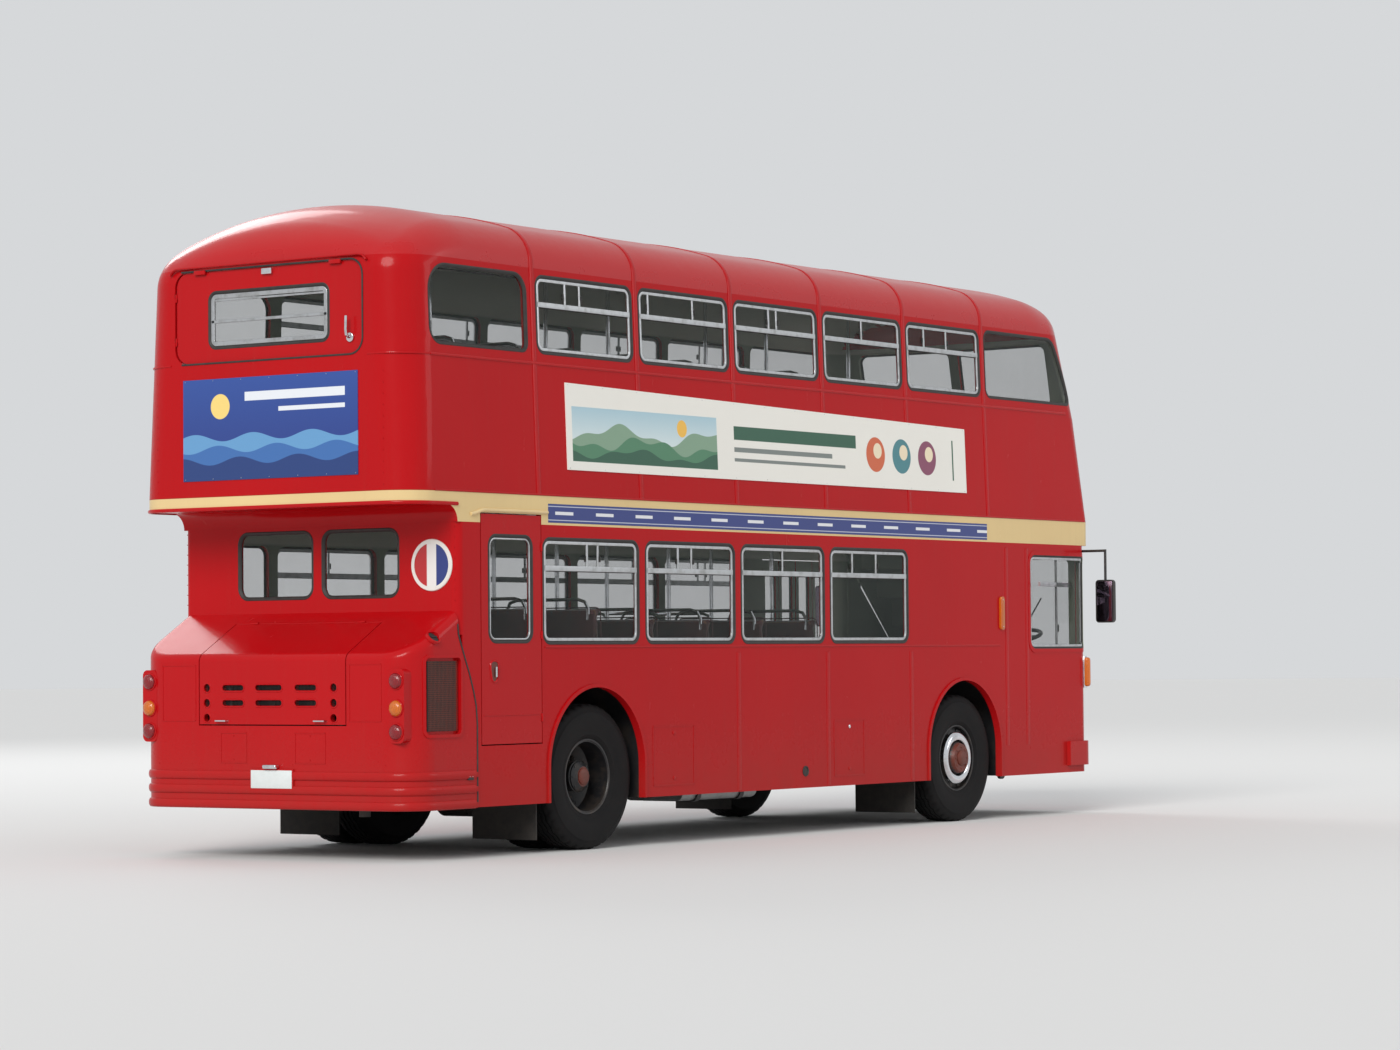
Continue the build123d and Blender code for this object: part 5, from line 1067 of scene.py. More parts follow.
def rear_door_trim():
    """The upper rear door's rubber groove, hinges' caps, bracket and chrome handle."""
    form = Form()
    y, z0, z1, r = 0.832, 3.348, 3.982, 0.110
    # The groove runs round the three free sides of the door and ends short of its hinge
    corner = np.radians(np.linspace(0, 90, 7))
    over = [(-y + r - r * np.sin(a), z1 - r + r * np.cos(a)) for a in corner]
    under = [(-y + r - r * np.cos(a), z0 + r - r * np.sin(a)) for a in corner]
    ring = np.array([(y - 0.06, z1)] + over + under + [(y - 0.06, z0)])
    form.strip(np.insert(ring, 0, REAR_X - 0.001, axis=1), (-1, 0, 0), 0.012, -0.004, 0.004, 0.002)
    form.build("rear_door_seal", "flap_rubber", "seal")
    form = Form()
    x, y = REAR_X + 0.006, -0.72
    form.lathe([(0.0, 0.0), (0.030, 0.0), (0.030, 0.006), (0.022, 0.010), (0.0, 0.010)],
               (x, y, 3.46), (-1, 0, 0), 20)
    form.tube([(x - 0.012, y, 3.46), (x - 0.040, y, 3.475), (x - 0.046, y, 3.51), (x - 0.042, y, 3.60)],
              0.010, (0, 1, 0))
    form.block((x - 0.016, -0.045, 3.925), (x + 0.004, 0.045, 3.965), 0.004)
    form.build("rear_door_handle", "bright_metal", "chrome", body="rear_door")
    form = Form()
    for y in (-0.6, 0.6):
        form.block((REAR_X - 0.014, y - 0.05, 3.955), (REAR_X + 0.01, y + 0.05, 3.985), 0.005)
    form.build("rear_door_caps", "red_paint", "red")


def rear_panel():
    """The blue printed panel between the decks, with its screws."""
    form = Form()
    y, z = np.meshgrid(np.linspace(0.757, -0.79, 24), np.linspace(2.55, 3.24, 12))
    points = np.stack([np.full(y.shape, REAR_X), y, z], axis=-1)
    form.shell(points, np.array([-1.0, 0.0, 0.0]), 0.005, 0.001)
    places = [(REAR_X - 0.005, y, z) for y in np.linspace(-0.77, 0.737, 7) for z in (2.562, 3.228)]
    form.domes(places, (-1, 0, 0), 0.004, mark=1)
    form.build("rear_panel", "red_paint", "rear_panel", "aluminium")


def round_rear(x, half, corner, x_end, y_end):
    """Half an outline round a rear corner, from x_end on the side to y_end at the rear, and its directions.

    The corner is a quarter circle between the side wall and the rear wall.
    """
    angle = np.radians(np.linspace(0, 90, 10))
    sine, cosine = np.sin(angle), np.cos(angle)
    arc = np.column_stack([x + corner - corner * sine, half - corner + corner * cosine])
    path = np.concatenate([[(x_end, half)], arc, [(x, y_end)]])
    return path, np.concatenate([[(0, 1)], np.column_stack([-sine, cosine]), [(-1, 0)]])


def corner_bead(form, z, corner, x_end, y_end, section):
    """A bead round both rear corners of the upper body at height z."""
    path, out = round_rear(REAR_X, float(side_y(z)), corner, x_end, y_end)
    for flip in (1, -1):
        mirror = [1, flip]
        form.sweep(np.insert(path * mirror, 2, z, axis=1), np.insert(out * mirror, 2, 0, axis=1), section)


def rear_beads():
    """The beads along the overhang's lower edge and at the waist, and the rear door's rain gutter."""
    form = Form()
    corner_bead(form, OVERHANG_Z + 0.004, 0.25, RECESS_X, 0.0, bead(0.012, -0.004, 0.006, 0.004, 0.011))
    corner_bead(form, 3.345, 0.27, -4.31, 0.87, bead(0.006, -0.004, 0.003, 0.0, 0.005))
    angle = np.radians(np.linspace(0, 60, 7))
    turn = np.column_stack([0.80 + 0.08 * np.sin(angle), 3.925 + 0.08 * np.cos(angle)])
    lip = np.concatenate([turn[::-1], turn * [-1, 1]])
    form.sweep(np.insert(lip, 0, REAR_X, axis=1), (-1, 0, 0),
               [(-0.006, -0.003), (-0.006, 0.016), (0.0, 0.019), (0.006, 0.012), (0.006, -0.003)])
    form.build("rear_beads", "red_paint", "red")


def domed_lens(r, base, rise, rings, ridge=0.0):
    """A lens's profile from its rim to its middle: an arc from base up by rise, every other ring proud."""
    radii = np.linspace(r, 0.0, rings)
    arc = np.sqrt(np.maximum(1 - (radii / r) ** 2, 0))
    return list(zip(radii, base + rise * arc + ridge * (np.arange(rings) % 2)))


def rear_lamps():
    """The rims and the ringed, domed lenses of the rear lamps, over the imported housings."""
    form = Form()
    for side in (-1, 1):
        for z, mark in ((0.855, 0), (1.01, 1), (1.19, 0)):
            centre = (REAR_X + 0.013, side * 1.09, z)
            form.lathe([(0.060, 0.0), (0.060, 0.006), (0.057, 0.009), (0.053, 0.009), (0.053, 0.0)], centre,
                       (-1, 0, 0), 36, 2, True)
            lens = [(0.053, 0.0)] + domed_lens(0.053, 0.006, 0.032, 14, 0.0008)
            form.lathe(lens, centre, (-1, 0, 0), 36, mark)
    form.build("rear_lamp_lenses", "lamp_red", "red_lens", "amber_lens", "red")


def vent_mesh():
    """A dark wire screen in the vents of both sides, over a black sheet of painted shade,
    and the mesh behind the slots of the bonnet.
    """
    form = Form()
    x0, x1, z0, z1 = -4.378, -4.072, 0.855, 1.315
    for side in (-1, 1):
        y = side * (HALF_W - 0.012)
        # The black sheet behind each screen is painted shade for the dark space behind the vent
        form.block((x0, side * (HALF_W - 0.022), z0), (x1, side * (HALF_W - 0.018), z1), 0.001, 1, 1)
        for z in np.arange(z0 + 0.010, z1, 0.014):
            form.block((x0, y - 0.001, z), (x1, y + 0.001, z + 0.003), 0.0004, 0, 1)
        for x in np.arange(x0 + 0.010, x1, 0.014):
            form.block((x, y - 0.002, z0), (x + 0.003, y, z1), 0.0004, 0, 1)
    form.build("side_vent_screens", "red_paint", "hub_brown", "seal")
    form = Form()
    x = REAR_X + 0.022
    for y in np.arange(-0.62, 0.62, 0.012):
        form.block((x, y, 1.00), (x + 0.0015, y + 0.0022, 1.19), 0.0004, 0, 1)
    for z in np.arange(1.00, 1.19, 0.012):
        form.block((x + 0.0015, -0.62, z), (x + 0.003, 0.62, z + 0.0022), 0.0004, 0, 1)
    form.build("grille_mesh", "steel_black", "black_steel", body="engine_cover")


def slot_rims():
    """The pressed rims of the bonnet's slots and holes, and its two chrome handles."""
    form = Form()
    x, r = BUSTLE_X, 0.025
    rim = [(-0.006, 0.0), (-0.004, 0.004), (0.003, 0.005), (0.007, 0.0), (0.004, -0.003), (-0.004, -0.003)]
    half = np.radians(np.linspace(-90, 90, 9))
    arc = r * np.column_stack([np.cos(half), np.sin(half)])
    for z in (1.045, 1.147):
        for y, width in ((0.327, 0.20), (0.01, 0.245), (-0.315, 0.20)):
            ring = np.concatenate([(y + width / 2 - r, z) + arc, (y - width / 2 + r, z) - arc])
            form.sweep(np.insert(ring, 0, x, axis=1), (-1, 0, 0), rim, True)
    for side in (-1, 1):
        for z in (0.945, 1.045, 1.147):
            form.lathe([(0.026, -0.003), (0.028, 0.004), (0.034, 0.005), (0.039, 0.0), (0.034, -0.003)],
                       (x, side * 0.56, z), (-1, 0, 0), 24, 0, True)
    for y in (-0.45, 0.42):
        bow = [(0.002, -0.05), (-0.024, -0.045), (-0.024, 0.045), (0.002, 0.05)]
        form.tube([(x + dx, y + dy, 0.925) for dx, dy in bow], 0.006, (0, 0, 1), 8, False, 1)
    form.build("bonnet_slot_rims", "red_paint", "red", "chrome", body="engine_cover")


def panel_line(form, y0, y1, z0, z1):
    """A thin raised line round a small panel on the rear face."""
    corners = [(y0, z0), (y1, z0), (y1, z1), (y0, z1)]
    for a, b in zip(corners, corners[1:] + corners[:1]):
        path = np.insert(np.linspace(a, b, 4), 0, BUSTLE_X, axis=1)
        form.strip(path, (-1, 0, 0), 0.008, -0.002, 0.003, 0.001)


def rear_small_parts():
    """Latches, the filler cap, the plate and its lamp, the round sign, panels and screws of the rear."""
    form = Form()
    x = BUSTLE_X
    # The plate in its shallow tray with a chrome lamp over it
    form.block((x - 0.014, -0.215, 0.465), (x + 0.002, 0.165, 0.606), 0.004)
    form.block((x - 0.018, -0.205, 0.475), (x - 0.012, 0.155, 0.596), 0.002, 1)
    form.block((x - 0.045, -0.085, 0.606), (x + 0.002, 0.035, 0.634), 0.010, 2, 3)
    # The round sign on the recess wall
    centre = (RECESS_X, -1.0, 1.956)
    form.lathe([(0.0, 0.0), (0.150, 0.0), (0.150, 0.006), (0.0, 0.006)], centre, (-1, 0, 0), 48, 3)
    form.lathe([(0.146, 0.0), (0.146, 0.010), (0.170, 0.010), (0.174, 0.006), (0.174, 0.0)],
               centre, (-1, 0, 0), 48, 4, True)
    # Latches at the bustle's seam and inspection panels under the bonnet
    for side in (-1, 1):
        form.block((-3.985, side * 1.213, 0.525), (-3.925, side * 1.232, 0.575), 0.005, 5)
        form.domes([(-3.97, side * 1.232, 0.55), (-3.94, side * 1.232, 0.55)], (0, side, 0), 0.006, mark=2)
    for y0, y1 in ((0.208, 0.435), (-0.485, -0.222)):
        panel_line(form, y0, y1, 0.645, 0.845)
        form.domes([(x - 0.002, (y0 + y1) / 2, z) for z in (0.665, 0.825)], (-1, 0, 0), 0.006)
    panel_line(form, -0.695, -0.965, 0.925, 1.30)
    panel_line(form, 0.665, 0.965, 0.925, 1.30)
    # The filler's cap inside its boss
    cap = np.array([-4.31, -1.199, 1.47])
    form.lathe([(0.044, -0.030), (0.044, -0.002), (0.040, 0.004), (0.014, 0.006), (0.0, 0.006)],
               cap, (0, -1, 1), 28, 5)
    form.bar(cap + [-0.030, -0.006, 0.006], cap + [0.030, -0.006, 0.006], 0.006, 8, 5)
    form.build("rear_small_parts", "bright_metal", "red", "blank_plate", "chrome", "round_sign",
               "white_enamel", "seal")


def housing_seams():
    """The dark rubber seams where the engine housing meets each side of the body."""
    form = Form()
    corners = np.array([(-3.872, 0.350), (-3.872, 0.90), (-3.884, 1.02), (-3.912, 1.12), (-3.955, 1.235),
                        (-4.005, 1.345), (-4.068, 1.489), (-4.075, 1.56)])
    steps = np.append(0.0, np.cumsum(np.linalg.norm(np.diff(corners, axis=0), axis=1)))
    at = np.linspace(0, steps[-1], 40)
    x, z = [np.interp(at, steps, column) for column in corners.T]
    for side in (-1, 1):
        path = np.column_stack([x, np.full(40, side * HALF_W), z])
        form.strip(path, (0, side, 0), 0.012, -0.004, 0.004, 0.002)
    form.build("housing_seams", "flap_rubber", "seal")


def bustle_ribs():
    """Three rounded ribs round the foot of the engine housing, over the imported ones."""
    form = Form()
    half, lean = round_rear(BUSTLE_X, HALF_W, 0.25, -3.90, 0.02)
    path = np.concatenate([half, (half * [1, -1])[::-1]])
    out = np.concatenate([lean, (lean * [1, -1])[::-1]])
    turn = np.radians(np.linspace(0, 180, 9))
    section = np.column_stack([0.030 * np.cos(turn), 0.015 * np.sin(turn) + 0.001])
    for z in (0.366, 0.465, 0.560):
        form.sweep(np.insert(path, 2, z, axis=1), np.insert(out, 2, 0, axis=1), section)
    form.build("bustle_ribs", "red_paint", "red")


def rear_rivets():
    """Rivet rows up the rear corners, along the overhang and round the panel."""
    form = Form()
    # x, the upright rows' y, low and high z and spacing, then the cross row's z and reach, and the radius
    rows = ((REAR_X, (-1.0, -0.86, 0.86, 1.0), 2.48, 3.30, 0.075, 2.47, 0.95, 0.0042),
            (RECESS_X, (-1.19, -0.78, 0.78, 1.19), 1.72, 2.28, 0.07, 0, 0, 0.0042),
            (BUSTLE_X, (-0.94, 0.94), 0.66, 0.88, 0.06, 0.635, 1.0, 0.0045))
    for x, ys, z0, z1, step, level, reach, r in rows:
        places = [(x, y, z) for y in ys for z in np.arange(z0, z1, step)]
        if level:
            places += [(x, y, level) for y in np.arange(-reach, reach + 0.01, 0.10)]
        form.domes(places, (-1, 0, 0), r)
    form.build("rear_rivets", "red_paint", "red")


def front_line(form, a, b, count, section):
    """A section swept along the bowed front, straight between two (y, z) places."""
    points, out = front_points(*np.linspace(a, b, count).T)
    if isinstance(section, dict):
        form.strip(points, out, **section)
    else:
        form.sweep(points, out, section, mark=1)


def destination_glass():
    """The blank destination screen in its bright frame, over the windscreens."""
    form = Form()
    y, z = np.meshgrid(np.linspace(-0.625, 0.625, 24), np.linspace(2.572, 2.948, 8))
    points, out = front_points(y, z)
    form.shell(points - out * 0.012, out, 0.0, 0.003)
    form.shell(points - out * 0.004, out, 0.0, 0.003, 1)
    corners = [(-0.632, 2.566), (0.632, 2.566), (0.632, 2.954), (-0.632, 2.954)]
    for a, b in zip(corners, corners[1:] + corners[:1]):
        front_line(form, a, b, 20, {"width": 0.026, "base": -0.012, "top": 0.005, "mark": 2})
    form.build("destination_screen", "red_paint", "blank_blind", "glass", "aluminium")


def wipers():
    """Two wipers: a boss, an arm, a blade carrier and a rubber blade each."""
    form = Form()
    for y0, y1 in ((-0.18, -0.60), (0.92, 0.50)):
        base, base_out = front_points(y0, 1.285)
        tip, tip_out = front_points(y1, 1.60)
        start, end = base + base_out * 0.030, tip + tip_out * 0.030
        form.lathe([(0.022, -0.004), (0.022, 0.016), (0.014, 0.030), (0.0, 0.030)], base, base_out, 20, 1)
        form.bar(start, end, 0.006, 8)
        along = unit(end - start)
        lean = unit(along + unit(np.cross(along, tip_out)) * 0.35) * 0.25
        for r, lift, mark in ((0.005, 0.024, 0), (0.004, 0.016, 2)):
            middle = tip + tip_out * lift
            form.bar(middle - lean, middle + lean, r, 8, mark)
    form.build("wipers", "steel_black", "black_steel", "chrome", "seal")


def front_lamps():
    """Headlamps with bright rims and domed lenses."""
    form = Form()
    for side in (-1, 1):
        for y in (0.7, 0.9):
            centre = (4.486, side * y, 0.8)
            form.lathe([(0.078, 0.0), (0.080, 0.014), (0.087, 0.020), (0.096, 0.014), (0.100, 0.0)], centre,
                       (1, 0, 0), 40, 0, True)
            form.lathe([(0.079, -0.004)] + domed_lens(0.079, 0.010, 0.020, 12), centre, (1, 0, 0), 40, 1)
    form.build("headlamps", "lamp_clear", "chrome", "clear_lens")


def side_lamps():
    """The amber lenses of the sides and the front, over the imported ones, and the corners' ear lamps."""
    form = Form()
    for side in (-1, 1):
        form.block((2.985, side * 1.217, 1.532), (3.041, side * 1.240, 1.798), 0.012, 0, 3)
        form.domes([(3.013, side * 1.240, z) for z in (1.556, 1.774)], (0, side, 0), 0.005, mark=1)
        form.block((4.455, side * 1.037 - 0.052, 0.932), (4.480, side * 1.037 + 0.052, 1.128), 0.012, 0, 3)
        form.block((4.372, side * 1.190, 1.055), (4.428, side * 1.262, 1.300), 0.022, 0, 4)
        form.block((4.362, side * 1.190, 1.045), (4.418, side * 1.228, 1.310), 0.006, 1, 2)
    form.build("side_lamp_lenses", "lamp_amber", "amber_lens", "chrome")


def front_small_parts():
    """The blank front plate, panel lines, screws and the drip bead over the windscreen."""
    form = Form()
    across = np.linspace(-0.26, 0.26, 8)[None].repeat(2, 0)
    form.shell(*front_points(across, np.array([[0.655], [0.765]])), 0.006, 0.002)
    seam = {"width": 0.010, "base": -0.002, "top": 0.004, "r": 0.002, "mark": 1}
    for z in (1.235, 0.63):
        front_line(form, (-1.02, z), (1.02, z), 40, seam)
    for y in (-0.45, 0.45):
        front_line(form, (y, 0.63), (y, 1.235), 12, seam)
    for side in (-1, 1):
        for z in (1.36, 1.62, 1.88, 2.12):
            form.domes(*front_points(0.0, z), 0.005, mark=1)
        places, normals = front_points(side * 0.86, np.linspace(2.50, 3.30, 12))
        form.domes(places, normals[5], 0.0045, mark=1)
    front_line(form, (-1.0, 2.205), (1.0, 2.205), 30,
               [(-0.008, -0.003), (-0.008, 0.012), (0.004, 0.022), (0.008, 0.012), (0.008, -0.003)])
    front_line(form, (-1.0, 3.99), (1.0, 3.99), 30,
               [(-0.006, -0.003), (-0.006, 0.006), (0.006, 0.006), (0.006, -0.003)])
    form.build("front_small_parts", "red_paint", "blank_plate", "red")


def mirror_parts():
    """Mirror glass facing back, in black heads on thin arms with clamps."""
    form = Form()
    for side in (-1, 1):
        form.block((4.3945, side * 1.337, 1.602), (4.403, side * 1.483, 1.938), 0.003)
        form.block((4.440, side * 1.345, 1.61), (4.452, side * 1.475, 1.93), 0.010, 1, 3)
        for z in (1.66, 1.88):
            form.block((4.442, side * 1.395, z - 0.02), (4.462, side * 1.425, z + 0.02), 0.004, 2)
    form.build("mirror_parts", "steel_black", "mirror_glass", "plastic", "chrome")


def trim_doors():
    """Paint, handles, rubbers and grab rails of all doors, each riding on its own door."""
    leaves = ["entrance_leaf_%d" % i for i in range(1, 5)]
    for node in ["side_emergency_door", "rear_emergency_door"] + leaves:
        dress(node, "red_paint", "red", "inner_panel", pick=pick_wall)
    form = Form()
    # The recessed handle of the side door: a shield, wide above and pointed below, with a bright lever.
    # Its flat inside is painted dark brown as painted shade for the recess.
    angle = np.radians(np.linspace(0, 360, 28, endpoint=False))
    squared = np.maximum(np.abs(np.cos(angle)), np.abs(np.sin(angle)))
    across = 0.040 * np.cos(angle) / squared**0.6 * (1.0 + 0.30 * np.sin(angle))
    flat = np.column_stack([across, np.zeros(28), 0.072 * np.sin(angle) / squared**0.4])
    centre = np.array([-3.682, -HALF_W, 1.243])
    form.sweep(centre + flat, (0, -1, 0),
               [(-0.008, -0.002), (-0.005, 0.006), (0.003, 0.007), (0.008, -0.002)], True)
    # The flat fill inside the shield is dark brown: painted shade for the recess
    rings = centre - [0.0, 0.0015, 0.0] + np.linspace(1.0, 0.0, 5)[:, None, None] * flat
    form.grid(rings, wrap_v=True, mark=3)
    x, y = -3.674, -HALF_W - 0.010
    form.bar((x, y, 1.205), (x, y, 1.275), 0.008, 10, 2)
    form.bar((x, y + 0.012, 1.268), (x, y, 1.268), 0.007, 10, 2)
    # The thin line across the door and its rivets
    line = np.linspace((-3.80, -HALF_W, 0.95), (-3.18, -HALF_W, 0.95), 12)
    form.strip(line, (0, -1, 0), 0.008, -0.002, 0.003, 0.001)
    places = [(x, -HALF_W, z) for x in (-3.795, -3.185) for z in np.arange(0.80, 2.26, 0.09)]
    form.domes(places, (0, -1, 0), 0.004)
    form.build("side_door_fittings", "red_paint", "red", "seal", "chrome", "hub_brown", body="side_door")
    # The entrance leaves' meeting rubbers and their grab rails inside
    for i, (x, edge) in enumerate(((3.101, None), (3.357, 3.605), (3.629, 3.629), (3.885, None)), 1):
        form = Form()
        if edge:
            form.block((edge - 0.004, 1.186, 0.41), (edge + 0.004, 1.216, 2.135), 0.003)
        for z in (0.52, 0.58):
            line = [(x + 0.02, 1.2112, z), (x + 0.228, 1.2112, z)]
            form.strip(line, (0, 1, 0), 0.006, -0.002, 0.002, 0.001, mark=1)
        x += 0.124
        form.bar((x, 1.170, 0.90), (x, 1.170, 1.45), 0.010, 8, 2)
        for z in (0.92, 1.43):
            form.bar((x, 1.184, z), (x, 1.170, z), 0.007, 8, 2)
        form.build("leaf_fittings_%d" % i, "flap_rubber", "seal", "red", "chrome", body="leaf_%d" % i)


def tyre_section():
    """A tyre's section in columns: radius, distance from its middle, share of zigzag and of notch."""
    side = [(0.262, 0.100), (0.266, 0.108), (0.285, 0.116), (0.293, 0.1215), (0.300, 0.1205), (0.330, 0.1290),
            (0.390, 0.1365), (0.430, 0.1345), (0.446, 0.1340), (0.449, 0.1305),
            (0.470, 0.1245), (0.488, 0.1160)]
    edge = [(0.499, 0.1060, 0.0, 1.0), (0.504, 0.0960, 0.0, 1.0), (0.505, 0.0860, 0.0, 1.0),
            (0.505, 0.0780, 0.4, 0.0)]
    half = [(r, w, 0.0, 0.0) for r, w in side] + edge
    rows = [(r, -w, zigzag, notch) for r, w, zigzag, notch in half]
    for middle in (-0.058, -0.020, 0.020, 0.058):
        rows += [(0.505, middle - 0.0065, 1.0, 0.0), (0.493, middle - 0.0045, 1.0, 0.0),
                 (0.493, middle + 0.0045, 1.0, 0.0), (0.505, middle + 0.0065, 1.0, 0.0)]
        if middle < 0.05:
            rows.append((0.505, middle + 0.019, 1.0, 0.3))
    return np.array(rows + half[::-1] + [(0.258, 0.096, 0.0, 0.0), (0.258, -0.096, 0.0, 0.0)])


def add_tyre(form, centre):
    """A tyre with four zigzag grooves and notched shoulders.

    Each column's place across moves with a triangle wave round the tyre, and its radius drops by 9 mm
    times its notch share in two steps out of each six.
    """
    rows = tyre_section()
    steps = 240
    turn = np.linspace(0, 2 * np.pi, steps, endpoint=False)
    phase = (np.arange(steps) % 8) / 8.0
    zigzag = 0.0055 * (4.0 * np.abs(phase - 0.5) - 1.0)
    notch = 0.009 * (np.arange(steps) % 6 < 2)
    radius = rows[None, :, 0] - notch[:, None] * rows[None, :, 3]
    across = rows[None, :, 1] + zigzag[:, None] * rows[None, :, 2]
    p = np.zeros((steps, len(rows), 3))
    p[..., 0] = centre[0] + radius * np.cos(turn)[:, None]
    p[..., 1] = centre[1] + across
    p[..., 2] = centre[2] + radius * np.sin(turn)[:, None]
    form.grid(p, wrap_u=True, wrap_v=True)


def ring_places(x, y, r, count, start=0.0):
    """Places on a circle in a wheel's plane."""
    turn = np.radians(start) + np.linspace(0, 2 * np.pi, count, endpoint=False)
    return np.stack([x + r * np.cos(turn), np.full(count, y), AXLE_Z + r * np.sin(turn)], axis=1)


def add_nuts(form, x, y, side, height):
    """Ten six-sided nuts with a washer and a stud end each."""
    r = 0.017
    for place in ring_places(x, y, 0.1675, 10, 9.0):
        form.lathe([(r * 1.25, -0.004), (r * 1.25, 0.003), (r, 0.003)], place, (0, side, 0), 12, 1)
        form.lathe([(r, 0.0), (r, height * 0.85), (r * 0.85, height)], place, (0, side, 0), 6, 1)
        form.lathe([(r * 0.5, height - 0.002), (r * 0.5, height + 0.010)], place, (0, side, 0), 10, 1)


def add_hand_holes(form, x, side, face, tilt, r):
    """Eight oval hand holes with a pressed lip, each a flat black oval of painted shade for its opening,
    on a dished disc: its y at r is face, its slope tilt.
    """
    turn = np.linspace(0, 2 * np.pi, 20, endpoint=False)
    for at in 2 * np.pi * (np.arange(8) + 0.5) / 8:
        radial = np.array([np.cos(at), 0.0, np.sin(at)])
        around = np.array([-np.sin(at), 0.0, np.cos(at)])
        slant = unit(radial + np.array([0.0, side * tilt, 0.0]))
        out = unit(np.cross(slant, around))
        out = out * np.sign(out[1] * side)
        centre = np.array([x, side * face, AXLE_Z]) + r * radial
        oval = 0.034 * np.cos(turn)[:, None] * around + 0.019 * np.sin(turn)[:, None] * slant
        form.sweep(centre + oval, out,
                   [(-0.005, -0.001), (-0.003, 0.003), (0.003, 0.004), (0.007, -0.001)], True)
        # Each hole is a flat black oval just over the disc: painted shade for the opening's dark inside
        rows = centre + np.array([1.0, 0.5, 0.02])[:, None, None] * oval + out * 0.0012
        form.grid(rows, wrap_v=True, mark=4)


def wheel(name, x, side, hub_r, turned, tyres, add_parts):
    """One wheel's painted disc, its fittings and its treaded tyres, on the body that rolls.

    turned gives the lathe profiles with their y, segments, finish number and whether they close.
    """
    end = "front" if x > 0 else "rear"
    plural = "" if x > 0 else "s"
    body = "%s_roller_%s" % (end, name)
    dress("%s_wheel%s_%s" % (end, plural, name), "steel_black", "wheel_black", "hub_brown",
          pick=lambda middles, normals: np.hypot(middles[:, 0] - x, middles[:, 2] - AXLE_Z) < hub_r)
    form = Form()
    add_parts(form, x, side)
    for profile, y, segments, mark, closed in turned:
        form.lathe(profile, (x, side * y, AXLE_Z), (0, side, 0), segments, mark, closed)
    form.build("%s_wheel_fittings_%s" % (end, name), "steel_black", "wheel_black", "iron", "chrome",
               "hub_brown", "seal", body=body)
    form = Form()
    for y in tyres:
        add_tyre(form, (x, side * y, AXLE_Z))
    tread = form.build("%s_tyre_tread_%s" % (end, name), "tyre_rubber", "tyre", body=body, crease=42.0)
    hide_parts("%s_tyre%s_%s" % (end, plural, name))


def front_parts(form, x, side):
    """The nuts, hand holes and guard ring's stays of a front wheel."""
    add_nuts(form, x, side * 1.107, side, 0.022)
    for place in ring_places(x, side * 1.100, 0.198, 5, 27.0):
        form.bar(place, place + np.array([0, side * 0.048, 0]), 0.007, 10, 2)
    add_hand_holes(form, x, side, 1.1005, -0.17, 0.2225)
    form.domes(ring_places(x, side * 1.180, 0.085, 8), (0, side, 0), 0.010, 0.8, 6, 3)


def rear_parts(form, x, side):
    """The nuts, hand holes and hub bolts of a rear wheel."""
    add_nuts(form, x, side * 0.896, side, 0.024)
    add_hand_holes(form, x, side, 0.936, 0.87, 0.213)
    form.domes(ring_places(x, side * 1.069, 0.094, 8), (0, side, 0), 0.009, 0.9, 6)


def all_wheels():
    """The front wheels with hub cap and bright guard ring, and the twin rear wheels with their brown caps."""
    guard = [(0.142, 0.036), (0.146, 0.044), (0.160, 0.050), (0.180, 0.050), (0.198, 0.044), (0.208, 0.032),
             (0.208, 0.026), (0.196, 0.038), (0.180, 0.044), (0.160, 0.044), (0.148, 0.036)]
    front_cap = [(0.062, 0.072), (0.062, 0.080), (0.050, 0.092), (0.030, 0.098), (0.0, 0.098)]
    front_rim = [(0.250, 0.0), (0.254, 0.005), (0.262, 0.006), (0.266, 0.0)]
    rear_cap = [(0.060, -0.004), (0.060, 0.006), (0.052, 0.013), (0.030, 0.016), (0.0, 0.016)]
    rear_rim = [(0.244, -0.006), (0.250, 0.005), (0.262, 0.006), (0.266, -0.002)]
    flange = [(0.100, 0.0), (0.112, 0.0), (0.112, 0.010), (0.106, 0.014)]
    front = ((guard, 1.108, 72, 2, True), (front_cap, 1.106, 36, 3, False), (front_rim, 1.130, 72, 0, True))
    rear = ((rear_cap, 1.095, 36, 3, False), (rear_rim, 1.125, 72, 0, True), (flange, 1.040, 36, 0, True))
    for x, hub_r, turned, tyres, add_parts in (
            (FRONT_AXLE_X, 0.122, front, (FRONT_HUB_Y,), front_parts),
            (REAR_AXLE_X, 0.060, rear, (REAR_HUB_Y, REAR_HUB_Y - TWIN_PITCH), rear_parts)):
        for side, name in ((1, "left"), (-1, "right")):
            wheel(name, x, side, hub_r, turned, tyres, add_parts)



def box_grid(size, step, round_r):
    """A closed box mesh of even squares about the origin, with its points drawn in to round edges.

    Points are laid on the six faces of a box, held to a smaller box and pushed back out by the edge radius.
    """
    size = np.asarray(size, float)
    counts = np.maximum(np.round(size / step).astype(int), 3)
    form = Form()
    for axis in range(3):
        a, b = (axis + 1) % 3, (axis + 2) % 3
        u = np.linspace(-0.5, 0.5, counts[a] + 1) * size[a]
        v = np.linspace(-0.5, 0.5, counts[b] + 1) * size[b]
        uu, vv = np.meshgrid(u, v, indexing="ij")
        for sign in (-1, 1):
            p = np.zeros(uu.shape + (3,))
            p[..., a], p[..., b], p[..., axis] = uu, vv, sign * size[axis] / 2
            inner = np.clip(p, -(size / 2 - round_r), size / 2 - round_r)
            away = p - inner
            p = inner + unit(away) * np.minimum(np.linalg.norm(away, axis=-1, keepdims=True), round_r)
            form.grid(p)
    return form


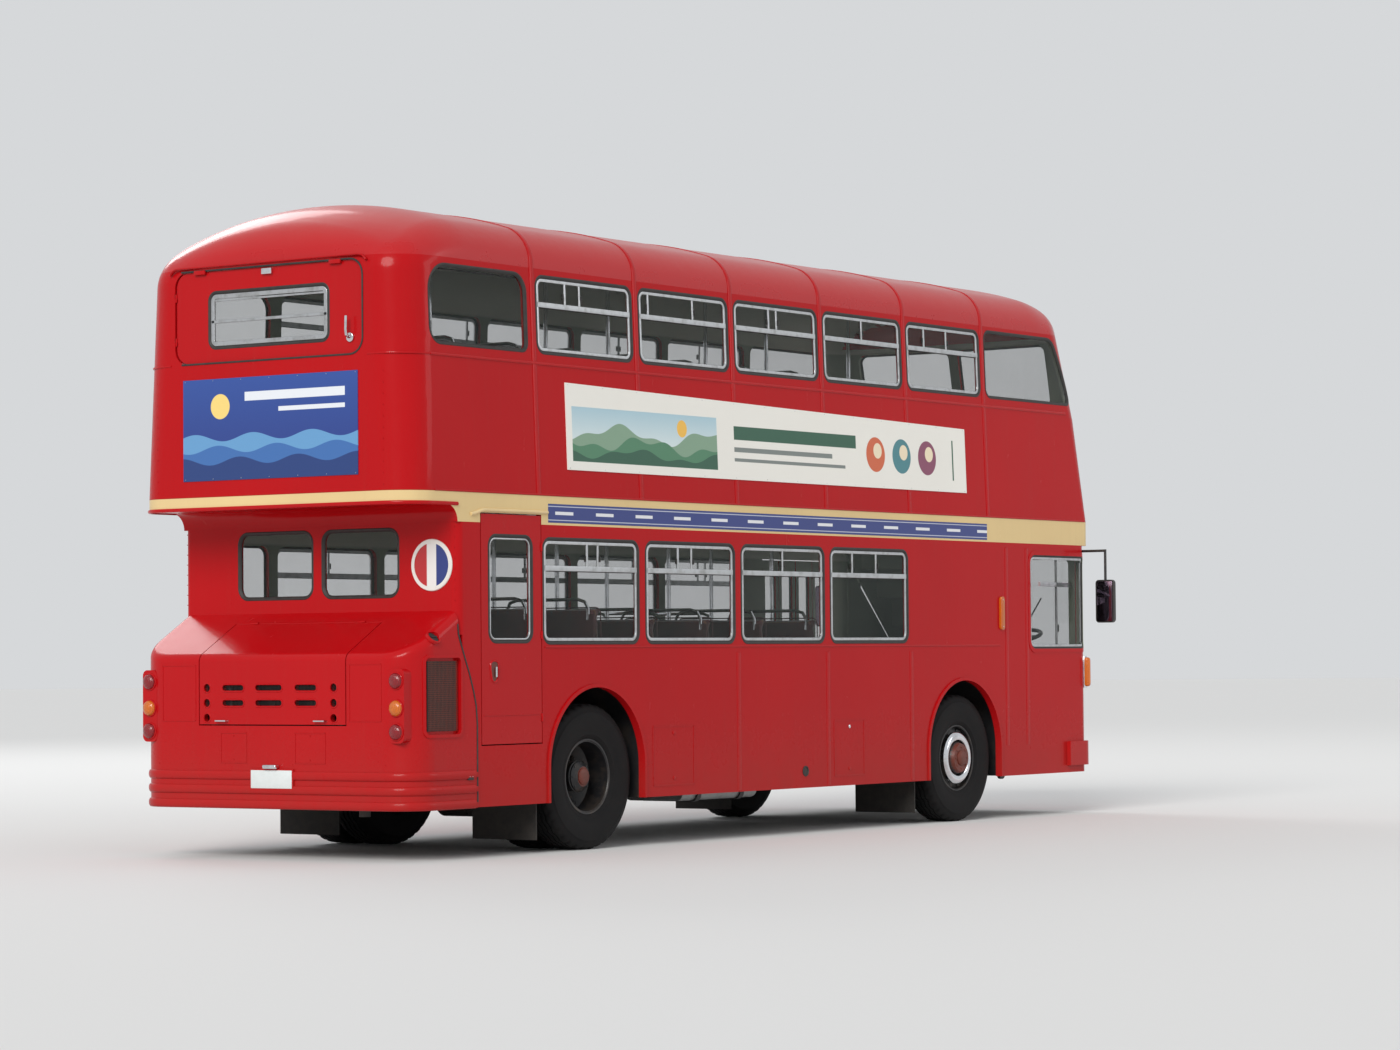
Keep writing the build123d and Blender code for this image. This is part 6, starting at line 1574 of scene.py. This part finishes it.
def inflate(size, step, cap, axis):
    """A pad blown up by Blender's cloth under pressure, pinned on its side that is low along an axis.

    How far a point moves is capped, and the pad's points and faces are given back for copying to its places.
    """
    form = box_grid(size, step, 0.022)
    mesh = bpy.data.meshes.new("pad_start")
    mesh.from_pydata(np.concatenate(form.points).tolist(), [], form.faces)
    tidy_mesh(mesh, True, 60.0)
    start = vectors_of(mesh.vertices, "co")
    faces = [list(p.vertices) for p in mesh.polygons]
    obj = bpy.data.objects.new("pad_start", mesh)
    scene = bpy.context.scene
    scene.collection.objects.link(obj)
    pinned = np.nonzero(start[:, axis] < 0.0015 - size[axis] / 2)[0]
    obj.vertex_groups.new(name="held").add(pinned.tolist(), 1.0, "REPLACE")
    cloth = obj.modifiers.new("pad", "CLOTH")
    for key, value in (("use_pressure", True), ("uniform_pressure_force", 4.0), ("vertex_group_mass", "held"),
                       ("tension_stiffness", 20.0), ("compression_stiffness", 20.0)):
        setattr(cloth.settings, key, value)
    cloth.settings.effector_weights.gravity = 0.0
    cloth.point_cache.frame_start, cloth.point_cache.frame_end = 1, 20
    for number in range(1, 21):
        scene.frame_set(number)
    solved = obj.evaluated_get(bpy.context.evaluated_depsgraph_get())
    moved = vectors_of(solved.to_mesh().vertices, "co") - start
    solved.to_mesh_clear()
    scene.frame_set(1)
    bpy.data.objects.remove(obj)
    bpy.data.meshes.remove(mesh)
    moved *= np.minimum(1.0, cap / np.maximum(np.linalg.norm(moved, axis=1, keepdims=True), 1e-9))
    return start + moved, faces


def seat_places():
    """Each seat: its cushion's rear x, low and high y and underside, the back's height, the floor or None."""
    lower = [REAR_AXLE_X + 0.927 + 0.7 * i for i in range(5)]
    upper = [REAR_X + 0.822 + 0.7 * i for i in range(11)]
    arches = [REAR_AXLE_X - 0.47, REAR_AXLE_X + 0.25]
    places = []
    for spots, side, z, tall, floor in ((lower[:4], -1, LOWER_FLOOR + 0.33, 0.56, LOWER_FLOOR),
                                        (lower, 1, LOWER_FLOOR + 0.33, 0.56, LOWER_FLOOR),
                                        (upper, 1, UPPER_FLOOR + 0.33, 0.56, UPPER_FLOOR),
                                        (upper[:7], -1, UPPER_FLOOR + 0.33, 0.56, UPPER_FLOOR),
                                        (arches, -1, 1.165, 0.47, None), (arches, 1, 1.165, 0.47, None)):
        places += [(x, *sorted((side * 0.27, side * 1.09)), z, tall, floor) for x in spots]
    return places + [(RECESS_X + 0.165, y, y + 0.82, LOWER_FLOOR + 0.33, 0.56, None) for y in (-0.54, 0.28)]


def add_pads():
    """All seat pads: one cushion and one back blown up once each, and copied to every seat."""
    cushion, cushion_faces = inflate((0.410, 0.800, 0.085), 0.032, 0.026, 2)
    back, back_faces = inflate((0.066, 0.800, 0.545), 0.032, 0.024, 0)
    seats, backs, piping = Form(), Form(), Form()
    for x, y0, y1, z, tall, _ in seat_places():
        middle, width = (y0 + y1) / 2, (y1 - y0) / 0.82
        seats.add(cushion * (1.0, width, 1.0) + (x + 0.212, middle, z + 0.044), cushion_faces)
        backs.add(back * (1.0, width, tall / 0.56) + (x - 0.049, middle, z + 0.06 + tall / 2), back_faces)
        # Vinyl piping round the cushion's sides and round the back's front edge
        for level in (z + 0.020, z + 0.082):
            add_piping(piping, 2, level, rounded_loop(x + 0.006, x + 0.418, y0 + 0.004, y1 - 0.004, 0.035))
        loop = rounded_loop(y0 + 0.006, y1 - 0.006, z + 0.075, z + 0.048 + tall, 0.045)
        add_piping(piping, 0, x - 0.018, loop)
    cushions = seats.build("seat_cushions", "seat_cloth", "moquette", crease=60.0)
    rests = backs.build("seat_backs", "seat_cloth", "moquette", crease=60.0)
    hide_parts("seat_pads")
    piping.build("seat_piping", "seat_cloth", "vinyl")


def add_piping(form, axis, level, loop, r=0.0045):
    """Piping along a loop that lies flat at one level along an axis."""
    form.tube(np.insert(loop, axis, level, axis=1), r, np.eye(3)[axis], 6, True)


def rounded_loop(a0, a1, b0, b1, r):
    """A rectangle's outline with round corners, as pairs."""
    angle = np.radians(np.linspace(0, 90, 5))
    found = []
    corners = ((a1 - r, b1 - r, 0), (a0 + r, b1 - r, 90), (a0 + r, b0 + r, 180), (a1 - r, b0 + r, 270))
    for ca, cb, start in corners:
        for turn in angle + np.radians(start):
            found.append((ca + r * np.cos(turn), cb + r * np.sin(turn)))
    return np.array(found)


def seat_rails():
    """Bright grab rails over the seat backs, corner handles, and the seats' foot plates."""
    form = Form()
    for x, y0, y1, z, tall, floor in seat_places():
        top = z + 0.06 + tall
        bend = ((0.05, -0.10), (0.05, -0.02), (0.08, 0.028), (0.14, 0.045))
        path = [(x - 0.105, y0 + dy, top + dz) for dy, dz in bend]
        path += [(x - 0.105, y1 - dy, top + dz) for dy, dz in bend[::-1]]
        form.tube(path, 0.012, (1, 0, 0), 8)
        if floor is not None:
            leg = np.sign(y0 + y1) * 0.39
            form.block((x + 0.04, leg - 0.035, floor), (x + 0.34, leg + 0.035, floor + 0.008), 0.003, 1)
            form.domes([(x + dx, leg + dy, floor + 0.008) for dx in (0.07, 0.19, 0.31)
                        for dy in (-0.026, 0.026)], (0, 0, 1), 0.007, mark=1)
    form.build("seat_rails", "bright_metal", "chrome", "galvanised")


def ceiling_z(y):
    """The inner face of the roof over a distance from the middle."""
    return HEIGHT - CROWN_R + np.sqrt(CROWN_R**2 - np.asarray(y, float) ** 2) - 0.055


def ceiling_parts():
    """Round lamps and cover strips under the roof and under the upper floor."""
    form = Form()
    lamps = [(x, y, float(ceiling_z(y))) for x in np.arange(-3.6, 4.0, 1.2) for y in (-0.55, 0.55)]
    lamps += [(x, y, 2.44) for x in np.arange(-3.2, 3.3, 1.2) for y in (-0.62, 0.62) if y > 0 or x < 1.5]
    for place in lamps:
        form.lathe([(0.085, 0.004), (0.085, 0.016), (0.070, 0.026), (0.0, 0.030)], place, (0, 0, -1), 24)
        rim = [(0.085, 0.0), (0.098, 0.0), (0.098, 0.010), (0.085, 0.018)]
        form.lathe(rim, place, (0, 0, -1), 24, 1, True)
    y = np.linspace(-0.90, 0.90, 24)
    for x in PILLARS:
        path = np.column_stack([np.full(24, x), y, ceiling_z(y)])
        form.strip(path, (0, 0, -1), 0.044, -0.004, 0.008, mark=2)
        if x < 1.5:
            form.strip([(x, -1.16, 2.44), (x, 1.16, 2.44)], (0, 0, -1), 0.044, -0.002, 0.006, mark=2)
    form.build("ceiling_parts", "inner_panel", "light_cover", "chrome", "inner_panel")


def driver_seat():
    """The driver's seat: a base, a column and a pan, with a cushion and a back blown up like the others."""
    y = -0.70
    form = Form()
    form.block((3.63, y - 0.14, LOWER_FLOOR), (3.93, y + 0.14, LOWER_FLOOR + 0.03), 0.010, 0, 3)
    form.lathe([(0.085, 0.0), (0.075, 0.02), (0.055, 0.06), (0.050, 0.30)],
               (3.78, y, LOWER_FLOOR + 0.025), (0, 0, 1), 28)
    form.block((3.59, y - 0.20, 0.985), (3.98, y + 0.20, 1.040), 0.012, 0, 3)
    form.block((3.488, y - 0.19, 1.02), (3.510, y + 0.19, 1.68), 0.008, 1, 3)
    form.block((3.50, y - 0.12, 1.00), (3.62, y + 0.12, 1.03), 0.008)
    base = form.build("driver_seat_base", "seat_steel", "black_steel", "plastic")
    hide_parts("driver_seat")
    pads, piping = Form(), Form()
    for size, cap, axis, place in (((0.405, 0.430, 0.085), 0.022, 2, (3.785, y, 1.086)),
                                   ((0.062, 0.430, 0.620), 0.020, 0, (3.545, y, 1.410))):
        points, faces = inflate(size, 0.026, cap, axis)
        pads.add(points + place, faces)
    add_piping(piping, 2, 1.122, rounded_loop(3.585, 3.985, y - 0.213, y + 0.213, 0.04), 0.004)
    add_piping(piping, 0, 3.574, rounded_loop(y - 0.213, y + 0.213, 1.108, 1.712, 0.05), 0.004)
    pads.build("driver_seat_pads", "seat_cloth", "vinyl", crease=60.0)
    piping.build("driver_seat_piping", "seat_cloth", "seal")


def stair_cupboard():
    """The cupboard under the stairs: a panel below the open string, with a door, its edge and a knob."""
    form = Form()
    outline = np.array([(1.835, 0.70), (3.215, 0.70), (1.835, 2.055)])
    middle = outline.mean(axis=0) - [0.1, 0.1]
    for y0, y1, share, mark in ((-0.500, -0.488, 1.0, 0), (-0.489, -0.484, 0.736, 1)):
        edge = even_ring(np.insert(middle + (outline - middle) * share, 1, 0.0, axis=1), 0.02)
        form.grid(np.stack([edge + [0, y, 0] for y in (y0, y1)]), wrap_v=True, caps=True, mark=mark)
    form.lathe([(0.012, 0.0), (0.010, 0.012), (0.018, 0.022), (0.014, 0.030), (0.0, 0.031)],
               (2.55, -0.484, 1.00), (0, 1, 0), 20, 2)
    form.build("stair_cupboard", "inner_panel", "inner_panel", "wood", "chrome")


def floor_parts():
    """Wooden slats and bright edges of the gangways."""
    form = Form()
    for floor, x0, x1 in ((LOWER_FLOOR, -3.42, 2.9), (UPPER_FLOOR, -4.3, 3.9)):
        for y in np.linspace(-0.20, 0.20, 7):
            form.block((x0, y - 0.020, floor), (x1, y + 0.020, floor + 0.006), 0.003, 0, 1)
        for y in (-0.245, 0.245):
            form.block((x0, y - 0.006, floor), (x1, y + 0.006, floor + 0.008), 0.003, 1, 1)
    form.build("gangway_slats", "floor_grey", "wood", "aluminium")


def finish_inside():
    """The inner solids' finishes: floors, walls, stairs, seat frames, rails, dashboard and steering wheel."""
    dress("lower_floor", "floor_grey", "floor")
    dress("upper_floor", "floor_grey", "floor", "inner_panel",
          pick=lambda middles, normals: normals[:, 2] < -0.5)
    dress("staircase", "inner_panel", "inner_panel", "floor",
          pick=lambda middles, normals: normals[:, 2] > 0.7)
    for node, slot, name in (("cab_wall", "inner_panel", "inner_panel"),
                             ("seat_frames", "seat_steel", "vinyl"),
                             ("handrails", "bright_metal", "chrome"),
                             ("dashboard", "black_plastic", "plastic"),
                             ("steering_wheel", "black_plastic", "plastic")):
        dress(node, slot, name)


def cab_parts():
    """Dials, switches, a lever and a fare box in the driver's area."""
    form = Form()
    for y, r in ((-0.86, 0.045), (-0.74, 0.060), (-0.60, 0.045), (-0.49, 0.032)):
        centre = (4.300, y, 1.272)
        form.lathe([(0.0, 0.0), (r, 0.0), (r, 0.012), (r * 0.9, 0.014), (r * 0.88, 0.008), (0.0, 0.008)],
                   centre, (-0.3, 0, 1), 24)
        rim = [(r * 0.9, 0.010), (r, 0.012), (r, 0.018), (r * 0.9, 0.016)]
        form.lathe(rim, centre, (-0.3, 0, 1), 24, 1, True)
    for k, y in enumerate(np.linspace(-1.12, -0.96, 5)):
        form.bar((4.285, y, 1.268), (4.280, y, 1.290), 0.006, 8, 1 if k % 2 else 2)
    form.bar((4.00, -0.40, 1.02), (4.02, -0.40, 1.22), 0.007, 8, 1)
    form.lathe([(0.0, 0.0), (0.018, 0.006), (0.020, 0.018), (0.012, 0.034), (0.0, 0.036)],
               (4.02, -0.40, 1.215), (0, 0, 1), 16, 2)
    form.block((3.90, -0.295, 1.52), (4.10, -0.115, 1.78), 0.015, 3, 3)
    form.block((3.86, -0.315, 1.68), (4.15, -0.095, 1.70), 0.008, 3)
    form.block((3.93, -0.265, 1.78), (4.07, -0.145, 1.80), 0.006, 1)
    form.build("cab_parts", "black_plastic", "plastic", "chrome", "seal", "white_enamel")


def ceiling_rails():
    """Bright rails beside the gangways, under both ceilings."""
    form = Form()
    for z in (2.28, 4.17):
        for side, end in ((-1, 1.4), (1, 2.6)):
            form.bar((-3.2, side * 0.36, z), (end, side * 0.36, z), 0.011, 8)
    form.build("ceiling_rails", "bright_metal", "chrome")


def finish_chassis():
    """The running gear's solids with their finishes."""
    iron = "front_axle rear_axle knuckle_left knuckle_right engine_block exhaust"
    table = (("chassis_frame outriggers air_tanks", "steel_black", "black_steel"),
             (iron, "engine_iron", "iron"),
             ("fuel_tank", "steel_black", "galvanised"), ("mudflaps", "flap_rubber", "flap"),
             ("front_bumper", "red_paint", "red"), ("mirrors", "steel_black", "plastic"),
             ("rear_lamps", "lamp_red", "red"), ("front_lamps", "lamp_clear", "chrome"),
             ("side_lamps", "lamp_amber", "amber_lens"))
    for nodes, slot, name in table:
        for node in nodes.split():
            dress(node, slot, name)


def strap(form, x, loop, half, thick):
    """A flat strap round a tank at one x."""
    form.sweep(np.insert(loop, 0, x, axis=1), (1, 0, 0),
               [(-0.001, -half), (thick, -half), (thick, half), (-0.001, half)], True)


def chassis_parts():
    """Bolts and pipes of the frame, and the straps of the fuel tank and of the air tanks."""
    form = Form()
    for side in (-1, 1):
        places = [(x, side * 0.471, z) for x in np.arange(-4.2, 4.3, 0.30) for z in (0.46, 0.60)]
        form.domes(places, (0, side, 0), 0.010, 0.7, 6, 1)
    for x in (-1.15, -0.60):
        strap(form, x, rounded_loop(-1.114, -0.586, 0.286, 0.534, 0.05), 0.025, 0.005)
    angle = np.linspace(0, 2 * np.pi, 32, endpoint=False)
    circle = 0.112 * np.column_stack([np.cos(angle), np.sin(angle)])
    for y in (0.65, 0.93):
        for x in (0.18, 0.72):
            strap(form, x, circle + (y, 0.40), 0.018, 0.004)
    # Pipes along the frame's inner side
    for z in (0.50, 0.53, 0.56):
        form.bar((-3.9, 0.36, z), (3.9, 0.36, z), 0.006, 8, 2)
    for x in np.arange(-3.6, 3.7, 0.6):
        form.block((x - 0.012, 0.352, 0.485), (x + 0.012, 0.372, 0.575), 0.003, 1)
    form.build("chassis_parts", "steel_black", "black_steel", "galvanised", "hub_brown")


def flap_parts():
    """Clamping strips and bolts of the mudflaps."""
    form = Form()
    for side in (-1, 1):
        for x in (-3.147, 1.754):
            form.block((x - 0.006, side * 0.62, 0.375), (x, side * 1.13, 0.405), 0.002)
            places = [(x - 0.006, side * y, 0.390) for y in np.linspace(0.67, 1.08, 5)]
            form.domes(places, (-1, 0, 0), 0.008, 0.6, 6, 1)
    form.build("mudflap_strips", "steel_black", "galvanised", "chrome")


def engine_parts():
    """What shows of the engine: ribs and plugs under it, and its covers, bolts and pipes by the bonnet."""
    form = Form()
    face, top = REAR_X + 0.090, 1.290
    for middle in (-0.42, 0.08):
        form.block((-4.42, middle - 0.22, top - 0.004), (-4.25, middle + 0.22, top + 0.048), 0.016, 0, 3)
        nuts = [(-4.335, middle + dy, top + 0.048) for dy in (-0.15, 0.0, 0.15)]
        form.domes(nuts, (0, 0, 1), 0.012, 0.7, 8, 1)
        for y in (middle - 0.14, middle, middle + 0.14):
            form.block((face - 0.012, y - 0.06, 0.93), (face + 0.002, y + 0.06, 1.12), 0.006)
            bolts = [(face - 0.012, y + dy, z) for dy in (-0.048, 0.048) for z in (0.942, 1.108)]
            form.domes(bolts, (-1, 0, 0), 0.006, 0.7, 6, 1)
            form.tube([(face + 0.004, y, 1.165), (face - 0.014, y, 1.175), (face - 0.022, y, 1.215)],
                      0.013, (0, 1, 0))
    form.bar((face - 0.022, -0.66, 1.215), (face - 0.022, 0.32, 1.215), 0.019, 14)
    form.tube([(face - 0.020, 0.36, 0.80), (face - 0.020, 0.40, 1.10), (face - 0.016, 0.42, 1.25),
               (face + 0.050, 0.44, top + 0.020), (face + 0.200, 0.46, top + 0.022)],
              0.022, (0, 1, 0), 12, False, 2)
    form.lathe([(0.036, 0.0), (0.036, 0.030), (0.030, 0.036), (0.0, 0.036)],
               (-4.335, -0.17, top), (0, 0, 1), 20, 2)
    # The ribs and plugs of the sump
    for x in np.linspace(-4.40, -4.16, 6):
        form.block((x - 0.008, -0.70, 0.386), (x + 0.008, 0.64, 0.404), 0.003, 0, 1)
    for y in np.linspace(-0.55, 0.55, 5):
        form.lathe([(0.030, 0.0), (0.030, 0.010), (0.016, 0.018), (0.0, 0.018)],
                   (-4.30, y, 0.400), (0, 0, -1), 12, 1)
    form.build("engine_parts", "engine_iron", "iron", "galvanised", "black_steel")


def set_camera():
    """The photo's camera: its place, its look and its slight roll, found by a fit to points of the bus."""
    data = bpy.data.cameras.new("photo_camera")
    data.lens = 98.69
    data.sensor_width = 36.0
    data.clip_end = 200.0
    camera = bpy.data.objects.new("photo_camera", data)
    bpy.context.scene.collection.objects.link(camera)
    look = unit([0.81969, 0.57177, 0.03448])
    level = unit(np.cross(look, [0, 0, 1]))
    above = np.cross(level, look)
    turn = np.radians(-0.4815)
    right = level * np.cos(turn) + above * np.sin(turn)
    up = np.cross(right, look)
    axes = np.eye(4)
    axes[:3, 0], axes[:3, 1], axes[:3, 2] = right, up, -look
    axes[:3, 3] = (-24.001, -17.082, 1.326)
    camera.matrix_world = Matrix(axes.tolist())
    bpy.context.scene.camera = camera
    return camera


def add_light(name, place, target, kind, size, power, tint=(1.0, 1.0, 1.0)):
    """A soft light that points from its place to a target: a square one, or a far one as wide as an angle."""
    data = bpy.data.lights.new(name, kind)
    data.energy = power
    if kind == "AREA":
        data.size = size
    else:
        data.angle = size
    data.color = tint
    lamp = bpy.data.objects.new(name, data)
    lamp.location = place
    lamp.rotation_euler = (Vector(target) - Vector(place)).to_track_quat("-Z", "Y").to_euler()
    bpy.context.scene.collection.objects.link(lamp)
    return lamp


def set_world(level):
    """A plain pale studio: soft light for the scene, and a pale ground for the camera, glass and gloss."""
    world = bpy.data.worlds.new("studio")
    world.use_nodes = True
    tree = world.node_tree
    tree.nodes.clear()
    path = tree.nodes.new("ShaderNodeLightPath")
    seen = path.outputs["Is Camera Ray"]
    for ray in ("Is Transmission Ray", "Is Glossy Ray"):
        either = tree.nodes.new("ShaderNodeMath")
        either.operation = "MAXIMUM"
        tree.links.new(seen, either.inputs[0])
        tree.links.new(path.outputs[ray], either.inputs[1])
        seen = either.outputs[0]
    mix = tree.nodes.new("ShaderNodeMixShader")
    tree.links.new(seen, mix.inputs[0])
    for number, colour, strength in ((1, (0.95, 0.97, 1.0, 1.0), level), (2, shade(214, 216, 218), 1.0)):
        ground = tree.nodes.new("ShaderNodeBackground")
        ground.inputs["Color"].default_value = colour
        ground.inputs["Strength"].default_value = strength
        tree.links.new(ground.outputs[0], mix.inputs[number])
    end = tree.nodes.new("ShaderNodeOutputWorld")
    tree.links.new(mix.outputs[0], end.inputs[0])
    bpy.context.scene.world = world


def add_floor():
    """A plain pale floor just under the tyres."""
    made = Finish("studio_floor", roughness=0.9, base_color=shade(222, 222, 221))
    mesh = bpy.data.meshes.new("studio_floor")
    turn = np.linspace(0, 2 * np.pi, 96, endpoint=False)
    rim = np.stack([170.0 * np.cos(turn), 170.0 * np.sin(turn), np.full(96, -0.002)], axis=1)
    mesh.from_pydata(rim.tolist(), [], [list(range(96))])
    mesh.materials.append(made.material)
    floor = bpy.data.objects.new("studio_floor", mesh)
    bpy.context.scene.collection.objects.link(floor)
    return floor


def set_stage(look):
    """Camera, lights, world and floor."""
    bpy.context.scene.view_settings.view_transform = "Standard"
    set_world(look.sky_level)
    camera = set_camera()
    key = add_light("key_light", (-30.0, -9.0, 20.0), (-1.0, 0.0, 2.0), "SUN", 0.5, look.key_power,
                    (1.0, 0.98, 0.95))
    fill = add_light("fill_light", (16.0, -28.0, 12.0), (1.0, 0.0, 2.2), "AREA", 12.0, 900.0)
    back = add_light("back_light", (12.0, 24.0, 20.0), (0.0, 0.0, 2.0), "AREA", 12.0, 1800.0)
    add_floor()


class BusLook(bpy.types.PropertyGroup):
    """The few values that the whole look hangs on."""

    red: bpy.props.FloatVectorProperty(
        name="Red", description="Body colour", subtype="COLOR", size=4, default=shade(180, 14, 20))
    cream: bpy.props.FloatVectorProperty(
        name="Cream", description="Colour of the band", subtype="COLOR", size=4, default=shade(226, 200, 146))
    blue: bpy.props.FloatVectorProperty(
        name="Blue", description="Colour of the printed panels", subtype="COLOR", size=4,
        default=shade(28, 48, 122))
    cloth: bpy.props.FloatVectorProperty(
        name="Cloth", description="Ground colour of the seats", subtype="COLOR", size=4,
        default=shade(92, 30, 34))
    vinyl: bpy.props.FloatVectorProperty(
        name="Vinyl", description="Colour of the seat edges", subtype="COLOR", size=4,
        default=shade(66, 24, 28))
    sky_level: bpy.props.FloatProperty(
        name="Sky level", description="Strength of the soft light from all round", default=0.60, min=0.0)
    key_power: bpy.props.FloatProperty(
        name="Key power", description="Strength of the main light", default=2.1, min=0.0)


class BUS_OT_paint(bpy.types.Operator):
    """Make the finishes and paint the body's solids"""

    bl_idname = "bus.paint"
    bl_label = "Paint the body"

    def execute(self, context):
        make_all_finishes(context.scene.bus_look)
        paint_body()
        return {"FINISHED"}


class BUS_OT_trim(bpy.types.Operator):
    """Add the strips, rivets, beads and panels of the sides"""

    bl_idname = "bus.trim"
    bl_label = "Trim the sides"

    def execute(self, context):
        joint_strips()
        side_rivets()
        side_mouldings()
        door_gutter()
        side_sheets()
        band_strip()
        side_small_parts()
        return {"FINISHED"}


class BUS_OT_windows(bpy.types.Operator):
    """Glaze the bus and add the rubbers, bright frames and sliding bars of its windows"""

    bl_idname = "bus.windows"
    bl_label = "Fit the windows"

    def execute(self, context):
        glaze()
        window_frames()
        door_frames()
        return {"FINISHED"}


class BUS_OT_rear(bpy.types.Operator):
    """Add the lamps, panel, vents, plate, sign and small parts of the rear"""

    bl_idname = "bus.rear"
    bl_label = "Fit out the rear"

    def execute(self, context):
        rear_door_trim()
        rear_panel()
        rear_beads()
        rear_lamps()
        vent_mesh()
        slot_rims()
        rear_small_parts()
        housing_seams()
        bustle_ribs()
        rear_rivets()
        return {"FINISHED"}


class BUS_OT_front(bpy.types.Operator):
    """Add the lamps, wipers, destination screen, plate and mirrors of the front"""

    bl_idname = "bus.front"
    bl_label = "Fit out the front"

    def execute(self, context):
        destination_glass()
        wipers()
        front_lamps()
        side_lamps()
        front_small_parts()
        mirror_parts()
        return {"FINISHED"}


class BUS_OT_doors(bpy.types.Operator):
    """Paint the doors and add their handles, rubbers and rails"""

    bl_idname = "bus.doors"
    bl_label = "Finish the doors"

    def execute(self, context):
        trim_doors()
        return {"FINISHED"}


class BUS_OT_wheels(bpy.types.Operator):
    """Add treaded tyres, nuts, hubs and hand holes to the wheels"""

    bl_idname = "bus.wheels"
    bl_label = "Finish the wheels"

    def execute(self, context):
        all_wheels()
        return {"FINISHED"}


class BUS_OT_inside(bpy.types.Operator):
    """Blow up and place the seat pads, and add rails, lamps, slats and the cab's small parts"""

    bl_idname = "bus.inside"
    bl_label = "Furnish the inside"

    def execute(self, context):
        finish_inside()
        add_pads()
        driver_seat()
        stair_cupboard()
        seat_rails()
        ceiling_parts()
        floor_parts()
        cab_parts()
        ceiling_rails()
        return {"FINISHED"}


class BUS_OT_chassis(bpy.types.Operator):
    """Finish the running gear and add its straps, bolts, pipes and flaps' strips"""

    bl_idname = "bus.chassis"
    bl_label = "Finish the running gear"

    def execute(self, context):
        finish_chassis()
        chassis_parts()
        flap_parts()
        engine_parts()
        return {"FINISHED"}


class BUS_OT_stage(bpy.types.Operator):
    """Set the camera, the lights and the plain floor"""

    bl_idname = "bus.stage"
    bl_label = "Set the stage"

    def execute(self, context):
        set_stage(context.scene.bus_look)
        return {"FINISHED"}


class BUS_PT_panel(bpy.types.Panel):
    """The steps of the look, in order, and its values"""

    bl_label = "Double decker bus"
    bl_idname = "BUS_PT_panel"
    bl_space_type = "VIEW_3D"
    bl_region_type = "UI"
    bl_category = "Bus"

    def draw(self, context):
        look = context.scene.bus_look
        for name in COLOURS + ("sky_level", "key_power"):
            self.layout.prop(look, name)
        for step in STEPS:
            self.layout.operator(step.bl_idname)


STEPS = (BUS_OT_paint, BUS_OT_trim, BUS_OT_windows, BUS_OT_rear, BUS_OT_front, BUS_OT_doors, BUS_OT_wheels,
         BUS_OT_inside, BUS_OT_chassis, BUS_OT_stage)
CLASSES = (BusLook,) + STEPS + (BUS_PT_panel,)


def register():
    for item in CLASSES:
        bpy.utils.register_class(item)
    bpy.types.Scene.bus_look = bpy.props.PointerProperty(type=BusLook)


def unregister():
    del bpy.types.Scene.bus_look
    for item in reversed(CLASSES):
        bpy.utils.unregister_class(item)


def main():
    """Runs each step in order."""
    register()
    for step in STEPS:
        group, name = step.bl_idname.split(".")
        if getattr(getattr(bpy.ops, group), name)() != {"FINISHED"}:
            raise RuntimeError("the step " + step.bl_label + " didn't finish")


if __name__ == "__main__":
    main()
